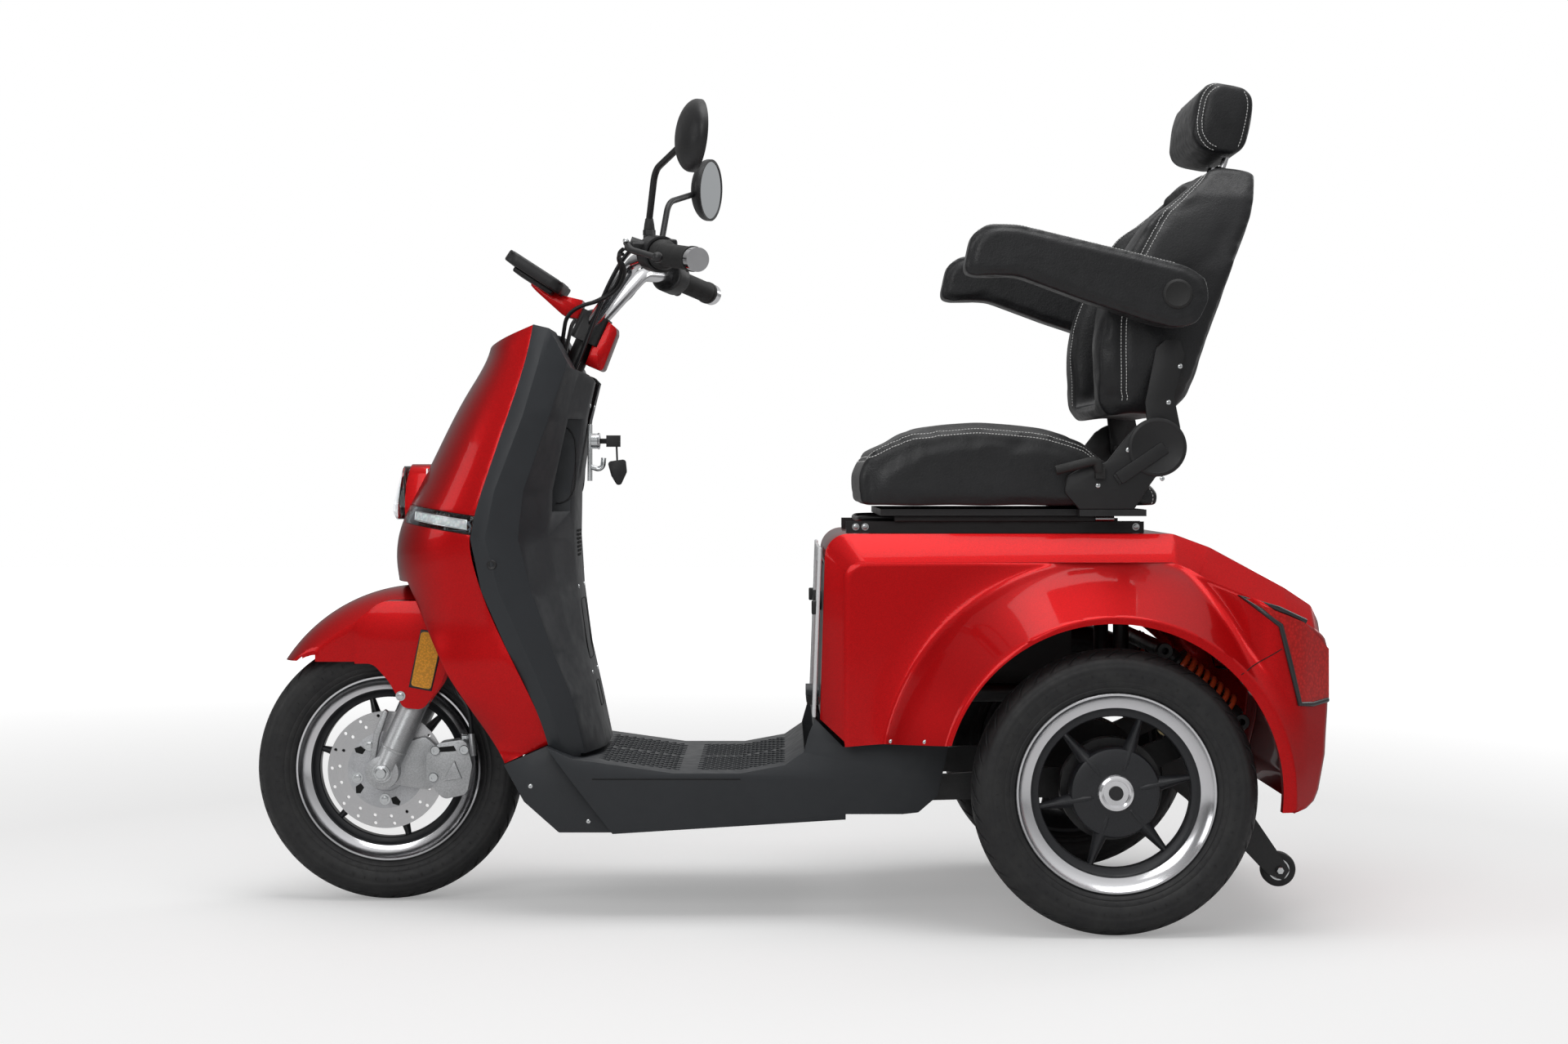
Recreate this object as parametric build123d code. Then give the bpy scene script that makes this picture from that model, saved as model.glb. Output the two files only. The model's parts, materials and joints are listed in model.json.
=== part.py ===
"""Electric three-wheel scooter with a reclining captain's seat.

Millimetres, +Z up.  The scooter faces -X and its left side is -Y.  The origin is on the
ground under the middle of its length and width.  Front pieces are placed from the front
axle, rear pieces from the rear axle, and heights from the axle height, so that a change
of wheelbase or wheel size carries them along.
"""

import os
from math import atan2, cos, pi, radians, sin, tan

from build123d import *

# Wheels and stance
TYRE_RADIUS = 205.0
TYRE_WIDTH = 82.0
RIM_RADIUS = 143.5
RIM_WIDTH = 66.0
SPOKES = 6
WHEELBASE = 1085.0
TAIL_OVERHANG = 312.0
REAR_TRACK = 644.0
RAKE = 24.6

# Main panels
PANEL_WALL = 4.0
PANEL_GAP = 0.6
BODY_HALF_WIDTH = 262.0
FLARE_HALF_WIDTH = 372.0
FLOOR_HALF_WIDTH = 230.0
BODY_TOP = 367.0
FLOOR_TOP = 15.0
ARCH_GAP = 38.0
FLARE_BLEND = 88.0

# Frame, axle and suspension
FRAME_TUBE = 21.0
HEAD_TUBE_RADIUS = 27.0
STEERER_RADIUS = 16.0
AXLE_TUBE_RADIUS = 28.0
STUB_RADIUS = 10.0
RUNNING_FIT = 0.05

# Fork, fender and handlebar
FORK_SPAN = 160.0
SLIDER_RADIUS = 20.0
FORK_TUBE_RADIUS = 15.0
FENDER_HALF_WIDTH = 66.0
DISC_RADIUS = 90.0
DISC_THICKNESS = 4.0
DISC_OFFSET = 50.0
BAR_RADIUS = 11.0
GRIP_RADIUS = 17.0
GRIP_LENGTH = 118.0
HOSE_RADIUS = 3.5

# Seat
SEAT_HALF_WIDTH = 230.0
CUSHION_BOTTOM = 403.0
RAIL_SPAN = 300.0
RAIL_WIDTH = 44.0
RAIL_DEPTH = 12.0
RAIL_FLOOR = 5.0
SLIDE_FIT = 0.3
RECLINE_DISC_RADIUS = 43.0
RECLINE_PIN_RADIUS = 8.0
ARM_OFFSET = 276.0
ARM_WIDTH = 62.0
ARM_PIN_RADIUS = 7.0
BACK_HALF_WIDTH = 222.0
BACK_RAKE = 18.6
HEADREST_HALF_WIDTH = 128.0
POST_RADIUS = 5.0
POST_SPAN = 130.0

# Anti-tip wheels
CASTER_RADIUS = 25.6
CASTER_WIDTH = 22.0
CASTER_SPAN = 400.0

# Places that follow from the sizes above
AXLE_Z = TYRE_RADIUS
FRONT_X = TYRE_RADIUS - (TYRE_RADIUS + WHEELBASE + TAIL_OVERHANG) / 2
REAR_X = FRONT_X + WHEELBASE
WHEEL_Y = REAR_TRACK / 2
ARCH_RADIUS = TYRE_RADIUS + ARCH_GAP
FLARE_RADIUS = ARCH_RADIUS + FLARE_BLEND
WHEEL_BORE = STUB_RADIUS + RUNNING_FIT
STEER_AXIS = Vector(sin(radians(RAKE)), 0, cos(radians(RAKE)))
FRONT_AXLE = Vector(FRONT_X, 0, AXLE_Z)
SIDES = (-1, 1)


def front(dx, dz):
    """Side-view point measured from the front axle."""
    return (FRONT_X + dx, AXLE_Z + dz)


def rear(dx, dz):
    """Side-view point measured from the rear axle."""
    return (REAR_X + dx, AXLE_Z + dz)


def side_face(points, radii=0.0):
    """Face in the vehicle's side view, with rounded corners where radii says so."""
    return make_face(Plane.XZ * FilletPolyline(points, radius=radii, close=True))


def across(face, low, high):
    """Solid from a side-view face, between two distances across the vehicle."""
    return Pos(0, low, 0) * extrude(face, amount=high - low, dir=(0, 1, 0))


def slab(points, low, high, radii=0.0):
    return across(side_face(points, radii), low, high)


def block(x_low, x_high, y_low, y_high, z_low, z_high):
    size = (x_high - x_low, y_high - y_low, z_high - z_low)
    middle = ((x_low + x_high) / 2, (y_low + y_high) / 2, (z_low + z_high) / 2)
    return Pos(*middle) * Box(*size)


def rod(start, end, radius):
    """Round bar between two points."""
    start = Vector(*start)
    end = Vector(*end)
    plane = Plane(origin=start, z_dir=end - start)
    return plane * extrude(Circle(radius), amount=(end - start).length)


def tube_path(points, radius, bend, bore=0.0):
    """Bar or tube swept along straight runs joined by bends."""
    path = FilletPolyline(points, radius=bend)
    start = Plane(origin=path @ 0, z_dir=path % 0)
    section = Circle(radius)
    if bore:
        section = section - Circle(bore)
    return sweep(start * section, path=path)


def turned(points, x, y, z, axis=(0, 1, 0)):
    """Solid of revolution about a line along Y from (radius, offset) points."""
    outline = Polyline([(0, offset, radius) for radius, offset in points], close=True)
    return Pos(x, y, z) * revolve(make_face(outline), axis=Axis((0, 0, 0), axis))


def save(name, *solids):
    """Write one node's STEP file."""
    pieces = []
    for solid in solids:
        pieces.extend(solid.solids())
    export_step(Compound(pieces), f"parts/{name}.step")


def split_at(solid, points, margin=900.0):
    """Part of a solid that lies inside a side-view outline."""
    return solid & slab(points, -margin, margin)


# ---------------------------------------------------------------- wheels
def tyre(x, y):
    """Road tyre with a rounded crown; its beads sit on the rim just inside the flanges."""
    half = TYRE_WIDTH / 2
    bead = RIM_RADIUS - 8 + RUNNING_FIT
    seat = RIM_WIDTH / 2 - 5 - RUNNING_FIT
    crown = ThreePointArc(
        (0, -half + 9, TYRE_RADIUS - 10), (0, 0, TYRE_RADIUS), (0, half - 9, TYRE_RADIUS - 10)
    )
    wall_out = ThreePointArc(
        crown @ 1, (0, half, TYRE_RADIUS - 34), (0, seat + 2, RIM_RADIUS + 2)
    )
    wall_in = ThreePointArc(
        (0, -seat - 2, RIM_RADIUS + 2), (0, -half, TYRE_RADIUS - 34), crown @ 0
    )
    bead_line = Polyline(wall_out @ 1, (0, seat, bead), (0, -seat, bead), wall_in @ 0)
    section = make_face([crown, wall_out, bead_line, wall_in])
    return Pos(x, y, AXLE_Z) * revolve(section, axis=Axis.Y)


def rim(x, y, outer, hub_radius, hub_half, face_reach):
    """Cast rim: flanged ring, dart-shaped spokes and a hub bored for its axle.

    outer is +1 or -1, the side that the hub's cover faces.
    """
    half = RIM_WIDTH / 2
    ring = turned(
        [
            (RIM_RADIUS, -half), (RIM_RADIUS, -half + 3),
            (RIM_RADIUS - 8, -half + 5), (RIM_RADIUS - 8, half - 5),
            (RIM_RADIUS, half - 3), (RIM_RADIUS, half), (RIM_RADIUS - 5, half),
            (RIM_RADIUS - 22, half - 12), (RIM_RADIUS - 35, half - 19),
            (RIM_RADIUS - 37, 0), (RIM_RADIUS - 35, -half + 19),
            (RIM_RADIUS - 22, -half + 12), (RIM_RADIUS - 5, -half),
        ],
        x, y, AXLE_Z,
    )
    hub_ends = sorted((-outer * hub_half, outer * face_reach))
    hub = turned(
        [
            (WHEEL_BORE, hub_ends[0]), (hub_radius, hub_ends[0]),
            (hub_radius, hub_ends[1]), (WHEEL_BORE, hub_ends[1]),
        ],
        x, y, AXLE_Z,
    )
    wheel = ring + hub
    spoke_outline = make_face(
        Polyline((0.35 * hub_radius, -3), (0.8 * hub_radius, -11), (RIM_RADIUS - 33, -5),
                 (RIM_RADIUS - 33, 5), (0.8 * hub_radius, 11), (0.35 * hub_radius, 3), close=True)
    )
    spoke = Rot(0, 0, -8) * extrude(Pos(0, 4, 0) * spoke_outline, amount=12, both=True)
    for index in range(SPOKES):
        turn = 360 / SPOKES * index + 15
        wheel += Pos(x, y, AXLE_Z) * Rot(90, 0, 0) * Rot(0, 0, turn) * spoke
    bore = rod((x, y - 200, AXLE_Z), (x, y + 200, AXLE_Z), WHEEL_BORE)
    return wheel - bore


def front_wheel():
    """Front tyre, rim and the drilled brake disc on the rim's left side."""
    save("front_tyre", tyre(FRONT_X, 0))
    save("front_rim", rim(FRONT_X, 0, 1, 34, DISC_OFFSET - DISC_THICKNESS / 2, 50))
    disc_low = -DISC_OFFSET - DISC_THICKNESS / 2
    disc = turned(
        [
            (WHEEL_BORE + 4, disc_low), (DISC_RADIUS, disc_low),
            (DISC_RADIUS, disc_low + DISC_THICKNESS), (WHEEL_BORE + 4, disc_low + DISC_THICKNESS),
        ],
        FRONT_X, 0, AXLE_Z,
    )
    for row, count in ((0.80, 18), (0.93, 18)):
        for index in range(count):
            angle = 2 * pi * (index + row) / count
            spot = FRONT_AXLE + Vector(cos(angle), 0, sin(angle)) * DISC_RADIUS * row
            disc -= rod((spot.X, -80, spot.Z), (spot.X, -20, spot.Z), 2.6)
    save("brake_disc", disc)


def rear_wheels():
    for side, name in zip(SIDES, ("left", "right")):
        wheel_y = side * WHEEL_Y
        save(f"rear_tyre_{name}", tyre(REAR_X, wheel_y))
        save(f"rear_rim_{name}", rim(REAR_X, wheel_y, side, 65, 26, 22))


def caster_centre(side):
    x, z = REAR_X + 258, CASTER_RADIUS + 50
    return x, side * CASTER_SPAN / 2, z


def anti_tip_wheels():
    """Small rollers behind the rear wheels and the arms that carry them."""
    arms = []
    for side, name in zip(SIDES, ("left", "right")):
        x, y, z = caster_centre(side)
        roller = turned(
            [
                (6, -CASTER_WIDTH / 2), (CASTER_RADIUS - 3, -CASTER_WIDTH / 2),
                (CASTER_RADIUS, -CASTER_WIDTH / 2 + 3), (CASTER_RADIUS, CASTER_WIDTH / 2 - 3),
                (CASTER_RADIUS - 3, CASTER_WIDTH / 2), (6, CASTER_WIDTH / 2),
            ],
            x, y, z,
        )
        save(f"anti_tip_wheel_{name}", roller)
        cheek_low = CASTER_WIDTH / 2 + 1.5
        outline = [(x - 17, z - 6), (x + 5, z - 15), (x + 15, z), (x + 6, z + 14),
                   (x - 40, z + 82), (x - 84, z + 120), (x - 116, z + 120), (x - 112, z + 84), (x - 70, z + 50)]
        arm = None
        for low, high in ((-cheek_low - 4, -cheek_low), (cheek_low, cheek_low + 4)):
            cheek = slab(outline, y + low, y + high, 4)
            arm = cheek if arm is None else arm + cheek
        arm += rod((x, y - cheek_low - 7, z), (x, y + cheek_low + 7, z), 6 - RUNNING_FIT)
        arm += block(x - 80, x - 50, y - cheek_low - 2, y + cheek_low + 2, z + 60, z + 74)
        arm += rod((x - 101, y - cheek_low - 2, z + 92), (x - 101, y + cheek_low + 2, z + 92), 7.7)
        arms.append(arm)
    save("anti_tip_arms", *arms)


# ---------------------------------------------------------------- frame and rear axle
def on_axis(length, sideways=0.0, ahead=0.0):
    """Point beside the steering axis, a length up it from the front axle."""
    forward = Vector(-STEER_AXIS.Z, 0, STEER_AXIS.X)
    return FRONT_AXLE + STEER_AXIS * length + forward * ahead + Vector(0, sideways, 0)


HEAD_LOW = 350.0
HEAD_HIGH = 640.0
BEARING_LENGTH = 18.0
BACKBONE_Z = AXLE_Z - 22
CROSS_TUBE = 12.0
SIDE_RAIL = 14.0
SIDE_RAIL_Y = 122.0
SIDE_RAIL_Z = AXLE_Z + 125
FRAME_REACH = 1500.0
ARM_PIVOT = (-318, -15)
ARM_PIVOT_RADIUS = 9.0
TRAILING_ARM_Y = 180.0
SHOCK_Y = 236.0
SHOCK_LOW = (196, 92)
SHOCK_HIGH = (84, 196)


def head_tube_bore():
    """Room for the steerer, necked down to a bearing at each end of the head tube."""
    middle = rod(
        on_axis(HEAD_LOW + BEARING_LENGTH), on_axis(HEAD_HIGH - BEARING_LENGTH), STEERER_RADIUS + 6
    )
    return middle + rod(on_axis(HEAD_LOW - 20), on_axis(HEAD_HIGH + 20), STEERER_RADIUS + RUNNING_FIT)


def head_tube():
    """Tube on the steering axis with a bearing at each end."""
    return rod(on_axis(HEAD_LOW), on_axis(HEAD_HIGH), HEAD_TUBE_RADIUS) - head_tube_bore()


def whole_frame():
    """Backbone from the head tube under the floor, rising to two rear rails with posts."""
    neck = front(210, 440)
    knee = front(236, 90)
    heel = front(272, BACKBONE_Z - AXLE_Z)
    tail_foot = rear(-330, BACKBONE_Z - AXLE_Z)
    tail_rise = rear(-262, 95)
    backbone = tube_path(
        [(x, 0, z) for x, z in (neck, knee, heel, tail_foot, tail_rise)], FRAME_TUBE, (60, 30, 40)
    )
    frame = backbone - rod(on_axis(HEAD_LOW), on_axis(HEAD_HIGH), HEAD_TUBE_RADIUS)
    cross_z = AXLE_Z + FLOOR_TOP - PANEL_WALL - CROSS_TUBE - 0.3
    for x in (front(400, 0)[0], (FRONT_X + REAR_X) / 2, rear(-345, 0)[0]):
        frame += rod((x, -FLOOR_HALF_WIDTH + 40, cross_z), (x, FLOOR_HALF_WIDTH - 40, cross_z), CROSS_TUBE)
    for side in SIDES:
        y = side * SIDE_RAIL_Y
        foot = rear(-345, cross_z - AXLE_Z)
        bend = rear(-285, SIDE_RAIL_Z - AXLE_Z)
        end = rear(190, SIDE_RAIL_Z - AXLE_Z)
        frame += tube_path([(foot[0], y, foot[1]), (bend[0], y, bend[1]), (end[0], y, end[1])],
                           SIDE_RAIL, 50)
        post_top = AXLE_Z + BODY_TOP - PANEL_WALL - 0.3
        for dx in (-230, 36):
            x = REAR_X + dx
            frame += rod((x, y, SIDE_RAIL_Z), (x, y, post_top), CROSS_TUBE)
    for dx in (-262, 157):
        x = REAR_X + dx
        frame += rod((x, -CASTER_SPAN / 2, SIDE_RAIL_Z), (x, CASTER_SPAN / 2, SIDE_RAIL_Z), CROSS_TUBE)
    pivot_x, pivot_z = rear(*ARM_PIVOT)
    for side in SIDES:
        x, y, z = caster_centre(side)
        frame += block(x - 110, x - 92, y - 8, y + 8, z + 100, SIDE_RAIL_Z)
        lug = block(pivot_x - 35, pivot_x + 14, side * 164 - 5, side * 164 + 5, pivot_z - 14, cross_z + 6)
        frame += lug
    frame -= rod((pivot_x, -200, pivot_z), (pivot_x, 200, pivot_z), ARM_PIVOT_RADIUS + RUNNING_FIT)
    return frame + shock_towers()


def frame_halves():
    """Main frame under the floor and rear frame, welded together behind the arm pivots."""
    weld_x = REAR_X - 300
    frame = whole_frame()
    ahead = block(-FRAME_REACH, weld_x, -FRAME_REACH, FRAME_REACH, 0, FRAME_REACH)
    behind = block(weld_x, FRAME_REACH, -FRAME_REACH, FRAME_REACH, 0, FRAME_REACH)
    return frame & ahead, frame & behind


def rear_axle():
    """Live axle with its motor and gear casing, drum brake plates and trailing arms."""
    axle_y = WHEEL_Y - 26 - 6
    axle = rod((REAR_X, -axle_y, AXLE_Z), (REAR_X, axle_y, AXLE_Z), AXLE_TUBE_RADIUS)
    stub_end = WHEEL_Y + 22 + 7
    axle += rod((REAR_X, -stub_end, AXLE_Z), (REAR_X, stub_end, AXLE_Z), STUB_RADIUS)
    axle += rod((REAR_X, -62, AXLE_Z), (REAR_X, 20, AXLE_Z), 78)
    axle += rod((REAR_X - 20, 15, AXLE_Z - 10), (REAR_X - 20, 150, AXLE_Z - 10), 64)
    for side in SIDES:
        axle += rod((REAR_X, side * (axle_y - 24), AXLE_Z), (REAR_X, side * axle_y, AXLE_Z), 74)
        outline = [rear(-332, -32), rear(0, -24), rear(205, 78), rear(212, 104), rear(190, 104),
                   rear(0, 24), rear(-332, 2)]
        axle += slab(outline, side * TRAILING_ARM_Y - 6, side * TRAILING_ARM_Y + 6, 6)
        x, z = rear(*SHOCK_LOW)
        axle += rod((x, side * TRAILING_ARM_Y, z), (x, side * (SHOCK_Y - 12.3), z), 8)
    x, z = rear(*ARM_PIVOT)
    return axle + rod((x, -TRAILING_ARM_Y, z), (x, TRAILING_ARM_Y, z), ARM_PIVOT_RADIUS)


def shock_absorbers():
    """Damper with a spring round it, from each trailing arm's tail to the rear rails."""
    shocks = []
    for side in SIDES:
        y = side * SHOCK_Y
        low = Vector(REAR_X + SHOCK_LOW[0], y, AXLE_Z + SHOCK_LOW[1])
        high = Vector(REAR_X + SHOCK_HIGH[0], y, AXLE_Z + SHOCK_HIGH[1])
        run = (high - low).normalized()
        shock = rod(low + run * 8, high - run * 8, 9)
        shock += rod(low + run * 26, high - run * 22, 24)
        shock += rod(low - Vector(0, 12, 0), low + Vector(0, 12, 0), 12)
        shock += rod(high - Vector(0, 12, 0), high + Vector(0, 12, 0), 12)
        shocks.append(shock)
    return shocks


def shock_towers():
    """Short beam above the axle that holds the top eye of both shock absorbers."""
    x, z = rear(*SHOCK_HIGH)
    reach = SHOCK_Y - 12.3
    beam = rod((x, -reach, z), (x, reach, z), CROSS_TUBE)
    for side in SIDES:
        beam += rod((x, side * SIDE_RAIL_Y, SIDE_RAIL_Z - 4), (x, side * SIDE_RAIL_Y, z), CROSS_TUBE)
    return beam


def battery_pack():
    return block(REAR_X - 388, REAR_X - 36, -98, 98, SIDE_RAIL_Z + CROSS_TUBE + 0.2, AXLE_Z + 340)


# ---------------------------------------------------------------- front panels
# Each cowl station: height, nose and half width, from the front axle.
COWL_STATIONS = (
    (20, 66, 198), (120, 46, 211), (220, 26, 220), (322, 14, 226), (372, 20, 228),
    (430, 47, 225), (500, 82, 216), (580, 124, 200), (646, 158, 182), (710, 190, 166),
)
COWL_EDGE = (
    (262, 53), (211, 179), (175, 255), (153, 321), (148, 359), (155, 392), (202, 539), (237, 678),
)


def cowl_section(dz, nose, half, inset):
    """Level cut through the cowl: a blunt bow, closed by a straight line behind it."""
    back = 300
    depth = back - nose - 0.7 * inset
    half = half - inset
    bow = [(0, 1.0), (0.42, 0.965), (0.70, 0.86), (0.90, 0.60), (0.985, 0.28), (1, 0)]
    right = [(back - depth * along, half * out) for along, out in bow]
    points = right + [(x, -y) for x, y in reversed(right[:-1])]
    curve = Spline(*[(FRONT_X + x, y, AXLE_Z + dz) for x, y in points])
    return make_face([curve, Line(curve @ 1, curve @ 0)])


def cowl_form(inset):
    return loft([cowl_section(*station, inset) for station in COWL_STATIONS])


def cowl_outline():
    """Side view of both cowl panels: open over the wheel, cut along the leg shield."""
    edge = Spline([(FRONT_X + dx, 0, AXLE_Z + dz) for dx, dz in COWL_EDGE])
    rest = [front(237, 678), front(157, 646), front(-60, 571), front(-60, 292), front(44, 292),
            front(58, 266), front(80, 220), front(114, 154), front(196, 24), front(262, 53)]
    return make_face([edge, Polyline([(x, 0, z) for x, z in rest])])


def headlight_form(grow, x_back, x_front):
    """Rounded lamp outline in front view, run between two distances along the vehicle."""
    centre_z = AXLE_Z + 424
    sketch = Plane(origin=(FRONT_X + x_back, 0, centre_z), x_dir=(0, 1, 0), z_dir=(-1, 0, 0))
    outline = FilletPolyline(
        [(-66 - grow, 40 + grow), (66 + grow, 40 + grow), (52 + grow, -44 - grow),
         (-52 - grow, -44 - grow)], radius=18 + grow, close=True,
    )
    return extrude(sketch * make_face(outline), amount=x_back - x_front)


def front_cowl():
    roof = PANEL_WALL + 0.5
    under_roof = [front(-100, -150), front(-100, 543 - roof), front(400, 743 - roof), front(400, -150)]
    shell = cowl_form(0) - split_at(cowl_form(PANEL_WALL), under_roof)
    shell = shell & across(cowl_outline(), -300, 300)
    lamp_hole = headlight_form(2 + PANEL_GAP, 150, -60)
    shell = shell - lamp_hole
    gap = PANEL_GAP
    above = [front(-80, 409 + gap), front(39, 409 + gap), front(300, 370.7 + gap), front(400, 800),
             front(-80, 800)]
    below = [front(-80, 409), front(39 - gap, 409), front(39 - gap, 382 - gap),
             front(300, 341.5 - gap), front(400, -100), front(-80, -100)]
    band = [front(39, 409), front(300, 370.7), front(300, 341.5), front(39, 382)]
    save("front_cowl_upper", split_at(shell, above))
    save("front_cowl_lower", split_at(shell, below))
    lens = cowl_form(-1.5) - cowl_form(PANEL_WALL + 4)
    lens = (lens & across(cowl_outline(), -300, 300)) - lamp_hole
    save("light_strips", split_at(lens, band))


def headlight():
    """Lamp pod set through the nose, with its lens seated in the rim."""
    pod = headlight_form(2, 120, 30) - headlight_form(-1, 112, 29)
    slope = [front(-40, 340), front(-40, 500), front(44, 500), front(18, 376)]
    pod -= slab(slope, -120, 120)
    lens = headlight_form(-1 - 0.05, 60, 6)
    face = [front(60, 340), front(60, 500), front(27, 471), front(11, 400), front(20, 372)]
    lens = lens & slab(face, -120, 120, (0, 0, 14, 40, 10))
    save("headlight_housing", pod)
    save("headlight_lens", lens)


# ---------------------------------------------------------------- leg shield and floor
# Each shield station: height, then (back, half width) of the cowl edge, outer crease,
# rear crease, trough and centre column, from the front axle.
SHIELD_STATIONS = (
    (20, (250, 196), (290, 198), (322, 186), (338, 120), (345, 72)),
    (120, (236, 208), (262, 210), (298, 192), (312, 124), (324, 73)),
    (191, (205, 215), (232, 219), (270, 202), (294, 130), (308, 74)),
    (282, (166, 222), (192, 227), (238, 208), (272, 140), (296, 74)),
    (360, (150, 226), (172, 231), (219, 213), (257, 146), (291, 74)),
    (430, (164, 225), (186, 230), (227, 213), (258, 148), (292, 74)),
    (540, (203, 210), (226, 215), (264, 200), (284, 146), (308, 74)),
    (614, (222, 192), (246, 196), (287, 179), (303, 124), (326, 72)),
    (700, (242, 168), (266, 172), (306, 158), (318, 108), (338, 66)),
)
VALLEY_HALF = 58.0
POCKET = ((238, 306), (86, 136), (398, 538))


def shield_section(dz, edge, crease, rear_crease, trough, column, inset):
    """Level cut through the leg shield, from one cowl edge round to the other."""
    half = [(edge[0] - 3 * inset, edge[1] - inset), (crease[0] - 0.3 * inset, crease[1] - inset),
            (rear_crease[0] - inset, rear_crease[1] - 0.7 * inset), (trough[0] - inset, trough[1]),
            (column[0] - inset, column[1] - 0.5 * inset)]
    points = half + [(x, -y) for x, y in reversed(half)]
    level = AXLE_Z + dz
    return make_face(Polyline([(FRONT_X + x, y, level) for x, y in points], close=True))


def shield_form(inset):
    return loft([shield_section(*station, inset) for station in SHIELD_STATIONS], ruled=True)


def shield_outline():
    """Side view of the leg shield: sloping top, cowl edge in front, floor behind."""
    edge = Spline([(FRONT_X + dx + PANEL_GAP, 0, AXLE_Z + dz) for dx, dz in COWL_EDGE])
    rest = [front(237 + PANEL_GAP, 678), front(262, 672), front(293, 614), front(312, 607),
            front(334, 586), front(360, 560), front(360, 36), front(300, 36), front(262.6, 53)]
    return make_face([edge, Polyline([(x, 0, z) for x, z in rest])])


def pocket_box(side, grow):
    (x_low, x_high), (y_low, y_high), (z_low, z_high) = POCKET
    y_ends = sorted((side * (y_low - grow), side * (y_high + grow)))
    return block(FRONT_X + x_low - grow, FRONT_X + x_high + 40 * (grow == 0), *y_ends,
                 AXLE_Z + z_low - grow, AXLE_Z + z_high + grow)


def leg_shield():
    """Faceted shield behind the cowl, with a pocket each side of its centre column."""
    solid = shield_form(0) & across(shield_outline(), -300, 300)
    roof = [(-50, -150), (-50, 674), (237, 674), (260, 668), (289.5, 610), (310, 602.5), (332, 582),
            (420, 494), (420, -150)]
    hollow = split_at(shield_form(PANEL_WALL), [front(*point) for point in roof])
    for side in SIDES:
        hollow -= pocket_box(side, PANEL_WALL)
    hollow += block(FRONT_X - 50, FRONT_X + 345, -190, 190, AXLE_Z - 60, AXLE_Z + 40)
    shield = solid - hollow
    for side in SIDES:
        shield -= pocket_box(side, 0)
    top = block(FRONT_X + 244, FRONT_X + 400, -VALLEY_HALF, VALLEY_HALF, AXLE_Z + 596, AXLE_Z + 800)
    return shield - top - rod(on_axis(HEAD_HIGH - 60), on_axis(HEAD_HIGH + 240), VALLEY_HALF + 2)


def lower_guard():
    """Corner piece under the cowl and shield, open in front for the turning wheel."""
    outline = [front(196, 23.4), front(226, -31), front(278, -77), front(358, -77), front(262, 52.4)]
    inner = [front(190, 60), front(190, 10), front(229, -27), front(279.6, -73),
             front(400, -73), front(262, 110)]
    half = 196
    shell = slab(outline, -half, half) - slab(inner, -half + PANEL_WALL, half - PANEL_WALL)
    return shell - block(FRONT_X + 100, FRONT_X + 262, -150, 150, 0, AXLE_Z + 80)


def floor_outline(inset):
    """Side view of the floor tray: flat deck, a riser at the back and a rounded skirt."""
    return [
        front(262.6 - 1.5 * inset, 52.4 - inset), front(358.6 - inset, -77 + inset), rear(-353, -53 + inset),
        rear(-275 - inset, -44 + inset), rear(-247 - inset, -19 + inset), rear(-232 - inset, 52),
        rear(-234 - inset, 69 - inset), rear(-386, 54 - inset), rear(-427, 95 - inset),
        rear(-436 - inset, 74), rear(-444, 46 - inset), rear(-472, 27 - inset),
        rear(-537, FLOOR_TOP - inset), front(450, FLOOR_TOP - inset), front(300, 36 - inset),
    ]


def floor_board():
    """Open-bottomed floor tray whose skirt leans in below a crease."""
    def form(inset):
        half = FLOOR_HALF_WIDTH - inset
        rims = [(-half, 5), (-half, 200), (half, 200), (half, 5), (half - 22, -90), (-half + 22, -90)]
        plan = make_face(Plane.YZ * Polyline([(y, AXLE_Z + z) for y, z in rims], close=True))
        length = Pos(FRONT_X, 0, 0) * extrude(plan, amount=WHEELBASE, dir=(1, 0, 0))
        return slab(floor_outline(inset), -300, 300) & length
    cavity = form(PANEL_WALL)
    low = block(FRONT_X + 275, REAR_X - 250, -FLOOR_HALF_WIDTH + 28, FLOOR_HALF_WIDTH - 28,
                AXLE_Z - 100, AXLE_Z - 40)
    rear_bay = block(REAR_X - 382, REAR_X - 200, -FLOOR_HALF_WIDTH + 12, FLOOR_HALF_WIDTH - 12,
                     AXLE_Z - 100, AXLE_Z + 90)
    tube_notch = block(FRONT_X + 255, FRONT_X + 290, -FRAME_TUBE - 6, FRAME_TUBE + 6,
                       AXLE_Z + 20, AXLE_Z + 60)
    return form(0) - cavity - low - rear_bay - tube_notch


# ---------------------------------------------------------------- rear body
TAIL_RAMP_START = 100.0
TAIL_RAMP_END = 205.0
DOOR_HALF = 150.0
DOOR_LOW = 112.0
DOOR_HIGH = 318.0
DOOR_CLEARANCE = 3.0
DOOR_HINGE_RADIUS = 4.0


def tail_line(drop):
    """Rear edge of the body in side view, from the top slope down to the bottom tip."""
    return [(98, BODY_TOP - drop), (152 - 0.5 * drop, BODY_TOP - 20 - drop), (261, 288 - drop),
            (TAIL_OVERHANG - 12, 262 - drop), (TAIL_OVERHANG, 236 - drop), (TAIL_OVERHANG, 120),
            (TAIL_OVERHANG - 6, 52), (TAIL_OVERHANG - 18, 2), (TAIL_OVERHANG - 48, -24)]


def body_outline(inset, step):
    """Side view of the seat box; step draws the raised side panel inside its bevel."""
    nose = -424 + 38 * step + inset
    foot = 95 - 33 * step
    points = [(nose + 4, foot), (nose + 12, BODY_TOP - 41 * step - inset)]
    tail = tail_line(41 * step + inset)
    points += [(dx - inset * (index > 3), dz) for index, (dx, dz) in enumerate(tail)]
    points += [(TAIL_OVERHANG - 90, -24), (TAIL_OVERHANG - 90, foot)]
    return [rear(*point) for point in points]


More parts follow.
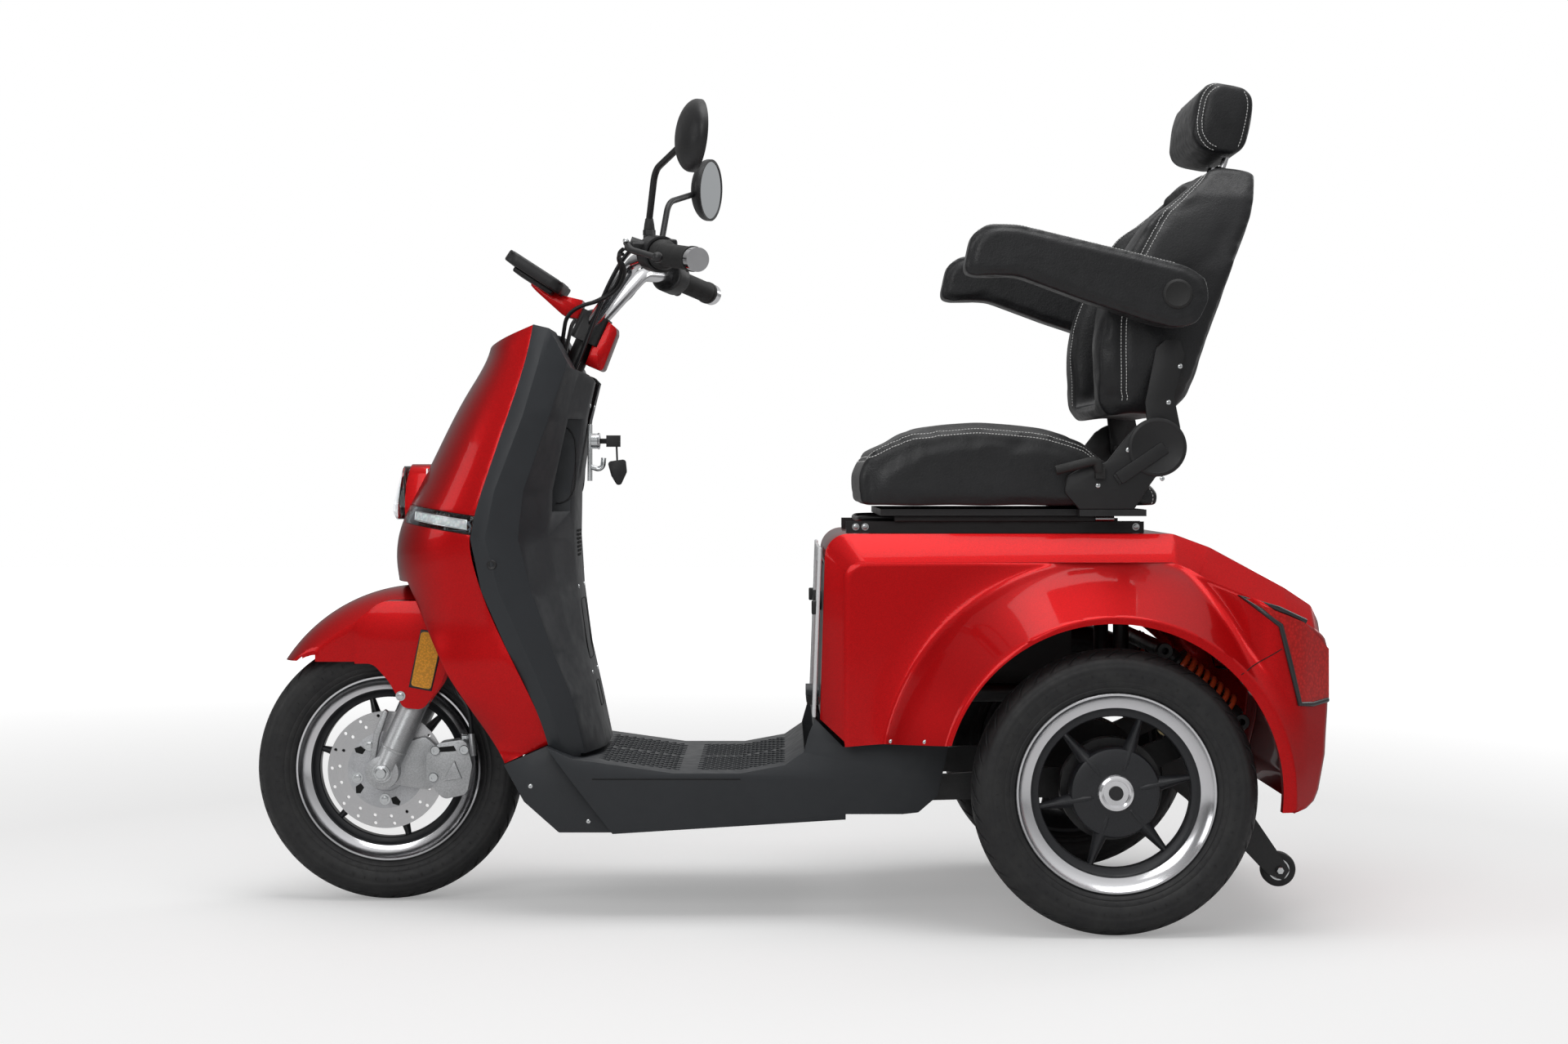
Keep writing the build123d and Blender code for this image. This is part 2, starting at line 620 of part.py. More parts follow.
def body_form(inset):
    """Seat box: wide side panels joined to the top and front by a bevel."""
    tail_radii = [20, 40, 10, 12, 40, 60, 20, 12, 0, 0, 0]
    radii = [0, 34 - inset] + tail_radii
    panel_radii = [0, 22 - inset] + tail_radii
    ridge = BODY_HALF_WIDTH - 28
    core = side_face(body_outline(inset, 0), radii)
    panel = side_face(body_outline(inset, 1), panel_radii)
    form = across(core, -ridge + 0.4 * inset, ridge - 0.4 * inset)
    for side in SIDES:
        ends = [Pos(0, side * (ridge - 0.4 * inset), 0) * core,
                Pos(0, side * (BODY_HALF_WIDTH - inset), 0) * panel]
        form += loft(ends, ruled=True)
    return form


def flare_form(side, inset):
    """Dish round the rear wheel: full radius at the body side, arch radius at its lip."""
    inner = BODY_HALF_WIDTH - 8
    lip = FLARE_HALF_WIDTH - inset
    blend = Spline(
        [(0, BODY_HALF_WIDTH - 4, FLARE_RADIUS + 3 - inset),
         (0, BODY_HALF_WIDTH + 22, FLARE_RADIUS - 12 - inset),
         (0, lip - 32, ARCH_RADIUS + 42 - inset), (0, lip, ARCH_RADIUS + 14 - 0.4 * inset)]
    )
    rest = Polyline(blend @ 1, (0, lip, 0), (0, inner, 0), (0, inner, FLARE_RADIUS + 3 - inset), blend @ 0)
    dish = revolve(make_face([blend, rest]), axis=Axis.Y)
    if side < 0:
        dish = mirror(dish, about=Plane.XZ)
    return Pos(REAR_X, 0, AXLE_Z) * dish


def tail_form(side, inset):
    """Corner block behind the wheel: ramps out from the body, carries the lamp and the fender's tail."""
    outline = [rear(TAIL_RAMP_START, BODY_TOP - 60)] + [
        rear(dx - inset * (index > 1), dz) for index, (dx, dz) in enumerate(tail_line(41 + inset)[2:])
    ] + [rear(TAIL_OVERHANG - 90, -24), rear(TAIL_RAMP_START, 60)]
    low = BODY_HALF_WIDTH - 15
    high = FLARE_HALF_WIDTH - 8 - inset
    solid = slab(outline, *sorted((side * (low + 5), side * high)))
    x_end = REAR_X + TAIL_OVERHANG - 2 - inset
    slope = atan2(high + inset - low, TAIL_RAMP_END - TAIL_RAMP_START)
    ramp_start = REAR_X + TAIL_RAMP_START + inset / sin(slope)
    ramp_end = REAR_X + TAIL_RAMP_END + inset * tan(slope / 2)
    plan = [(ramp_start, side * low), (ramp_end, side * high), (x_end - 60, side * high),
            (x_end, side * (high - 60)), (x_end, side * low)]
    plan_face = make_face(FilletPolyline(plan, radius=(0, 28, 50, 40, 0), close=True))
    return solid & extrude(plan_face, amount=900)


def side_form(side, inset):
    """Everything of one rear fender, filled."""
    bound = [rear(-386 + inset, 62), rear(-386 + inset, BODY_TOP - 41), rear(98, BODY_TOP - 30),
             rear(261, 288 - 30), rear(TAIL_OVERHANG, 230), rear(TAIL_OVERHANG, -24),
             rear(TAIL_OVERHANG - 90, -24), rear(0, -24), rear(-238, 71), rear(-384, 57)]
    dish = flare_form(side, inset) & slab(bound, -400, 400)
    return dish + tail_form(side, inset)


def arch_cut():
    """Wheel opening: a circle set slightly ahead of the axle."""
    x = REAR_X - 6
    return rod((x, -500, AXLE_Z + 3), (x, 500, AXLE_Z + 3), ARCH_RADIUS - 2)


def lamp_outline():
    return [rear(188, 278), rear(294, 266), rear(330, 258), rear(330, 128), rear(282, 124), rear(222, 232)]


def lamp_prism(side):
    y_ends = sorted((side * (BODY_HALF_WIDTH + 20), side * (FLARE_HALF_WIDTH + 60)))
    return slab(lamp_outline(), *y_ends)


def rear_fender(side):
    """Flared fender on one side, hollow, with its arch and lamp opening cut."""
    shell = side_form(side, 0) - side_form(side, PANEL_WALL)
    core = block(REAR_X - 500, REAR_X + 330, *sorted((0, side * (BODY_HALF_WIDTH + PANEL_GAP))),
                 AXLE_Z - 200, AXLE_Z + 500)
    low = block(REAR_X - 500, REAR_X + TAIL_OVERHANG - 10, *sorted((0, side * 364)),
                AXLE_Z - 60, AXLE_Z - 24 + PANEL_WALL)
    return shell - core - arch_cut() - low - lamp_prism(side)


def tail_light(side):
    """Red corner lens that fills the fender's lamp opening."""
    lens = tail_form(side, -1.5) - tail_form(side, PANEL_WALL + 3)
    return lens & lamp_prism(side)


def rear_body():
    """Seat box shell, open below, with the battery opening in its front wall."""
    shell = body_form(0) - body_form(PANEL_WALL)
    shell -= block(REAR_X - 500, REAR_X + TAIL_OVERHANG - 10, -FLOOR_HALF_WIDTH, FLOOR_HALF_WIDTH,
                   AXLE_Z - 60, AXLE_Z - 24 + PANEL_WALL)
    under = BODY_HALF_WIDTH - PANEL_WALL
    shell -= block(REAR_X - 380, REAR_X + TAIL_OVERHANG - 92, -under, under, AXLE_Z - 60, AXLE_Z + 95)
    for side in SIDES:
        wheel_side = sorted((side * (BODY_HALF_WIDTH - 40), side * 500))
        shell -= rod((REAR_X, wheel_side[0], AXLE_Z), (REAR_X, wheel_side[1], AXLE_Z), FLARE_RADIUS - 12)
    door = block(REAR_X - 450, REAR_X - 405, -DOOR_HALF - DOOR_CLEARANCE, DOOR_HALF + DOOR_CLEARANCE,
                 AXLE_Z + DOOR_LOW - DOOR_CLEARANCE, AXLE_Z + DOOR_HIGH + DOOR_CLEARANCE)
    return shell - door


# ---------------------------------------------------------------- battery door, lock and key
def wall_x(dz):
    """Outer face of the body's leaning front wall at a height above the axle."""
    return REAR_X - 420 + 8 * (dz - 95) / (BODY_TOP - 136)


HINGE_X = REAR_X - 432
HINGE_Z = AXLE_Z + 107.5


def battery_door():
    """Drop-down door in the front wall, hinged along its lower edge."""
    low, high = DOOR_LOW + DOOR_CLEARANCE, DOOR_HIGH - DOOR_CLEARANCE
    outline = [(wall_x(low), AXLE_Z + low), (wall_x(high), AXLE_Z + high),
               (wall_x(high) + PANEL_WALL, AXLE_Z + high), (wall_x(low) + PANEL_WALL, AXLE_Z + low)]
    panel = slab(outline, -DOOR_HALF + DOOR_CLEARANCE, DOOR_HALF - DOOR_CLEARANCE)
    leaf = [(HINGE_X - 7, HINGE_Z), (HINGE_X - 7, HINGE_Z + 16), (wall_x(low) + 2, AXLE_Z + low + 8),
            (wall_x(low) + 2, AXLE_Z + low), (wall_x(low) - 4, AXLE_Z + low), (HINGE_X + 3, HINGE_Z)]
    panel += slab(leaf, -60, 60)
    panel += rod((HINGE_X, -60, HINGE_Z), (HINGE_X, 60, HINGE_Z), 7)
    return panel - rod((HINGE_X, -61, HINGE_Z), (HINGE_X, 61, HINGE_Z), DOOR_HINGE_RADIUS + RUNNING_FIT)


def door_latch():
    """Black turning grip near the top of the battery door."""
    x = wall_x(241)
    z = AXLE_Z + 258
    latch = rod((x - 5, 0, z), (x, 0, z), 15)
    return latch + block(x - 13, x - 5, -6, 6, z - 16, z + 16)


def ignition_lock():
    """Silver bag hook and lock barrel on the shield's centre column."""
    x, z = front(309, 506)
    plate = block(x - 2, x + 3, -18, 18, z - 62, z + 26)
    barrel = rod((x, 0, z), (x + 14, 0, z), 12)
    hook = tube_path([(x + 2, 0, z - 40), (x + 20, 0, z - 46), (x + 22, 0, z - 26)], 4, 8)
    return plate + barrel + hook


def ignition_key():
    """Key in the lock with its fob hanging from a ring."""
    x, z = front(323, 506)
    blade = block(x, x + 12, -1.5, 1.5, z - 4, z + 4) + block(x + 12, x + 34, -3, 3, z - 9, z + 9)
    ring = rod((x + 28, 0, z - 8), (x + 29, 0, z - 33), 1.5)
    outline = [(x + 14, z - 32), (x + 42, z - 28), (x + 44, z - 48), (x + 32, z - 74), (x + 20, z - 54)]
    return blade + ring + slab(outline, -6, 6, (5, 5, 8, 5, 5))


def hinge_pin():
    """Pin of the battery door, held at both ends by lugs on the body's front wall."""
    pin = rod((HINGE_X, -72, HINGE_Z), (HINGE_X, 72, HINGE_Z), DOOR_HINGE_RADIUS)
    for side in SIDES:
        pin += block(HINGE_X - 6, wall_x(HINGE_Z - AXLE_Z - 6) - 0.1, *sorted((side * 61, side * 72)),
                     HINGE_Z - 6, HINGE_Z + 6)
    return pin


# ---------------------------------------------------------------- seat
RAIL_FOOT = BODY_TOP


def seat_rails():
    """Fixed channels on the body top; the seat's runners slide in them."""
    rails = []
    for side in SIDES:
        y = side * RAIL_SPAN / 2
        x_low, x_high = REAR_X - 380, REAR_X + 64
        base = AXLE_Z + RAIL_FOOT
        rail = block(x_low, x_high, y - RAIL_WIDTH / 2, y + RAIL_WIDTH / 2,
                     base, base + RAIL_FLOOR + RAIL_DEPTH)
        rail -= block(x_low - 1, x_high + 1, y - RAIL_WIDTH / 2 + 3, y + RAIL_WIDTH / 2 - 3,
                      base + RAIL_FLOOR, base + RAIL_FLOOR + RAIL_DEPTH + 1)
        rails.append(rail)
    return rails


def seat_frame():
    """Runners, the pan under the cushion and the side plates that carry the recliners."""
    base = AXLE_Z + RAIL_FOOT
    runner_half = RAIL_WIDTH / 2 - 3 - SLIDE_FIT
    pan_low = AXLE_Z + CUSHION_BOTTOM - 10
    frame = block(REAR_X - 330, REAR_X + 60, -SEAT_HALF_WIDTH + 30, SEAT_HALF_WIDTH - 30,
                  pan_low, pan_low + 9.7)
    for side in SIDES:
        y = side * RAIL_SPAN / 2
        frame += block(REAR_X - 290, REAR_X + 0, y - runner_half, y + runner_half,
                       base + RAIL_FLOOR + SLIDE_FIT, pan_low + 1)
        frame += block(REAR_X - 40, REAR_X + 58, *sorted((side * 190, side * (SEAT_HALF_WIDTH + 12))),
                       pan_low, pan_low + 9.7)
    return frame


def recliner_plates():
    """Lower half of the recliner on each side: a bracket with a round cover."""
    x, z = rear(74, 494)
    outline = [rear(-62, 428), rear(-58, 452), rear(-30, 468), rear(0, 472), rear(44, 528),
               rear(80, 520), rear(86, 470), rear(60, 434), rear(40, 402.7), rear(-40, 402.7)]
    plates = []
    for side in SIDES:
        low = SEAT_HALF_WIDTH + 1
        ends = sorted((side * low, side * (low + 11)))
        plate = slab(outline, *ends, (10, 10, 6, 10, 12, 10, 12, 20, 0, 0))
        cover = rod((x, side * low, z), (x, side * (low + 11), z), RECLINE_DISC_RADIUS)
        plates.append(plate + cover - rod((x, 0, z), (x, side * 400, z), RECLINE_PIN_RADIUS + RUNNING_FIT))
    return plates


def recline_lever():
    """Release handle ahead of the left recliner."""
    x, z = rear(-30, 468)
    y = -SEAT_HALF_WIDTH - 12.3
    lever = tube_path([(x + 18, y - 8, z - 10), (x + 14, y - 10, z + 7), (x - 46, y - 12, z - 8)], 7, 7)
    return lever + block(x + 12, x + 26, y - 12, y, z - 20, z - 3)


CUSHION_OUTLINE = (
    (-366, 403), (-369, 455), (-352, 492), (-290, 521), (-190, 531), (-90, 522), (-24, 500), (2, 470),
    (60, 452), (84, 430), (82, 403),
)


def cushion():
    """Seat cushion, crowned in the middle; its padded look is worked over this solid."""
    outline = [rear(*point) for point in CUSHION_OUTLINE]
    return slab(outline, -SEAT_HALF_WIDTH, SEAT_HALF_WIDTH, (14, 20, 30, 60, 90, 60, 30, 20, 20, 8, 8))


BACK_OUTLINE = (
    (4, 534), (-14, 560), (-12, 640), (-4, 700), (36, 790), (68, 838), (116, 875), (158, 914),
    (176, 921), (236, 911), (226, 850), (120, 560), (96, 535), (46, 541),
)
ARM_PIVOT_SPOT = (94, 714)


def backrest():
    """Backrest with side bolsters round a recessed middle."""
    outline = [rear(*point) for point in BACK_OUTLINE]
    radii = (14, 20, 60, 60, 80, 60, 60, 14, 14, 12, 60, 60, 10, 20)
    half = BACK_HALF_WIDTH
    body = slab(outline, -half, half, radii)
    front_view = [(-half + 34, 500), (-half, 600), (-half, 760), (-half + 26, 870), (-half + 72, 921 + 20),
                  (half - 72, 921 + 20), (half - 26, 870), (half, 760), (half, 600), (half - 34, 500)]
    plan = Plane.YZ * make_face(Polyline([(y, AXLE_Z + z) for y, z in front_view], close=True))
    body = body & (Pos(REAR_X - 200, 0, 0) * extrude(plan, amount=700, dir=(1, 0, 0)))
    recess = [rear(-60, 560), rear(40, 560), rear(150, 880), rear(60, 930)]
    body -= slab(recess, -half + 84, half - 84)
    x, z = rear(*ARM_PIVOT_SPOT)
    for spot in ((x, z), rear(74, 494)):
        body -= rod((spot[0], -400, spot[1]), (spot[0], 400, spot[1]), ARM_PIN_RADIUS + 1.5)
    return body - headrest_sockets()


def headrest_post_line(side, low, high):
    """Points on a headrest post, which is parallel to the backrest."""
    x, z = rear(198, 921)
    lean = Vector(sin(radians(BACK_RAKE)), 0, cos(radians(BACK_RAKE)))
    foot = Vector(x, side * POST_SPAN / 2, z)
    return foot + lean * low, foot + lean * high


def headrest_sockets():
    holes = None
    for side in SIDES:
        hole = rod(*headrest_post_line(side, -150, 30), POST_RADIUS + RUNNING_FIT)
        holes = hole if holes is None else holes + hole
    return holes


def headrest_posts():
    return [rod(*headrest_post_line(side, -110, 50), POST_RADIUS) for side in SIDES]


def headrest():
    """Padded headrest on two posts."""
    x, z = rear(191, 993)
    pad = Box(92, 2 * HEADREST_HALF_WIDTH, 112)
    pad = fillet(pad.edges().filter_by(Axis.Y), 30)
    pad = fillet(pad.edges().filter_by(GeomType.CIRCLE), 12)
    pad = Pos(x, 0, z) * Rot(0, BACK_RAKE - 8, 0) * pad
    for side in SIDES:
        pad -= rod(*headrest_post_line(side, 0, 51), POST_RADIUS)
    return pad


def recliner_arms():
    """Upper half of the recliners: pin, bar and bracket up the backrest's sides."""
    pivot = rear(74, 494)
    outline = [rear(66, 486), rear(58, 560), rear(74, 640), rear(88, 652), rear(108, 652), rear(116, 630),
               rear(100, 570), rear(110, 520), rear(84, 486)]
    arms = []
    for side in SIDES:
        low = BACK_HALF_WIDTH + 0.3
        high = SEAT_HALF_WIDTH + 0.7
        arm = slab(outline, *sorted((side * low, side * high)), (6, 12, 12, 8, 8, 12, 20, 10, 6))
        pin_ends = sorted((side * (low - 40), side * (SEAT_HALF_WIDTH + 12)))
        arm += rod((pivot[0], pin_ends[0], pivot[1]), (pivot[0], pin_ends[1], pivot[1]), RECLINE_PIN_RADIUS)
        arms.append(arm)
    return arms


def arm_pivots():
    """Bosses on the backrest's sides that the armrests turn on."""
    x, z = rear(*ARM_PIVOT_SPOT)
    pivots = []
    for side in SIDES:
        pin_ends = sorted((side * (BACK_HALF_WIDTH - 50), side * (ARM_OFFSET + ARM_WIDTH / 2 - 8)))
        pin = rod((x, pin_ends[0], z), (x, pin_ends[1], z), ARM_PIN_RADIUS)
        boss_ends = sorted((side * (BACK_HALF_WIDTH + 0.3), side * (ARM_OFFSET - ARM_WIDTH / 2 - 5)))
        pivots.append(pin + rod((x, boss_ends[0], z), (x, boss_ends[1], z), 22))
    return pivots


ARM_OUTLINE = (
    (-219, 742), (-206, 802), (-180, 820), (-136, 819), (22, 781), (112, 758), (140, 738), (144, 706),
    (126, 668), (90, 662), (50, 672), (-42, 702), (-136, 737), (-200, 740),
)


def armrest(side):
    """Padded armrest; its steel insert is bored for the pivot pin."""
    outline = [rear(*point) for point in ARM_OUTLINE]
    radii = (12, 24, 20, 60, 200, 60, 20, 20, 26, 20, 100, 100, 60, 8)
    middle = side * ARM_OFFSET
    pad = slab(outline, middle - ARM_WIDTH / 2, middle + ARM_WIDTH / 2, radii)
    x, z = rear(*ARM_PIVOT_SPOT)
    inner, outer = side * 200, side * (ARM_OFFSET + ARM_WIDTH / 2 - 7)
    return pad - rod((x, inner, z), (x, outer, z), ARM_PIN_RADIUS + RUNNING_FIT)


def seat_group():
    save("seat_rails", *seat_rails())
    save("seat_frame", seat_frame())
    save("recliner_plates", *recliner_plates())
    save("recline_lever", recline_lever())
    save("seat_cushion", cushion())
    save("backrest", backrest())
    save("recliner_arms", *recliner_arms())
    save("armrest_pivots", *arm_pivots())
    save("headrest_posts", *headrest_posts())
    save("headrest", headrest())
    for side, name in zip(SIDES, ("left", "right")):
        save(f"armrest_{name}", armrest(side))


# ---------------------------------------------------------------- steering
SLIDER_TOP = 165.0
YOKE_LOW = 306.0
YOKE_THICKNESS = 26.0
CLAMP_LOW = 726.0
CLAMP_HEIGHT = 46.0
POD_INNER = 56.0
POD_OUTER = 106.0


def fork():
    """Yoke with fork tubes below it and the steerer and bar clamp above."""
    plane = Plane(origin=on_axis(YOKE_LOW), x_dir=(0, 1, 0), z_dir=STEER_AXIS)
    yoke = extrude(plane * RectangleRounded(FORK_SPAN + 44, 52, 20), amount=YOKE_THICKNESS)
    for side in SIDES:
        y = side * FORK_SPAN / 2
        yoke += rod(on_axis(SLIDER_TOP - 40, y), on_axis(YOKE_LOW + 8, y), FORK_TUBE_RADIUS)
    yoke += rod(on_axis(YOKE_LOW + 8), on_axis(CLAMP_LOW + CLAMP_HEIGHT), STEERER_RADIUS)
    collar = YOKE_LOW + YOKE_THICKNESS
    yoke += rod(on_axis(collar), on_axis(HEAD_LOW - 6), STEERER_RADIUS + 6)
    yoke += rod(on_axis(HEAD_HIGH + 6), on_axis(HEAD_HIGH + 18), STEERER_RADIUS + 6)
    plane = Plane(origin=on_axis(CLAMP_LOW), x_dir=(0, 1, 0), z_dir=STEER_AXIS)
    clamp = extrude(plane * RectangleRounded(84, 46, 10), amount=CLAMP_HEIGHT)
    return yoke + clamp - handlebar_tube(BAR_RADIUS + RUNNING_FIT)


def fork_sliders():
    """Cast lower legs, each with an axle eye, and the axle through them."""
    reach = FORK_SPAN / 2 + 24
    legs = rod((FRONT_X, -reach, AXLE_Z), (FRONT_X, reach, AXLE_Z), STUB_RADIUS)
    for side in SIDES:
        y = side * FORK_SPAN / 2
        leg = rod(on_axis(-8, y), on_axis(SLIDER_TOP, y), SLIDER_RADIUS)
        leg += rod((FRONT_X, y - 15, AXLE_Z), (FRONT_X, y + 15, AXLE_Z), 25)
        legs += leg - rod(on_axis(SLIDER_TOP - 45, y), on_axis(SLIDER_TOP + 1, y), FORK_TUBE_RADIUS + RUNNING_FIT)
        nut_ends = sorted((side * reach, side * (FORK_SPAN / 2 + 14)))
        legs += rod((FRONT_X, nut_ends[0], AXLE_Z), (FRONT_X, nut_ends[1], AXLE_Z), 13)
    lug = slab([front(8, -20), front(74, -30), front(86, 30), front(62, 52), front(20, 40)],
               -66, -58, (8, 12, 10, 12, 8))
    return legs + lug


def brake_caliper():
    """Caliper behind the left slider, straddling the disc's rim."""
    outline = [front(66, -10), front(92, -42), front(128, -34), front(136, 10), front(126, 50),
               front(86, 44), front(66, 26)]
    body = slab(outline, -84, -38, (10, 14, 14, 20, 12, 12, 8))
    slot_low = -DISC_OFFSET - DISC_THICKNESS / 2 - 3
    slot_high = -DISC_OFFSET + DISC_THICKNESS / 2 + 3
    body -= rod((FRONT_X, slot_low, AXLE_Z), (FRONT_X, slot_high, AXLE_Z), DISC_RADIUS + 5)
    hose_start = (on_axis(*HOSE_ROUTE[1]) - on_axis(*HOSE_ROUTE[0])).normalized()
    lug_space = slab([front(0, -60), front(87, -60), front(87, 60), front(0, 60)], -66.3, slot_low + 0.1)
    union = rod(on_axis(*HOSE_ROUTE[0]) - hose_start * 34, on_axis(*HOSE_ROUTE[0]), 5)
    return body - lug_space + union


def front_3d(dx, dz, y):
    x, z = front(dx, dz)
    return (x, y, z)


# Each hose point: length up the steering axis, sideways and ahead of it.
HOSE_ROUTE = (
    (106, -62, -97), (140, -58, -78), (158, -50.5, -38), (215, -51, -30), (280, -58, -41),
    (345, -62, -38), (430, -60, -16), (515, -55, -7), (600, -50, -4), (690, -49, -8), (755, -64, -4),
    (812, -102, -5), (856, -150, -12), (878, -202, -24),
)


def hose_radii(route):
    """Bend radius at each inner point, as large as its two runs allow."""
    radii = []
    for before, here, after in zip(route, route[1:], route[2:]):
        first = Vector(*here) - Vector(*before)
        second = Vector(*after) - Vector(*here)
        turn = radians(first.get_angle(second))
        radii.append(0.45 * min(first.length, second.length) / tan(turn / 2))
    return radii


def brake_hose():
    """Hydraulic hose from the caliper up beside the steerer to the left lever."""
    route = [tuple(on_axis(*point)) for point in HOSE_ROUTE]
    radii = hose_radii(route)
    print("brake hose radii", [round(radius) for radius in radii])
    hose = tube_path(route, HOSE_RADIUS, radii)
    length = FilletPolyline(route, radius=radii).length
    print("brake hose volume ratio", hose.volume / (pi * HOSE_RADIUS**2 * length), "length", length)
    return hose


FENDER_CENTRE = (51.8, 28.6)
FENDER_RADIUS = 255.0


def fender_form(inset):
    """Crowned band round the wheel, cut to its side view and rounded at the tip."""
    half = FENDER_HALF_WIDTH - inset
    top = FENDER_RADIUS - inset
    crown = ThreePointArc((0, -half, top - 34), (0, 0, top), (0, half, top - 34))
    section = make_face([crown, Polyline(crown @ 1, (0, half, 20), (0, -half, 20), crown @ 0)])
    x, z = front(*FENDER_CENTRE)
    band = Pos(x, 0, z) * revolve(section, axis=Axis.Y)
    side = [front(-300, 167), front(-300, 400), front(76, 400), front(76, 167)]
    band = band & slab(side, -100, 100)
    tip = [front(-170, 0)[0], front(-50, 0)[0], front(110, 0)[0]]
    plan = make_face(
        FilletPolyline([(tip[0], -34), (tip[1], -90), (tip[2], -90), (tip[2], 90), (tip[1], 90), (tip[0], 34)],
                       radius=(24, 60, 0, 0, 60, 24), close=True)
    )
    return band & extrude(plan, amount=1000)


POD_OUTLINE = (
    (-12, 167), (12, 140), (34, 100), (64, 97), (92, 136), (112, 190), (112, 238), (70, 262), (0, 262), (-40, 230),
    (-40, 167),
)
POD_RADII = (22, 60, 12, 16, 40, 30, 24, 40, 40, 20, 0)


def pod_form(side, inset, drop):
    points = []
    for dx, dz in POD_OUTLINE:
        towards = 38
        shrink = inset / 90
        points.append(front(dx + (towards - dx) * shrink * 1.2, dz + (190 - dz) * shrink * 1.2 - drop * (dz < 139)))
    ends = sorted((side * (POD_INNER + inset), side * (POD_OUTER - inset)))
    return slab(points, *ends, POD_RADII)


def front_fender():
    """Fender with a pod each side that sleeves the fork tubes."""
    outer = fender_form(0)
    hollow = fender_form(3)
    for side in SIDES:
        outer += pod_form(side, 0, 0)
    for side in SIDES:
        hollow += pod_form(side, 3, 24)
    shell = outer - hollow
    for side in SIDES:
        y = side * FORK_SPAN / 2
        shell -= rod(on_axis(60, y), on_axis(YOKE_LOW, y), SLIDER_RADIUS + 0.3)
    wheel_room = rod((FRONT_X, -POD_INNER + 3, AXLE_Z), (FRONT_X, POD_INNER - 3, AXLE_Z), TYRE_RADIUS + 12)
    shell -= wheel_room
    for side in SIDES:
        boss = rod(on_axis(140, side * (POD_INNER + 1)), on_axis(140, side * FORK_SPAN / 2), 8)
        y = side * FORK_SPAN / 2
        shell += boss - rod(on_axis(60, y), on_axis(YOKE_LOW, y), SLIDER_RADIUS + 0.2)
    return shell


def fender_reflectors():
    """Amber reflectors on the pods."""
    outline = [front(62, 216), front(76, 214), (front(88, 184)), front(76, 128), front(46, 134)]
    pieces = []
    for side in SIDES:
        pieces.append(slab(outline, *sorted((side * POD_OUTER, side * (POD_OUTER + 4))), (5, 5, 8, 5, 5)))
    return pieces


def bar_point(side, name):
    """Named points along one half of the handlebar."""
    spots = {"end": (483, 761, 345), "inner": (425, 779, 222), "shoulder": (385, 775, 120),
             "clamp": (0, 0, 30)}
    dx, dz, y = spots[name]
    if name == "clamp":
        return on_axis(CLAMP_LOW + CLAMP_HEIGHT / 2 + 4, side * y)
    return Vector(*front_3d(dx, dz, side * y))


def handlebar_tube(radius):
    names = ("end", "inner", "shoulder", "clamp")
    points = [bar_point(-1, name) for name in names] + [bar_point(1, name) for name in reversed(names)]
    return tube_path(points, radius, (60, 45, 30, 30, 45, 60))


def grip_line(side, start, end):
    """Two points on the straight grip part of the bar, measured in from its end."""
    tip = bar_point(side, "end")
    run = (bar_point(side, "inner") - tip).normalized()
    return tip + run * start, tip + run * end


def handlebar():
    """Swept-back bar with a metal cap at each end."""
    bar = handlebar_tube(BAR_RADIUS)
    for side in SIDES:
        bar += rod(*grip_line(side, -16, -1), GRIP_RADIUS + 0.5)
        bar += rod(*grip_line(side, -2, 3), BAR_RADIUS)
    return bar


def grips():
    pieces = []
    for side in SIDES:
        grip = rod(*grip_line(side, 0, GRIP_LENGTH), GRIP_RADIUS)
        pieces.append(grip - rod(*grip_line(side, -1, GRIP_LENGTH + 1), BAR_RADIUS + RUNNING_FIT))
    return pieces


def lever_lug(side):
    """Short boss ahead of the bar that carries the brake lever."""
    start = grip_line(side, GRIP_LENGTH + 18, 0)[0]
    ahead = Vector(-30, side * 4, 10)
    return rod(start + ahead * 0.2, start + ahead * 1.35, 12)


def control_housings():
    """Switch and lever housings inboard of the grips."""
    pieces = []
    for side in SIDES:
        body = rod(*grip_line(side, GRIP_LENGTH + 1, GRIP_LENGTH + 34), 27) + lever_lug(side)
        pieces.append(body - handlebar_tube(BAR_RADIUS + RUNNING_FIT))
    return pieces


def brake_levers():
    """Blades ahead of the grips, ending in small balls."""
    pieces = []
    for side in SIDES:
        pivot = grip_line(side, GRIP_LENGTH + 18, 0)[0] + Vector(-45.5, side * 6, 15.2)
        middle = grip_line(side, GRIP_LENGTH - 26, 0)[0] + Vector(-54, 0, 8)
        tip = grip_line(side, 4, 0)[0] + Vector(-50, 0, 2)
        lever = tube_path([pivot, middle, tip], 4.5, 60)
        lever += Pos(*tip) * Sphere(8)
        pieces.append(lever - lever_lug(side))
    return pieces


MIRROR_TOE = 16.0
MIRROR_SPOT = (484, 936, 352)


def mirror_frame(side):
    """Placement of a mirror head: +X of this frame is the way the glass looks."""
    dx, dz, y = MIRROR_SPOT
    return Pos(*front_3d(dx, dz, side * y)) * Rot(0, 4, -side * MIRROR_TOE)


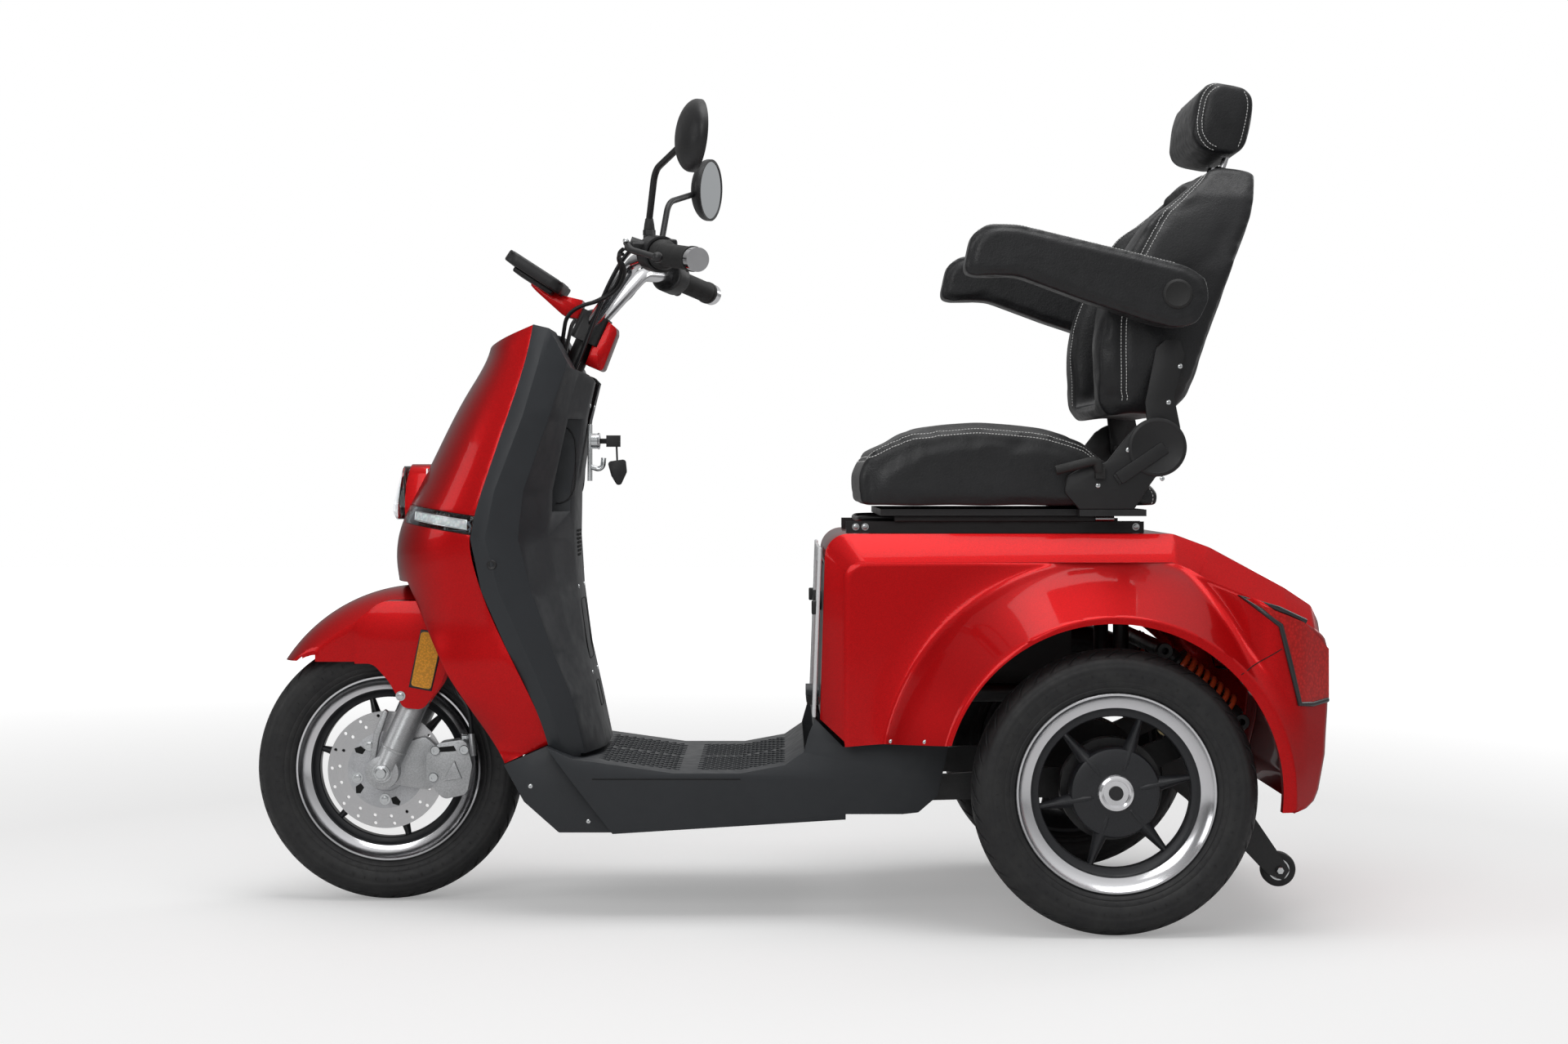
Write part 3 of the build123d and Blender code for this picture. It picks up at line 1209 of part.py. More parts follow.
def mirrors():
    """Mirror heads on bent arms that rise from the handlebar."""
    shells = []
    glasses = []
    for side in SIDES:
        dome = scale(Sphere(1), by=(24, 62, 52))
        dome = dome & Pos(-50, 0, 0) * Box(100, 200, 200)
        head = dome + Rot(0, 90, 0) * extrude(Ellipse(52, 62), amount=5)
        head -= Pos(2, 0, 0) * Rot(0, 90, 0) * extrude(Ellipse(48.05, 58.05), amount=5)
        head = mirror_frame(side) * head
        inner = bar_point(side, "inner")
        foot = inner + (bar_point(side, "shoulder") - inner) * 0.33 + Vector(0, 0, 9)
        arm = tube_path(
            [foot, foot + Vector(0, 0, 46), Vector(*front_3d(422, 902, side * 222)),
             Vector(*front_3d(470, 930, side * 330))], 5, (20, 40),
        )
        collar = rod(foot, foot + Vector(0, 0, 22), 9)
        shells.append(head)
        shells.append((arm - head) + collar - handlebar_tube(BAR_RADIUS + RUNNING_FIT))
        glasses.append(mirror_frame(side) * Pos(2, 0, 0) * Rot(0, 90, 0) * extrude(Ellipse(48, 58), amount=2))
    return shells, glasses


def display():
    """Instrument slab, tilted towards the rider."""
    x, z = front(229, 765)
    slab_body = Box(100, 152, 18)
    slab_body = fillet(slab_body.edges().filter_by(Axis.Z), 20)
    return Pos(x, 0, z) * Rot(0, 33, 0) * slab_body


def display_mount():
    """Red horn that carries the display, and the cover behind the stem."""
    horn = slab([front(206, 762), front(262, 733), front(300, 724), front(298, 694), front(270, 700),
                 front(228, 738)], -26, 26, (4, 10, 0, 0, 20, 20))
    horn -= Pos(*(front(229, 765)[0], 0, front(229, 765)[1])) * Rot(0, 33, 0) * Box(104, 160, 18.4)
    cover = slab([front(332, 698), front(353, 680), front(353, 671), front(331, 613), front(305, 624)],
                 -36, 36, (6, 6, 4, 6, 0))
    cover -= slab([front(320, 702), front(348, 677), front(348, 670), front(328, 619), front(290, 631)], -32, 32)
    clamp_space = extrude(
        Plane(origin=on_axis(CLAMP_LOW - 0.2), x_dir=(0, 1, 0), z_dir=STEER_AXIS) * RectangleRounded(84.4, 46.4, 10),
        amount=CLAMP_HEIGHT + 0.4,
    )
    return [horn - clamp_space, cover - clamp_space]


def steering_group():
    save("fork", fork())
    save("fork_sliders", fork_sliders())
    save("brake_caliper", brake_caliper())
    save("brake_hose", brake_hose())
    save("front_fender", front_fender())
    save("fender_reflectors", *fender_reflectors())
    save("handlebar", handlebar())
    save("grips", *grips())
    save("control_housings", *control_housings())
    save("brake_levers", *brake_levers())
    shells, glasses = mirrors()
    save("mirrors", *shells)
    save("mirror_glass", *glasses)
    save("display", display())
    save("display_mount", *display_mount())


def chassis_group():
    main_frame, rear_frame = frame_halves()
    save("head_tube", head_tube())
    save("main_frame", main_frame)
    save("rear_frame", rear_frame)
    save("rear_axle", rear_axle())
    save("shock_absorbers", *shock_absorbers())
    save("battery_pack", battery_pack())
    front_cowl()
    headlight()
    save("leg_shield", leg_shield())
    save("lower_guard", lower_guard())
    save("floor_board", floor_board())
    save("ignition_lock", ignition_lock())
    save("ignition_key", ignition_key())
    save("rear_body", rear_body())
    for side, name in zip(SIDES, ("left", "right")):
        save(f"rear_fender_{name}", rear_fender(side))
    save("tail_lights", tail_light(-1), tail_light(1))
    save("battery_door", battery_door())
    save("door_latch", door_latch())
    save("door_hinge", hinge_pin())


def main():
    os.makedirs("parts", exist_ok=True)
    chassis_group()
    seat_group()
    steering_group()
    front_wheel()
    rear_wheels()
    anti_tip_wheels()


main()
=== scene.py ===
"""Looks of the electric three-wheel scooter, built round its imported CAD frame."""

import json
import logging
import math
from collections.abc import Callable, Sequence
from dataclasses import dataclass, field
from enum import Enum
from typing import Any

import bmesh
import bpy
from mathutils import Matrix, Vector
from mathutils.bvhtree import BVHTree

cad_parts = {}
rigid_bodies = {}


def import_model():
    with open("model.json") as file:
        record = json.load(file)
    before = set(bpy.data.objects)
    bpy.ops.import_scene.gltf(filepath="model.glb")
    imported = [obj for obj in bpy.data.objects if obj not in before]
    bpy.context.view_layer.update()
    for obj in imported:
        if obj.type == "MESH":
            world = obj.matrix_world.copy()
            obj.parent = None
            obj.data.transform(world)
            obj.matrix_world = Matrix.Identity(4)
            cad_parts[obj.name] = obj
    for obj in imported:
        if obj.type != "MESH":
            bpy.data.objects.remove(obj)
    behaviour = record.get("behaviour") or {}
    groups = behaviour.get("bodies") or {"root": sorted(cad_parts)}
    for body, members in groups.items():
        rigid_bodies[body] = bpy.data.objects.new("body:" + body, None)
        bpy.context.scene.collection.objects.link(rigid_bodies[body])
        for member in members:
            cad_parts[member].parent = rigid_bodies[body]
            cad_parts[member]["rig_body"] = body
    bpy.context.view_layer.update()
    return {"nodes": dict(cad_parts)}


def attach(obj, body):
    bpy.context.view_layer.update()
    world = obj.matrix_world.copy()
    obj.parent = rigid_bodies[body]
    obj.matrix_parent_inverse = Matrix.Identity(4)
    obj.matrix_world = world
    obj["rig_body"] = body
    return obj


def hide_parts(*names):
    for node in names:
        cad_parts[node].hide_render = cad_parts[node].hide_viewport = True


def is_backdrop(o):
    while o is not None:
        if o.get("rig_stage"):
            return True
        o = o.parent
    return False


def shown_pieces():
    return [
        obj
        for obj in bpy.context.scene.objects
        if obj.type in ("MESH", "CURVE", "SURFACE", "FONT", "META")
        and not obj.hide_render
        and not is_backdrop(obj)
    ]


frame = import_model()
log = logging.getLogger("scooter")
Colour = tuple[float, float, float]
Point = tuple[float, float, float]
Piece = bpy.types.Object
Spot = tuple[float, float]
Outline = Sequence[Spot]
Socket = Any

FRONT = Vector((-0.596, 0.0, 0.205))
REAR_X = 0.489
AXLE_Z = 0.205
REAR_TYRE_Y = 0.322
RAKE = math.radians(24.6)
ORIGIN = Vector((0, 0, 0))
UP = Vector((0, 0, 1))
BACKWARD = Vector((1, 0, 0))
STEM = Vector((math.sin(RAKE), 0, math.cos(RAKE)))
UNTURNED: Point = (0.0, 0.0, 0.0)


class Side(Enum):
    """The rider's left and right, as the sign of Y."""

    LEFT = -1
    RIGHT = 1

    @property
    def word(self) -> str:
        """Lower-case name used in piece names."""
        return self.name.lower()

    @property
    def facing(self) -> Point:
        """Turn that makes a unit drawn towards -Y face outwards on this side."""
        return (0.0, 0.0, 0.0 if self is Side.LEFT else math.pi)


class Body(Enum):
    """Rigid bodies of the frame that pieces ride on."""

    CHASSIS = "chassis"
    SEAT = "seat"
    BACK = "backrest"
    STEERING = "steering"
    FRONT_WHEEL = "front_wheel"


def front(dx: float, dz: float, y: float = 0.0) -> Vector:
    """Point given in millimetres from the front axle.

    Args:
        dx: distance behind the axle.
        dz: height above the axle.
        y: distance to the rider's right.

    Returns:
        The point in metres.
    """
    return FRONT + Vector((dx, y, dz)) / 1000


def rear(dx: float, dz: float, y: float = 0.0) -> Vector:
    """Point given in millimetres from the middle of the rear axle.

    Args:
        dx: distance behind the axle.
        dz: height above the axle.
        y: distance to the rider's right.

    Returns:
        The point in metres.
    """
    return Vector((REAR_X, 0, AXLE_Z)) + Vector((dx, y, dz)) / 1000


# ---------------------------------------------------------------- finishes
class Nodes:
    """Short calls that add and link the nodes of one tree."""

    def __init__(self, tree: bpy.types.NodeTree) -> None:
        """Keeps the tree."""
        self.tree = tree

    def node(self, kind: str, **settings: Any) -> bpy.types.Node:
        """Adds a node.

        Args:
            kind: node type name.
            **settings: attributes set on it.

        Returns:
            The new node.
        """
        made = self.tree.nodes.new(kind)
        for key, value in settings.items():
            setattr(made, key, value)
        return made

    def join(self, source: Socket, target: Socket) -> None:
        """Links one socket to another."""
        self.tree.links.new(source, target)

    def maths(self, kind: str, first: Socket, second: Socket | float) -> Socket:
        """Result of a two-input Math node.

        Args:
            kind: the operation.
            first: its first input.
            second: its second input, a socket or a constant.

        Returns:
            The result.
        """
        made = self.node("ShaderNodeMath", operation=kind)
        self.join(first, made.inputs[0])
        if isinstance(second, (int, float)):
            made.inputs[1].default_value = second
        else:
            self.join(second, made.inputs[1])
        return made.outputs[0]

    def spread(self, value: Socket, low: float, high: float, out_low: float, out_high: float) -> Socket:
        """Maps one range of a value onto another, clamped.

        Args:
            value: the value.
            low: where its range starts.
            high: where its range ends.
            out_low: what the start becomes.
            out_high: what the end becomes.

        Returns:
            The mapped value.
        """
        made = self.node("ShaderNodeMapRange")
        for index, number in enumerate((low, high, out_low, out_high), start=1):
            made.inputs[index].default_value = number
        self.join(value, made.inputs[0])
        return made.outputs[0]


class Shade(Nodes):
    """A material's node tree with short calls for the nodes the finishes share."""

    def __init__(self, name: str) -> None:
        """Starts a material holding one Principled shader.

        Args:
            name: name of the material.
        """
        self.material = bpy.data.materials.new(name)
        self.material.use_nodes = True
        super().__init__(self.material.node_tree)
        self.shader = self.tree.nodes["Principled BSDF"]
        self.place = self.node("ShaderNodeTexCoord").outputs["Object"]

    def plain(self, **values: Any) -> None:
        """Sets constants on the shader; underscores in the keys stand for spaces.

        Args:
            **values: the sockets' names and values.
        """
        for key, value in values.items():
            label = key.replace("_", " ").title().replace("Ior", "IOR")
            target = self.shader.inputs[label]
            target.default_value = (*value, 1.0) if target.type == "RGBA" else value

    def moved(self, offset: Point = (0, 0, 0), scale: Point = (1, 1, 1), turn: Point = (0, 0, 0)) -> Socket:
        """Object coordinates after a Mapping node.

        Args:
            offset: added to the coordinates.
            scale: multiplies them.
            turn: rotation in radians.

        Returns:
            The mapped vector.
        """
        mapping = self.node("ShaderNodeMapping")
        mapping.inputs["Location"].default_value = offset
        mapping.inputs["Rotation"].default_value = turn
        mapping.inputs["Scale"].default_value = scale
        self.join(self.place, mapping.inputs["Vector"])
        return mapping.outputs["Vector"]

    def noise(self, size: float, detail: float = 3.0, where: Socket | None = None) -> Socket:
        """Noise factor with features of a given size in metres.

        Args:
            size: size of its features, in metres.
            detail: number of finer layers.
            where: coordinates, or None for the object's own.

        Returns:
            The factor.
        """
        made = self.node("ShaderNodeTexNoise")
        made.inputs["Scale"].default_value = 1.0 / size
        made.inputs["Detail"].default_value = detail
        self.join(where or self.place, made.inputs["Vector"])
        return made.outputs["Fac"]

    def cells(self, size: float, output: str = "Distance", feature: str = "F1",
              where: Socket | None = None) -> Socket:
        """Voronoi cells of a given size in metres.

        Args:
            size: size of a cell, in metres.
            output: which output is wanted.
            feature: what the texture measures.
            where: coordinates, or None for the object's own.

        Returns:
            That output.
        """
        made = self.node("ShaderNodeTexVoronoi", feature=feature)
        made.inputs["Scale"].default_value = 1.0 / size
        self.join(where or self.place, made.inputs["Vector"])
        return made.outputs[output]

    def blend(self, amount: Socket, first: Colour, second: Colour) -> Socket:
        """Colour between two, by a factor.

        Args:
            amount: the factor.
            first: the colour at 0.
            second: the colour at 1.

        Returns:
            The mixed colour.
        """
        made = self.node("ShaderNodeMix", data_type="RGBA")
        made.inputs[6].default_value = (*first, 1.0)
        made.inputs[7].default_value = (*second, 1.0)
        self.join(amount, made.inputs[0])
        return made.outputs[2]

    def colour(self, value: Socket) -> None:
        """Links the base colour."""
        self.join(value, self.shader.inputs["Base Color"])

    def rough(self, value: Socket, low: float, high: float) -> None:
        """Varies the roughness between two limits."""
        self.join(self.spread(value, 0.3, 0.7, low, high), self.shader.inputs["Roughness"])

    def bump(self, height: Socket, depth: float, strength: float = 1.0, over: Socket | None = None) -> Socket:
        """Adds a bump of a depth in metres and links it as the normal.

        Args:
            height: the height.
            depth: what a height of 1 stands for, in metres.
            strength: how much it shows.
            over: a normal that it adds to.

        Returns:
            The new normal.
        """
        made = self.node("ShaderNodeBump")
        made.inputs["Strength"].default_value = strength
        made.inputs["Distance"].default_value = depth
        self.join(height, made.inputs["Height"])
        if over is not None:
            self.join(over, made.inputs["Normal"])
        self.join(made.outputs[0], self.shader.inputs["Normal"])
        return made.outputs[0]

    def reach(self, centre: Vector) -> Socket:
        """Distance from a line through a point along Y, in metres.

        Args:
            centre: a point on the line.

        Returns:
            The distance.
        """
        where = self.moved(offset=tuple(-value for value in centre))
        split = self.node("ShaderNodeSeparateXYZ")
        self.join(where, split.inputs[0])
        both = self.node("ShaderNodeCombineXYZ")
        self.join(split.outputs["X"], both.inputs["X"])
        self.join(split.outputs["Z"], both.inputs["Z"])
        length = self.node("ShaderNodeVectorMath", operation="LENGTH")
        self.join(both.outputs[0], length.inputs[0])
        return length.outputs["Value"]


_dressed: dict[str, bpy.types.Material] = {}


@dataclass(frozen=True)
class Finish:
    """A surface finish; each kind below lays out its own nodes."""

    name: str

    def lay(self, shade: Shade) -> None:
        """Fills the node tree; the kinds override this."""

    def material(self) -> bpy.types.Material:
        """The finish's material, made once.

        Returns:
            The material.
        """
        if self.name not in _dressed:
            shade = Shade(self.name)
            self.lay(shade)
            _dressed[self.name] = shade.material
        return _dressed[self.name]


@dataclass(frozen=True)
class CandyPaint(Finish):
    """Metal-flake red under a clear coat, with painted shade that darkens it where it is seen edge on."""

    face: Colour = (0.60, 0.004, 0.006)
    # painted shade: the dark red the paint is blended to where it is seen edge on
    edge: Colour = (0.10, 0.001, 0.002)

    def lay(self, shade: Shade) -> None:
        """Lays flakes, painted shade towards glancing angles and a slightly uneven coat.

        Args:
            shade: the material's nodes.
        """
        # painted shade: the colour darkens towards glancing angles
        facing = shade.node("ShaderNodeLayerWeight")
        facing.inputs["Blend"].default_value = 0.42
        tint = shade.blend(shade.spread(facing.outputs["Facing"], 0.15, 0.95, 0, 1), self.face, self.edge)
        flake = shade.cells(0.0009, "Color")
        grey = shade.node("ShaderNodeSeparateColor")
        shade.join(flake, grey.inputs[0])
        spark = shade.node("ShaderNodeMix", data_type="RGBA", blend_type="MULTIPLY")
        spark.inputs[0].default_value = 1.0
        shade.join(tint, spark.inputs[6])
        shade.join(shade.spread(grey.outputs[0], 0, 1, 0.86, 1.12), spark.inputs[7])
        shade.colour(spark.outputs[2])
        shade.plain(metallic=0.5, roughness=0.36, specular_ior_level=0.12, coat_weight=0.36,
                    coat_roughness=0.05, coat_ior=1.4)
        wave = shade.bump(shade.noise(0.16, 1.0), 0.0006, 0.12)
        shade.bump(shade.cells(0.0009), 0.00002, 0.35, over=wave)


@dataclass(frozen=True)
class MouldedPlastic(Finish):
    """Moulded plastic with a fine spark-eroded texture and rubbed high spots."""

    base: Colour = (0.035, 0.036, 0.038)
    roughness: float = 0.5
    grain: float = 0.0009
    depth: float = 0.00012

    def lay(self, shade: Shade) -> None:
        """Lays the grain, faint cloudiness and an uneven sheen.

        Args:
            shade: the material's nodes.
        """
        cloud = shade.noise(0.11, 4.0)
        low = tuple(value * 0.95 for value in self.base)
        high = tuple(value * 1.06 for value in self.base)
        shade.colour(shade.blend(shade.spread(cloud, 0.35, 0.65, 0, 1), low, high))
        shade.rough(shade.noise(0.02, 5.0), self.roughness - 0.07, self.roughness + 0.07)
        shade.bump(shade.cells(self.grain, feature="SMOOTH_F1"), self.depth, 0.5)
        shade.plain(specular_ior_level=0.42)


@dataclass(frozen=True)
class GlossPlastic(Finish):
    """Smooth gloss moulding with faint swirl marks."""

    base: Colour = (0.02, 0.02, 0.022)
    roughness: float = 0.16

    def lay(self, shade: Shade) -> None:
        """Lays a gloss with a slow ripple.

        Args:
            shade: the material's nodes.
        """
        shade.colour(shade.blend(shade.noise(0.07), self.base, tuple(v * 1.2 for v in self.base)))
        shade.rough(shade.noise(0.004, 4.0), self.roughness * 0.8, self.roughness * 1.25)
        shade.bump(shade.noise(0.05, 1.0), 0.0003, 0.15)


@dataclass(frozen=True)
class GrainedLeather(Finish):
    """Coated upholstery with pebbled grain, fine creases and worn crowns."""

    base: Colour = (0.0085, 0.0088, 0.0098)

    def lay(self, shade: Shade) -> None:
        """Lays two sizes of grain, creases and a sheen that varies.

        Args:
            shade: the material's nodes.
        """
        cloud = shade.noise(0.06, 5.0)
        shade.colour(shade.blend(shade.spread(cloud, 0.3, 0.7, 0, 1), self.base,
                                 tuple(v * 1.5 + 0.001 for v in self.base)))
        shade.rough(shade.noise(0.012, 5.0), 0.36, 0.5)
        shade.plain(specular_ior_level=0.42, sheen_weight=0.02, sheen_roughness=0.5)
        pebble = shade.cells(0.0022, feature="SMOOTH_F1")
        crease = shade.maths("ADD", pebble, shade.spread(shade.noise(0.0045, 6.0), 0.3, 0.7, 0, 0.6))
        fine = shade.bump(crease, 0.00035, 0.55)
        shade.bump(shade.noise(0.035, 3.0), 0.0022, 0.22, over=fine)


@dataclass(frozen=True)
class Polished(Finish):
    """Bright plated metal with smudges."""

    base: Colour = (0.80, 0.80, 0.82)
    roughness: float = 0.08

    def lay(self, shade: Shade) -> None:
        """Lays the plating and faint handling marks.

        Args:
            shade: the material's nodes.
        """
        shade.colour(shade.blend(shade.noise(0.03, 4.0), self.base, tuple(v * 0.93 for v in self.base)))
        shade.rough(shade.noise(0.014, 6.0), self.roughness, self.roughness + 0.10)
        shade.plain(metallic=1.0)
        shade.bump(shade.noise(0.02, 2.0), 0.0002, 0.12)


@dataclass(frozen=True)
class TurnedMetal(Finish):
    """Metal with fine circular tool marks round an axle."""

    centre: Point = (0, 0, 0)
    base: Colour = (0.62, 0.62, 0.63)
    roughness: float = 0.24

    def lay(self, shade: Shade) -> None:
        """Lays rings whose spacing follows the distance from the axle, lighter on their ridges and darker in
        their grooves as painted sheen and shade.

        Args:
            shade: the material's nodes.
        """
        ring = shade.reach(Vector(self.centre))
        line = shade.node("ShaderNodeTexNoise", noise_dimensions="1D")
        line.inputs["Scale"].default_value = 1.0
        line.inputs["Detail"].default_value = 4.0
        shade.join(shade.maths("MULTIPLY", ring, 2600.0), line.inputs["W"])
        marks = line.outputs["Fac"]
        # painted sheen and shade: the rings' colour follows their bump, lighter on ridges and darker in
        # grooves
        low, high = tuple(v * 0.84 for v in self.base), tuple(v * 1.12 for v in self.base)
        shade.colour(shade.blend(marks, low, high))
        shade.rough(marks, self.roughness, self.roughness + 0.16)
        shade.plain(metallic=1.0)
        shade.bump(marks, 0.00006, 0.4)


@dataclass(frozen=True)
class CastMetal(Finish):
    """Sand-cast metal under silver paint, or any rough painted metal."""

    base: Colour = (0.50, 0.51, 0.52)
    metallic: float = 0.75
    roughness: float = 0.40
    grain: float = 0.0016

    def lay(self, shade: Shade) -> None:
        """Lays a pitted skin, its colour darker in the hollows as painted shade and in random patches.

        Args:
            shade: the material's nodes.
        """
        pits = shade.noise(self.grain, 5.0)
        cloud = shade.noise(0.03, 4.0)
        # painted shade: the colour darkens where the pits' bump is low, in random patches from the cloud
        both = shade.maths("MULTIPLY", pits, shade.spread(cloud, 0.3, 0.7, 0.8, 1.2))
        shade.colour(shade.blend(shade.spread(both, 0.25, 0.7, 0, 1), tuple(v * 0.72 for v in self.base),
                                 tuple(v * 1.12 for v in self.base)))
        shade.rough(cloud, self.roughness - 0.06, self.roughness + 0.12)
        shade.plain(metallic=self.metallic)
        shade.bump(pits, 0.00025, 0.55)


@dataclass(frozen=True)
class TyreRubber(Finish):
    """Black tyre rubber with dust in the low places and fine mould lines."""

    base: Colour = (0.0105, 0.0105, 0.0115)

    def lay(self, shade: Shade) -> None:
        """Lays dusty patches, a fine tooth and a dull sheen.

        Args:
            shade: the material's nodes.
        """
        dust = shade.spread(shade.noise(0.03, 6.0), 0.42, 0.72, 0, 1)
        shade.colour(shade.blend(dust, self.base, (0.020, 0.020, 0.020)))
        shade.rough(shade.noise(0.008, 5.0), 0.48, 0.64)
        shade.bump(shade.noise(0.0011, 4.0), 0.00018, 0.6)
        shade.plain(specular_ior_level=0.45)


@dataclass(frozen=True)
class ClearLens(Finish):
    """Clear moulded lens with optic flutes inside."""

    tint: Colour = (0.96, 0.98, 1.0)
    flute: float = 0.006
    roughness: float = 0.03

    def lay(self, shade: Shade) -> None:
        """Lays clear plastic with upright flutes.

        Args:
            shade: the material's nodes.
        """
        wave = shade.node("ShaderNodeTexWave", wave_type="BANDS", bands_direction="Y")
        wave.inputs["Scale"].default_value = 0.3142 / self.flute
        shade.join(shade.place, wave.inputs["Vector"])
        shade.bump(wave.outputs["Fac"], 0.0005, 0.35)
        shade.plain(base_color=self.tint, transmission_weight=1.0, roughness=self.roughness, ior=1.35)


@dataclass(frozen=True)
class LampPlastic(Finish):
    """Coloured lamp plastic over prisms that catch the light."""

    base: Colour = (0.60, 0.006, 0.008)
    prism: float = 0.003
    depth: float = 0.0003
    glow: float = 0.12

    def lay(self, shade: Shade) -> None:
        """Lays a prism pattern that brightens and darkens the colour as painted glints and shade.

        Args:
            shade: the material's nodes.
        """
        prisms = shade.cells(self.prism, feature="F1", where=shade.moved(turn=(0.5, 0.6, 0.2)))
        # painted glints and shade: each prism is lighter or darker by the same pattern as its bump
        light, dark = tuple(min(1, v * 1.25) for v in self.base), tuple(v * 0.8 for v in self.base)
        shade.colour(shade.blend(shade.spread(prisms, 0.0, 0.7, 0, 1), light, dark))
        shade.bump(prisms, self.depth, 0.28)
        shade.plain(roughness=0.22, specular_ior_level=0.2, coat_weight=0.35, coat_roughness=0.02,
                    subsurface_weight=self.glow, subsurface_scale=0.004, subsurface_radius=(1.0, 0.3, 0.2))


@dataclass(frozen=True)
class MirrorGlass(Finish):
    """Silvered glass, faintly blue."""

    def lay(self, shade: Shade) -> None:
        """Lays a mirror with a trace of waviness.

        Args:
            shade: the material's nodes.
        """
        shade.colour(shade.blend(shade.noise(0.2), (0.80, 0.84, 0.87), (0.84, 0.87, 0.89)))
        shade.rough(shade.noise(0.02), 0.01, 0.03)
        shade.plain(metallic=1.0)
        shade.bump(shade.noise(0.12, 1.0), 0.0002, 0.05)


@dataclass(frozen=True)
class Thread(Finish):
    """Twisted sewing thread."""

    base: Colour = (0.78, 0.77, 0.74)

    def lay(self, shade: Shade) -> None:
        """Lays a twist along the thread, with painted shade in its grooves, and a soft sheen.

        Args:
            shade: the material's nodes.
        """
        wave = shade.node("ShaderNodeTexWave", wave_type="BANDS", bands_direction="DIAGONAL")
        wave.inputs["Scale"].default_value = 420.0
        shade.join(shade.place, wave.inputs["Vector"])
        # painted shade: the thread darkens in the twist's grooves, where the bump is low
        shade.colour(shade.blend(wave.outputs["Fac"], tuple(v * 0.72 for v in self.base), self.base))
        shade.bump(wave.outputs["Fac"], 0.0003, 0.6)
        shade.plain(roughness=0.75, sheen_weight=0.2)


RED = CandyPaint("candy_red")
GREY = MouldedPlastic("charcoal_plastic", (0.024, 0.027, 0.031), 0.46, 0.0010)
BLACK = MouldedPlastic("black_plastic", (0.014, 0.014, 0.015), 0.44, 0.0008)
GLOSS = GlossPlastic("gloss_black")
SCREEN = GlossPlastic("screen_glass", (0.006, 0.007, 0.009), 0.05)
LEATHER = GrainedLeather("seat_leather")
CHROME = Polished("chrome")
ZINC = Polished("zinc_plate", (0.66, 0.68, 0.69), 0.18)
BRASS = Polished("yellow_zinc", (0.62, 0.50, 0.26), 0.26)
CAST = CastMetal("cast_silver")
SATIN = CastMetal("satin_black_paint", (0.014, 0.014, 0.015), 0.0, 0.38, 0.004)
WHEEL_BLACK = CastMetal("wheel_black_paint", (0.016, 0.017, 0.020), 0.1, 0.40, 0.002)
RUBBER = TyreRubber("tyre_rubber")
GRIP = MouldedPlastic("grip_rubber", (0.018, 0.018, 0.018), 0.6, 0.0006)
SPRING = CastMetal("spring_orange", (0.60, 0.075, 0.02), 0.0, 0.34, 0.003)
CLEAR = ClearLens("clear_lens")
MILKY = LampPlastic("milky_lens", (0.80, 0.84, 0.86), 0.006, 0.0006, 0.5)
STRIP_COVER = ClearLens("strip_cover", (0.30, 0.33, 0.36), 0.004, 0.06)
# painted reflection: pale silver that is partly trim, partly the bright reflection on the rear body's front
# wall
SILVER_TRIM_AND_REFLECTION = GlossPlastic("pale_silver_trim", (0.72, 0.73, 0.74), 0.28)
LAMP_SILVER = Polished("lamp_silver", (0.86, 0.87, 0.88), 0.10)
TAIL_RED = LampPlastic("tail_red", (0.60, 0.014, 0.012), 0.0045)
AMBER = LampPlastic("amber_reflector", (0.80, 0.34, 0.03), 0.0030, 0.0012)
MIRROR = MirrorGlass("mirror_glass")
THREAD = Thread("white_thread", (0.85, 0.85, 0.84))
# painted shade: flat near-black that stands for the shade inside holes, slots and recesses, also used for
# dark seams
SHADOW_BLACK = MouldedPlastic("shadow_black", (0.004, 0.004, 0.004), 0.8, 0.002)
FRONT_STEEL = TurnedMetal("disc_steel", tuple(FRONT), (0.60, 0.60, 0.61), 0.20)
FRONT_RING = TurnedMetal("front_rim_bright", tuple(FRONT), (0.72, 0.72, 0.74), 0.07)
REAR_RING = TurnedMetal("rear_rim_bright", (REAR_X, 0, AXLE_Z), (0.70, 0.70, 0.72), 0.10)


# ---------------------------------------------------------------- mesh tools
def linked(name: str, data: bpy.types.ID | None) -> Piece:
    """Object for a data block, linked to the scene.

    Args:
        name: the object's name.
        data: its data.

    Returns:
        The object.
    """
    made = bpy.data.objects.new(name, data)
    bpy.context.scene.collection.objects.link(made)
    return made


def shaded(made: Piece, angle: float = 40.0) -> Piece:
    """Shades an object smooth, apart from its sharp edges.

    Args:
        made: the object.
        angle: edges sharper than this stay sharp, in degrees.

    Returns:
        The same object.
    """
    made.data.polygons.foreach_set("use_smooth", [True] * len(made.data.polygons))
    made.data.set_sharp_from_angle(angle=math.radians(angle))
    return made


def put(name: str, mesh: bpy.types.Mesh, *finishes: Finish, smooth: bool = True) -> Piece:
    """Links a mesh as an object at the origin.

    Args:
        name: the piece's name.
        mesh: its mesh, already in the row frame.
        *finishes: one finish per material slot.
        smooth: whether its faces are smooth shaded.

    Returns:
        The new object.
    """
    made = linked(name, mesh)
    if finishes:
        mesh.materials.clear()
        for finish in finishes:
            mesh.materials.append(finish.material())
    mesh.polygons.foreach_set("use_smooth", [smooth] * len(mesh.polygons))
    return made


def mesh_of(name: str, points: Sequence[Sequence[float]], faces: Sequence[Sequence[int]]) -> bpy.types.Mesh:
    """Mesh from points and faces, its normals turned outwards.

    Args:
        name: the mesh's name.
        points: points in metres.
        faces: each face's point numbers.

    Returns:
        The mesh.
    """
    mesh = bpy.data.meshes.new(name)
    mesh.from_pydata([tuple(point) for point in points], [], [tuple(face) for face in faces])
    tidy(mesh)
    return mesh


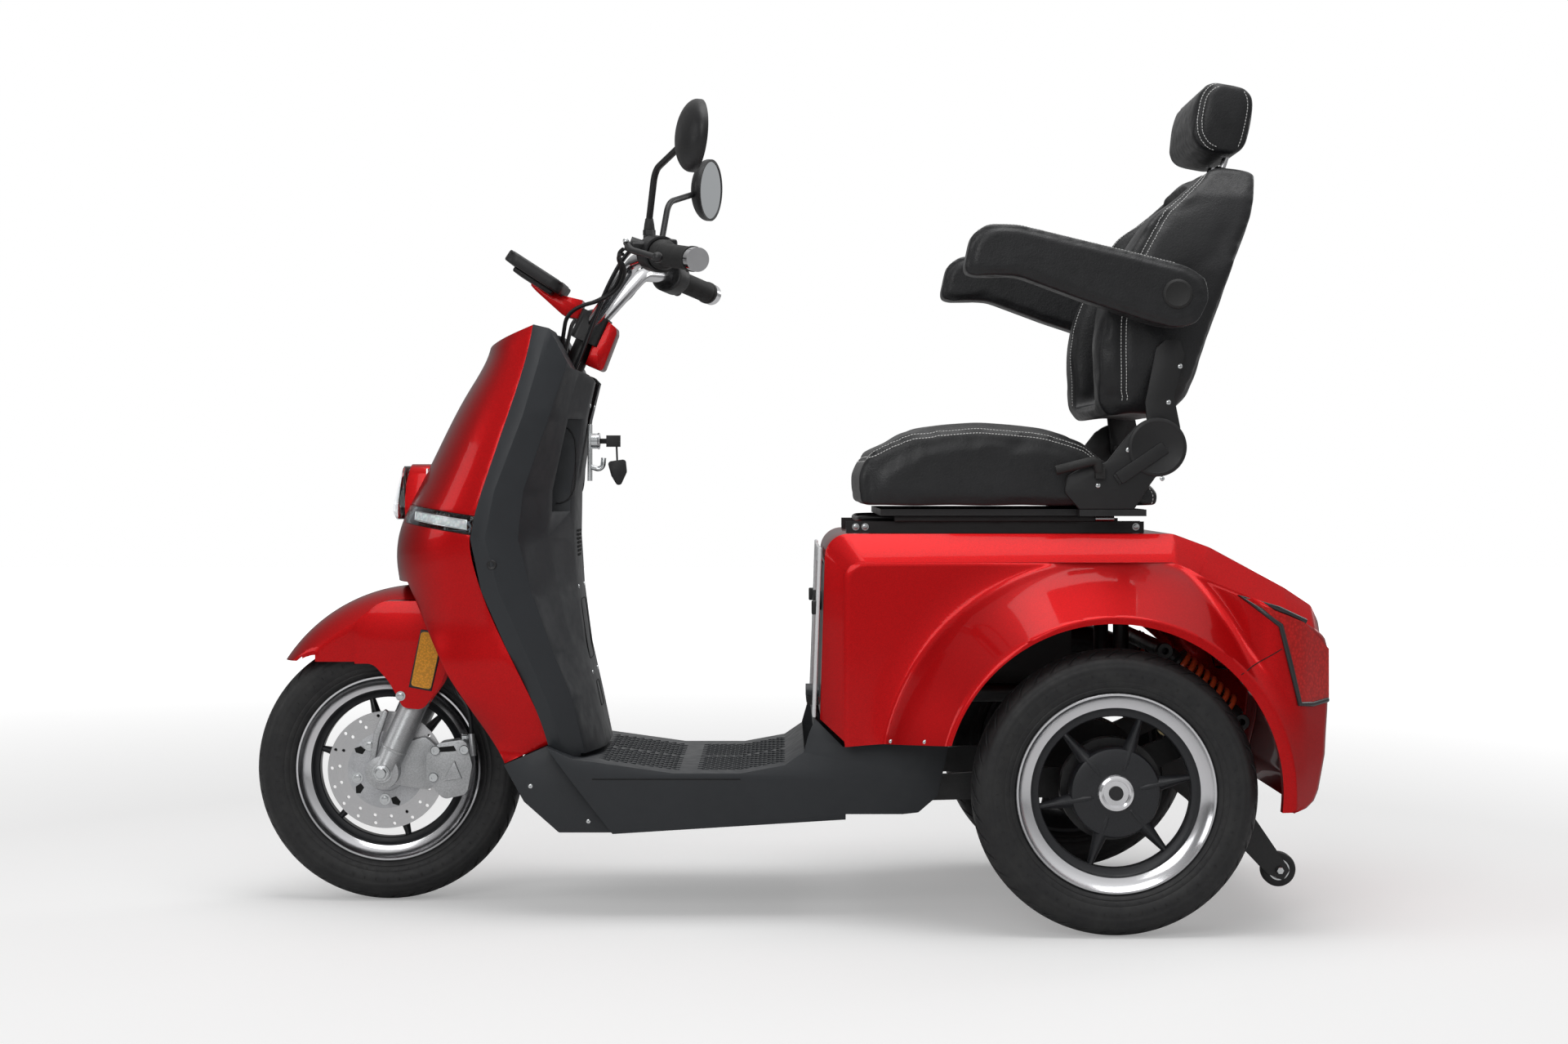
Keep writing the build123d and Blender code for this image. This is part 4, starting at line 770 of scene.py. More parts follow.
def tidy(mesh: bpy.types.Mesh, merge: float = 1e-6) -> None:
    """Merges doubles and turns the faces outwards.

    Args:
        mesh: the mesh, changed in place.
        merge: points closer than this become one, in metres.
    """
    work = bmesh.new()
    work.from_mesh(mesh)
    bmesh.ops.remove_doubles(work, verts=work.verts, dist=merge)
    bmesh.ops.recalc_face_normals(work, faces=work.faces)
    work.to_mesh(mesh)
    work.free()


def baked(made: Piece) -> Piece:
    """Turns an object's modifiers, or a curve, into its plain mesh.

    Args:
        made: the object.

    Returns:
        The object that holds the plain mesh.
    """
    graph = bpy.context.evaluated_depsgraph_get()
    mesh = bpy.data.meshes.new_from_object(made.evaluated_get(graph), preserve_all_data_layers=True,
                                           depsgraph=graph)
    if made.type == "MESH":
        made.modifiers.clear()
        made.data = mesh
        return made
    name = made.name
    finishes = [slot.material for slot in made.material_slots]
    bpy.data.objects.remove(made)
    replaced = linked(name, mesh)
    mesh.materials.clear()
    for finish in finishes:
        mesh.materials.append(finish)
    return replaced


def crisp(made: Piece, width: float = 0.0012, angle: float = 32.0, segments: int = 2) -> Piece:
    """Rounds an object's hard edges and shades it by angle.

    Args:
        made: the object.
        width: bevel width in metres; 0 leaves the edges sharp.
        angle: edges sharper than this are rounded, in degrees.
        segments: bevel segments.

    Returns:
        The same object.
    """
    if width:
        bevel = made.modifiers.new("round", "BEVEL")
        bevel.width, bevel.segments, bevel.limit_method = width, segments, "ANGLE"
        bevel.angle_limit = math.radians(angle)
        bevel.use_clamp_overlap = True
        bevel.miter_outer = "MITER_ARC"
        baked(made)
    return shaded(made)


def skin(node: str, finish: Finish, width: float = 0.0010, merge: float = 2e-5) -> Piece:
    """Copy of a CAD node with merged, softly rounded edges that stands for it.

    Args:
        node: the CAD node.
        finish: its finish.
        width: how far the edges are rounded, in metres.
        merge: points closer than this are one, in metres.

    Returns:
        The new piece, riding on the node's body.
    """
    source = frame["nodes"][node]
    mesh = source.data.copy()
    tidied = bmesh.new()
    tidied.from_mesh(mesh)
    bmesh.ops.remove_doubles(tidied, verts=tidied.verts, dist=merge)
    bmesh.ops.dissolve_limit(tidied, angle_limit=math.radians(0.6), verts=tidied.verts, edges=tidied.edges,
                             delimit=set())
    tidied.to_mesh(mesh)
    tidied.free()
    made = put(f"{node}_skin", mesh, finish)
    crisp(made, width)
    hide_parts(node)
    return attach(made, source["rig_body"])


def stand_in(made: Piece, node: str) -> Piece:
    """Makes a piece take the place of a CAD node and ride on its body."""
    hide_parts(node)
    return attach(made, frame["nodes"][node]["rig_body"])


def tree_of(mesh: bpy.types.Mesh) -> BVHTree:
    """Search tree over a mesh's surface, in metres."""
    return BVHTree.FromPolygons([v.co for v in mesh.vertices], [p.vertices for p in mesh.polygons])


def surface_of(node: str) -> BVHTree:
    """Search tree over a CAD node's own surface, in metres."""
    return tree_of(frame["nodes"][node].data)


def dress(node: str, *finishes: Finish) -> Piece:
    """Gives a CAD node its finish, leaving its mesh alone.

    Args:
        node: the CAD node.
        *finishes: one finish for each slot.

    Returns:
        The node's object.
    """
    made = frame["nodes"][node]
    for index, finish in enumerate(finishes):
        if index < len(made.material_slots):
            made.material_slots[index].material = finish.material()
        else:
            made.data.materials.append(finish.material())
    return made


def lathe(name: str, profile: Outline, centre: Vector, finish: Finish,
          steps: int = 96, axis: Vector = Vector((0, 1, 0))) -> Piece:
    """Turned solid from a closed profile of (radius, along) pairs in millimetres.

    Args:
        name: the piece's name.
        profile: closed outline; a radius of 0 lies on the axis.
        centre: where the axis starts, in metres.
        finish: its finish.
        steps: divisions round the axis.
        axis: direction of the axis.

    Returns:
        The new object.
    """
    turn = axis.to_track_quat("Z", "Y").to_matrix()
    points, faces, count = [], [], len(profile)
    for step in range(steps):
        angle = 2 * math.pi * step / steps
        for radius, along in profile:
            local = Vector((radius * math.cos(angle), radius * math.sin(angle), along)) / 1000
            points.append(centre + turn @ local)
    for step in range(steps):
        other = (step + 1) % steps
        for index in range(count):
            following = (index + 1) % count
            faces.append((step * count + index, step * count + following,
                          other * count + following, other * count + index))
    mesh = mesh_of(name, points, faces)
    loose = bmesh.new()
    loose.from_mesh(mesh)
    bmesh.ops.dissolve_degenerate(loose, dist=1e-6, edges=loose.edges)
    bmesh.ops.recalc_face_normals(loose, faces=loose.faces)
    loose.to_mesh(mesh)
    loose.free()
    return shaded(put(name, mesh, finish), 35)


def plate(name: str, outline: Sequence[Sequence[float]], y_low: float, y_high: float, finish: Finish,
          bevel: float = 1.0, origin: Vector = FRONT) -> Piece:
    """Flat plate with rounded edges, its outline seen from the side.

    Args:
        name: the piece's name.
        outline: (x, z) points in millimetres from the origin.
        y_low: one face, in millimetres.
        y_high: the other face.
        finish: its finish.
        bevel: edge rounding in millimetres.
        origin: point the outline is measured from.

    Returns:
        The new object.
    """
    count = len(outline)
    points = [origin + Vector((x, y, z)) / 1000 for y in (y_low, y_high) for x, z in outline]
    faces = [tuple(range(count)), tuple(range(2 * count - 1, count - 1, -1))]
    faces += [(i, (i + 1) % count, count + (i + 1) % count, count + i) for i in range(count)]
    made = put(name, mesh_of(name, points, faces), finish)
    return crisp(made, bevel / 1000, 30, 3)


def brick(name: str, middle: Vector, size: Point, finish: Finish, bevel: float = 1.0,
          turn: Matrix | None = None) -> Piece:
    """Rounded block about a middle point.

    Args:
        name: the piece's name.
        middle: its centre in metres.
        size: lengths along X, Y and Z in millimetres.
        finish: its finish.
        bevel: edge rounding in millimetres.
        turn: rotation about the middle.

    Returns:
        The new object.
    """
    half = Vector(size) / 2000
    turn = turn or Matrix.Identity(3)
    points = [middle + turn @ Vector((x * half.x, y * half.y, z * half.z))
              for x in (-1, 1) for y in (-1, 1) for z in (-1, 1)]
    faces = [(0, 1, 3, 2), (4, 6, 7, 5), (0, 4, 5, 1), (2, 3, 7, 6), (0, 2, 6, 4), (1, 5, 7, 3)]
    made = put(name, mesh_of(name, points, faces), finish)
    return crisp(made, bevel / 1000, 30, 3)


def line_of(name: str, points: Sequence[Vector], smooth: bool = True, closed: bool = False) -> Piece:
    """Curve object through, or near, a row of points.

    Args:
        name: the object's name.
        points: points in metres.
        smooth: a smooth curve, or straight runs.
        closed: whether it closes on itself.

    Returns:
        The curve object.
    """
    data = bpy.data.curves.new(name, "CURVE")
    data.dimensions = "3D"
    spline = data.splines.new("NURBS" if smooth else "POLY")
    spline.points.add(len(points) - 1)
    for spot, point in zip(spline.points, points):
        spot.co = (*point, 1.0)
    spline.use_cyclic_u = closed
    if smooth:
        spline.order_u = 3
        spline.use_endpoint_u = not closed
        spline.resolution_u = 8
    return linked(name, data)


def strand(name: str, points: Sequence[Vector], radius: float, finish: Finish, smooth: bool = True,
           closed: bool = False, sides: int = 3) -> Piece:
    """Round tube along a row of points, as a plain mesh.

    Args:
        name: the piece's name.
        points: the points, in metres.
        radius: tube radius in millimetres.
        finish: its finish.
        smooth: whether the line is smooth or in straight runs.
        closed: whether the line closes on itself.
        sides: bevel resolution.

    Returns:
        The new object.
    """
    made = line_of(name, points, smooth, closed)
    made.data.bevel_depth = radius / 1000
    made.data.bevel_resolution = sides
    made.data.use_fill_caps = not closed
    made.data.materials.append(finish.material())
    made = baked(made)
    tidy(made.data, 1e-7)
    return shaded(made, 50)


def joined(name: str, parts: Sequence[Piece]) -> Piece:
    """Joins plain mesh objects into one piece, keeping their materials.

    Args:
        name: the joined piece's name.
        parts: the objects.

    Returns:
        The joined object.
    """
    materials: list[bpy.types.Material] = []
    work = bmesh.new()
    for part in parts:
        kept = part.data.copy()
        places = []
        for material in kept.materials:
            if material not in materials:
                materials.append(material)
            places.append(materials.index(material))
        start = len(work.faces)
        work.from_mesh(kept)
        work.faces.ensure_lookup_table()
        for face in work.faces[start:]:
            if places:
                face.material_index = places[min(face.material_index, len(places) - 1)]
        bpy.data.meshes.remove(kept)
    mesh = bpy.data.meshes.new(name)
    work.to_mesh(mesh)
    work.free()
    for part in parts:
        bpy.data.objects.remove(part)
    made = linked(name, mesh)
    for material in materials:
        mesh.materials.append(material)
    return made


# ---------------------------------------------------------------- geometry node trees
class Repeat(Nodes):
    """A geometry node tree that repeats a small unit, with named inputs."""

    def __init__(self, name: str, inputs: Sequence[tuple[str, str]]) -> None:
        """Starts the tree.

        Args:
            name: tree name.
            inputs: (label, socket type) for each of its own inputs.
        """
        super().__init__(bpy.data.node_groups.new(name, "GeometryNodeTree"))
        face = self.tree.interface
        face.new_socket("Geometry", in_out="INPUT", socket_type="NodeSocketGeometry")
        face.new_socket("Unit", in_out="INPUT", socket_type="NodeSocketObject")
        for label, kind in inputs:
            face.new_socket(label, in_out="INPUT", socket_type=kind)
        face.new_socket("Finish", in_out="INPUT", socket_type="NodeSocketMaterial")
        face.new_socket("Geometry", in_out="OUTPUT", socket_type="NodeSocketGeometry")
        self.start = self.node("NodeGroupInput")
        unit = self.node("GeometryNodeObjectInfo")
        self.join(self.start.outputs["Unit"], unit.inputs["Object"])
        self.instances = self.node("GeometryNodeInstanceOnPoints")
        self.join(unit.outputs["Geometry"], self.instances.inputs["Instance"])
        realize = self.node("GeometryNodeRealizeInstances")
        finish = self.node("GeometryNodeSetMaterial")
        end = self.node("NodeGroupOutput")
        self.join(self.instances.outputs[0], realize.inputs[0])
        self.join(realize.outputs[0], finish.inputs["Geometry"])
        self.join(self.start.outputs["Finish"], finish.inputs["Material"])
        self.join(finish.outputs[0], end.inputs[0])

    def run(self, name: str, unit: Piece, finish: Finish, keep_unit: bool = False,
            **values: Any) -> Piece:
        """Runs the tree on a unit and returns the plain mesh it makes.

        Args:
            name: name of the piece.
            unit: the object that is repeated.
            finish: its finish.
            keep_unit: leaves the unit in the scene for another run.
            **values: the tree's own inputs, underscores standing for spaces.

        Returns:
            The new object.
        """
        made = linked(name, bpy.data.meshes.new(name))
        modifier = made.modifiers.new("repeat", "NODES")
        modifier.node_group = self.tree
        wanted = {key.replace("_", " "): value for key, value in values.items()}
        wanted.update(Unit=unit, Finish=finish.material())
        for item in self.tree.interface.items_tree:
            if item.in_out == "INPUT" and item.name in wanted:
                modifier[item.identifier] = wanted[item.name]
        bpy.context.view_layer.update()
        baked(made)
        if not made.data.materials:
            made.data.materials.append(finish.material())
        if not keep_unit:
            bpy.data.objects.remove(unit)
        helpers = [value for value in values.values() if isinstance(value, Piece)]
        for helper in helpers:
            if not keep_unit:
                bpy.data.objects.remove(helper)
        return shaded(made)


def round_tree() -> Repeat:
    """Repeats a unit, drawn about the origin, round a line along Y through a centre.

    Returns:
        The tree.
    """
    made = Repeat("repeat_round", [("Count", "NodeSocketInt"), ("Start", "NodeSocketFloat"),
                                   ("Centre", "NodeSocketVector")])
    points = made.node("GeometryNodePoints")
    made.join(made.start.outputs["Count"], points.inputs["Count"])
    made.join(made.start.outputs["Centre"], points.inputs["Position"])
    share = made.maths("DIVIDE", made.node("GeometryNodeInputIndex").outputs[0], made.start.outputs["Count"])
    turn = made.maths("ADD", made.maths("MULTIPLY", share, 2 * math.pi), made.start.outputs["Start"])
    spin = made.node("ShaderNodeCombineXYZ")
    made.join(turn, spin.inputs["Y"])
    made.join(points.outputs[0], made.instances.inputs["Points"])
    made.join(spin.outputs[0], made.instances.inputs["Rotation"])
    return made


def path_tree() -> Repeat:
    """Repeats a unit, drawn along X about the origin, at even steps along a path.

    Returns:
        The tree.
    """
    made = Repeat("repeat_along_path", [("Path", "NodeSocketObject"), ("Spacing", "NodeSocketFloat"),
                                        ("Scale", "NodeSocketFloat")])
    path = made.node("GeometryNodeObjectInfo")
    made.join(made.start.outputs["Path"], path.inputs["Object"])
    even = made.node("GeometryNodeResampleCurve", mode="LENGTH")
    made.join(path.outputs["Geometry"], even.inputs["Curve"])
    made.join(made.start.outputs["Spacing"], even.inputs["Length"])
    align = made.node("FunctionNodeAlignEulerToVector", axis="X")
    made.join(made.node("GeometryNodeInputTangent").outputs[0], align.inputs["Vector"])
    made.join(even.outputs[0], made.instances.inputs["Points"])
    made.join(align.outputs[0], made.instances.inputs["Rotation"])
    made.join(made.start.outputs["Scale"], made.instances.inputs["Scale"])
    return made


def spots_tree() -> Repeat:
    """Repeats a unit on every point of a helper mesh.

    Returns:
        The tree.
    """
    made = Repeat("repeat_on_spots", [("Spots", "NodeSocketObject"), ("Turn", "NodeSocketVector")])
    spots = made.node("GeometryNodeObjectInfo")
    made.join(made.start.outputs["Spots"], spots.inputs["Object"])
    points = made.node("GeometryNodeMeshToPoints")
    made.join(spots.outputs["Geometry"], points.inputs["Mesh"])
    made.join(points.outputs[0], made.instances.inputs["Points"])
    made.join(made.start.outputs["Turn"], made.instances.inputs["Rotation"])
    return made


ROUND = round_tree()
ALONG = path_tree()
ON_SPOTS = spots_tree()


def spots(points: Sequence[Vector]) -> Piece:
    """Helper mesh that holds loose points for the spots tree.

    Args:
        points: the points, in metres.

    Returns:
        The helper object.
    """
    mesh = bpy.data.meshes.new("spots")
    mesh.from_pydata([tuple(point) for point in points], [], [])
    return linked("spots", mesh)


def stitch_unit(length: float = 3.6, radius: float = 0.75) -> Piece:
    """One stitch along X: a short thread that dips at both ends.

    Args:
        length: its length in millimetres.
        radius: the thread's radius in millimetres.

    Returns:
        The unit object.
    """
    rings, sides = 5, 5
    points, faces = [], []
    for ring in range(rings):
        along = ring / (rings - 1) * 2 - 1
        wide = radius * (1 - 0.55 * along**2)
        for side in range(sides):
            angle = 2 * math.pi * side / sides
            points.append(Vector((along * length / 2, wide * math.cos(angle), wide * math.sin(angle))) / 1000)
    for ring in range(rings - 1):
        for side in range(sides):
            other = (side + 1) % sides
            faces.append((ring * sides + side, ring * sides + other, (ring + 1) * sides + other,
                          (ring + 1) * sides + side))
    faces.append(tuple(range(sides)))
    faces.append(tuple(range((rings - 1) * sides, rings * sides)))
    return put("stitch", mesh_of("stitch", points, faces), THREAD)


def screw_unit(radius: float = 3.0, height: float = 1.6, sides: int = 20) -> Piece:
    """Pan-head screw with a cross recess, its head facing -Y at the origin.

    Args:
        radius: head radius in millimetres.
        height: head height in millimetres.
        sides: divisions round it.

    Returns:
        The unit object.
    """
    profile = [(0, 0), (radius, 0), (radius * 0.96, -height * 0.45), (radius * 0.72, -height * 0.85),
               (radius * 0.3, -height), (0, -height)]
    head = lathe("screw", profile, ORIGIN, ZINC, sides)
    # painted shade: the cross recess is two near-black bars laid on the head
    bars = [brick("bar", Vector((0, -height / 1000, 0)), size, SHADOW_BLACK, 0)
            for size in ((radius * 1.1, 0.5, radius * 0.24), (radius * 0.24, 0.5, radius * 1.1))]
    return joined("screw", [head, *bars])


def hex_unit(radius: float, height: float, washer: float = 0.0) -> Piece:
    """Hexagon bolt head on a washer, facing -Y at the origin.

    Args:
        radius: radius to the corners, in millimetres.
        height: head height.
        washer: radius of the washer under it, or 0 for none.

    Returns:
        The unit object.
    """
    corners = [(radius * math.cos(math.pi / 3 * k), radius * math.sin(math.pi / 3 * k)) for k in range(6)]
    lift = 1.2 if washer else 0.0
    head = plate("bolt", corners, -lift - height, -lift, ZINC, 0.5, ORIGIN)
    if not washer:
        return head
    ring = lathe("washer", [(0, 0), (washer, 0), (washer, -lift), (0, -lift)], ORIGIN, ZINC, 24)
    return joined("bolt", [head, ring])


# ---------------------------------------------------------------- wheels
@dataclass
class Wheel:
    """A road wheel: tyre with moulded tread, bright ring and black cast spokes."""

    name: str
    body: str
    centre: Vector
    outer: int
    nodes: tuple[str, str]
    ring_finish: Finish
    first_spoke: float = 11.0
    tyre_radius: float = 205.0
    pitches: int = 44
    hub_radius: float = 65.0
    hub_reach: float = 22.0

    def carcass(self) -> Piece:
        """Tyre body with bead, wall rings and a shoulder step under the tread.

        Returns:
            The new piece.
        """
        outer = self.tyre_radius - 3.2
        wall = [(144.5, 30.5), (147, 34.2), (150.5, 35.6), (152.0, 35.2), (153.5, 36.4), (158, 38.2),
                (160, 38.0), (161.5, 39.0), (168, 40.4), (174, 41.0), (176.5, 40.4), (178, 40.9), (183, 40.2),
                (184.5, 39.2), (186, 39.2), (189.5, 37.6), (192.5, 35.4), (196.0, 31.2), (198.6, 25.5),
                (200.2, 18.0), (201.2, 9.0)]
        profile = wall + [(outer, 0)] + [(r, -y) for r, y in reversed(wall)]
        profile += [(136.0, -26.5), (136.0, 26.5)]
        return lathe(f"{self.name}_tyre", profile, self.centre, RUBBER, 180)

    def tread_unit(self) -> Piece:
        """One pitch of tread: a centre rib piece and a swept shoulder block each side.

        Returns:
            The unit object.
        """
        pitch = 2 * math.pi / self.pitches
        crown = [(0, 205.0), (6, 204.8), (12, 204.3), (18, 203.2), (24, 201.4), (29, 198.8), (33, 195.0),
                 (36.2, 190.6), (38.2, 186.6)]

        def surface(y: float) -> float:
            """Tread surface radius at a distance from the wheel's middle.

            Args:
                y: distance from the wheel's middle, in millimetres.

            Returns:
                The radius in millimetres.
            """
            away = abs(y)
            for (y_a, r_a), (y_b, r_b) in zip(crown, crown[1:]):
                if away <= y_b:
                    return r_a + (r_b - r_a) * (away - y_a) / (y_b - y_a)
            return crown[-1][1]

        def sweep(y: float) -> float:
            """How far a groove has run round the tyre at that distance."""
            return pitch * 1.25 * (max(0.0, abs(y) - 3.5) / 35) ** 1.35

        blocks = []
        for low, high, cut in ((-3.2, 3.2, 0.0), (4.8, 38.0, 0.17), (-38.0, -4.8, 0.17)):
            across = [low + (high - low) * k / 10 for k in range(11)]
            round_steps = 4 if cut else 3
            points, faces = [], []
            for layer in (0, 1):
                for y in across:
                    for step in range(round_steps + 1):
                        share = step / round_steps
                        inset = 0.05 if layer and cut else 0.0
                        angle = pitch * ((cut + inset) / 2 + share * (1 - cut - inset)) + sweep(y)
                        if y < 0:
                            angle += pitch / 2
                        top = surface(y)
                        drop = 4.6 if layer == 0 else 0.0
                        reach = (top - drop) / 1000
                        squeeze = y * (0.985 if layer == 0 else 1.0)
                        across_m = squeeze / 1000
                        points.append(Vector((reach * math.cos(angle), across_m, reach * math.sin(angle))))
            wide = round_steps + 1
            tall = len(across)
            for layer in (0, 1):
                base = layer * tall * wide
                for i in range(tall - 1):
                    for j in range(round_steps):
                        a = base + i * wide + j
                        faces.append((a, a + 1, a + wide + 1, a + wide))
            edge = [i * wide for i in range(tall)] + [(tall - 1) * wide + j for j in range(1, wide)]
            edge += [i * wide + round_steps for i in range(tall - 2, -1, -1)] + list(range(wide - 2, 0, -1))
            for here, there in zip(edge, edge[1:] + edge[:1]):
                faces.append((here, there, there + tall * wide, here + tall * wide))
            blocks.append(put("block", mesh_of("block", points, faces), RUBBER))
        return joined("tread_block", blocks)

    def tread(self) -> Piece:
        """The tread blocks, repeated round the wheel."""
        return ROUND.run(f"{self.name}_tread", self.tread_unit(), RUBBER, Count=self.pitches, Start=0.0,
                         Centre=self.centre)

    def wall_marks(self) -> Piece:
        """Short moulded bars round both side walls.

        Returns:
            The new piece.
        """
        bars = []
        for side in (-1, 1):
            for reach, long, high in ((171.0, 5.0, 41.25), (156.5, 2.4, 37.9)):
                middle = Vector((reach, side * high, 0)) / 1000
                bars.append(brick("bar", middle, (long, 0.9, 0.9), RUBBER, 0.25))
        return ROUND.run(f"{self.name}_wall_marks", joined("bars", bars), RUBBER, Count=60, Start=0.0,
                         Centre=self.centre)

    def ring(self) -> Piece:
        """Bright outer ring of the rim with its rolled lip.

        Returns:
            The new piece.
        """
        side = self.outer
        profile = [(136.2, 27.8), (142.2, 28.4), (143.4, 30.6), (143.4, 32.0), (142.2, 33.0), (139.6, 32.6),
                   (137.6, 30.4), (133.5, 26.2), (127.0, 22.4), (121.5, 20.6), (120.6, 18.6), (124, 17.5),
                   (131, 21.0)]
        return lathe(f"{self.name}_rim_ring", [(r, y * side) for r, y in profile], self.centre,
                     self.ring_finish, 160)

    def barrel(self) -> Piece:
        """Black barrel of the rim, with the inner ring and the far flange.

        Returns:
            The new piece.
        """
        side = self.outer
        profile = [(135.5, 27.0), (130.5, 20.8), (121.0, 17.8), (119.5, 17.6), (116.5, 14.6), (110.0, 13.4),
                   (108.6, 11.8), (108.4, -4.0), (112.0, -10.0), (120.5, -20.0), (131.0, -27.0),
                   (138.0, -33.0), (143.4, -33.0), (143.4, -30.0), (135.5, -27.0)]
        outline = [(r, y * side) for r, y in profile]
        return lathe(f"{self.name}_barrel", outline, self.centre, WHEEL_BLACK, 160)

    def spoke_unit(self) -> Piece:
        """Dart spoke: a ridged blade that is widest at the hub's edge.

        Returns:
            The unit object.
        """
        side = self.outer
        reach = self.hub_reach
        stations = [(111.0, 4.2, 2.6, 12.2), (104, 5.0, 6.5, 13.8), (92, 6.6, 8.2, 15.5),
                    (78, 8.6, 9.6, 17.6), (self.hub_radius + 2, 10.4, 10.6, 19.6),
                    (self.hub_radius - 6, 10.2, 9.0, reach + 0.6),
                    (46, 6.4, 5.0, reach + 2.0), (36, 3.4, 3.0, reach + 1.8), (30.5, 0.9, 1.0, reach + 0.6)]
        points, faces = [], []
        for along, half, deep, top in stations:
            ring = [(-half, top - deep), (-half * 0.62, top - deep * 0.35), (-1.3, top), (1.3, top),
                    (half * 0.62, top - deep * 0.35), (half, top - deep), (half * 0.8, top - deep - 7),
                    (-half * 0.8, top - deep - 7)]
            for sideways, y in ring:
                points.append(Vector((along, y * side, sideways)) / 1000)
        for station in range(len(stations) - 1):
            for k in range(8):
                other = (k + 1) % 8
                base = station * 8
                faces.append((base + k, base + other, base + 8 + other, base + 8 + k))
        faces.append(tuple(range(8)))
        faces.append(tuple(range((len(stations) - 1) * 8, len(stations) * 8)))
        made = put("spoke", mesh_of("spoke", points, faces), WHEEL_BLACK)
        return crisp(made, 0.0009, 25, 2)

    def spokes(self) -> Piece:
        """Six dart spokes round the hub."""
        return ROUND.run(f"{self.name}_spokes", self.spoke_unit(), WHEEL_BLACK, Count=6,
                         Start=-math.radians(self.first_spoke), Centre=self.centre)

    def hub(self) -> Piece:
        """Hub drum with a domed face, bright cap and centre nut.

        Returns:
            The new piece.
        """
        side, reach = self.outer, self.hub_reach
        drum = [(10.3, -26), (60, -26), (self.hub_radius - 1, -22), (self.hub_radius, reach - 6),
                (self.hub_radius - 2.5, reach - 1.6), (self.hub_radius - 6, reach - 0.4), (44, reach + 0.6),
                (28, reach + 1.0), (10.3, reach + 1.0)]
        cap = [(10.3, reach + 1.0), (26.0, reach + 1.0), (26.4, reach + 3.4), (24.8, reach + 6.0),
               (21.4, reach + 7.2), (18.6, reach + 6.4), (17.6, reach + 3.6), (10.3, reach + 3.4)]
        parts = [lathe("drum", [(r, y * side) for r, y in drum], self.centre, WHEEL_BLACK, 72),
                 lathe("cap", [(r, y * side) for r, y in cap], self.centre, CHROME, 64)]
        return joined(f"{self.name}_hub", parts)

    def build(self) -> None:
        """Makes every piece of the wheel and hangs it on its body."""
        tyre = self.carcass()
        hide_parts(self.nodes[0])
        barrel = self.barrel()
        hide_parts(self.nodes[1])
        pieces = [tyre, self.tread(), self.wall_marks(), self.ring(), barrel, self.spokes(), self.hub()]
        for made in pieces:
            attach(made, self.body)


@dataclass
class FrontBrake:
    """Drilled disc and its carrier."""

    disc_y: float = -50.0
    carrier_radius: float = 59.0
    holes: int = 18

    def build(self) -> None:
        """Dresses the drilled disc and adds the carrier with bolts and cooling slots painted as near-black
        plates of shade.
        """
        dress("brake_disc", FRONT_STEEL)
        face = self.disc_y - 2.0
        outer = self.carrier_radius
        profile = [(27, face + 1.0), (outer, face + 1.0), (outer, face - 0.9), (outer - 1.2, face - 1.5),
                   (33, face - 1.5), (31, face - 4.5), (27, face - 4.5)]
        carrier = lathe("disc_carrier", profile, FRONT,
                        CastMetal("carrier_silver", (0.56, 0.57, 0.59), 0.35, 0.42, 0.0012), 96)
        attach(carrier, Body.FRONT_WHEEL.value)
        bolt = hex_unit(5.6, 4.2, 8.4)
        bolt.data.transform(Matrix.Translation((0.0455, (face - 1.5) / 1000, 0)))
        bolts = ROUND.run("carrier_bolts", bolt, ZINC, Count=5, Start=0.35, Centre=FRONT)
        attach(bolts, Body.FRONT_WHEEL.value)
        # painted shade: each cooling slot is a thin near-black plate on the carrier's face
        outline = [(43, 9), (52, 12), (54.5, 22), (48, 24), (40, 17)]
        slot = plate("slot", outline, face - 1.9, face - 1.2, SHADOW_BLACK, 0.3, ORIGIN)
        slots = ROUND.run("carrier_slots", slot, SHADOW_BLACK, Count=5, Start=0.35, Centre=FRONT)
        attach(slots, Body.FRONT_WHEEL.value)


def build_wheels() -> None:
    """Builds the three road wheels and the front brake."""
    for side in Side:
        centre = Vector((REAR_X, side.value * REAR_TYRE_Y, AXLE_Z))
        Wheel(f"rear_wheel_{side.word}", f"rear_wheel_{side.word}", centre, side.value,
              (f"rear_tyre_{side.word}", f"rear_rim_{side.word}"), REAR_RING).build()
    Wheel("front_wheel", "front_wheel", FRONT.copy(), -1, ("front_tyre", "front_rim"), FRONT_RING, 45.0,
          hub_radius=34.0, hub_reach=33.0).build()
    FrontBrake().build()


# ---------------------------------------------------------------- front panels
def cable(name: str, body: Body, points: Sequence[Vector], radius: float, finish: Finish) -> Piece:
    """Control cable held along its whole run, riding on a body."""
    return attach(strand(name, points, radius, finish), body.value)


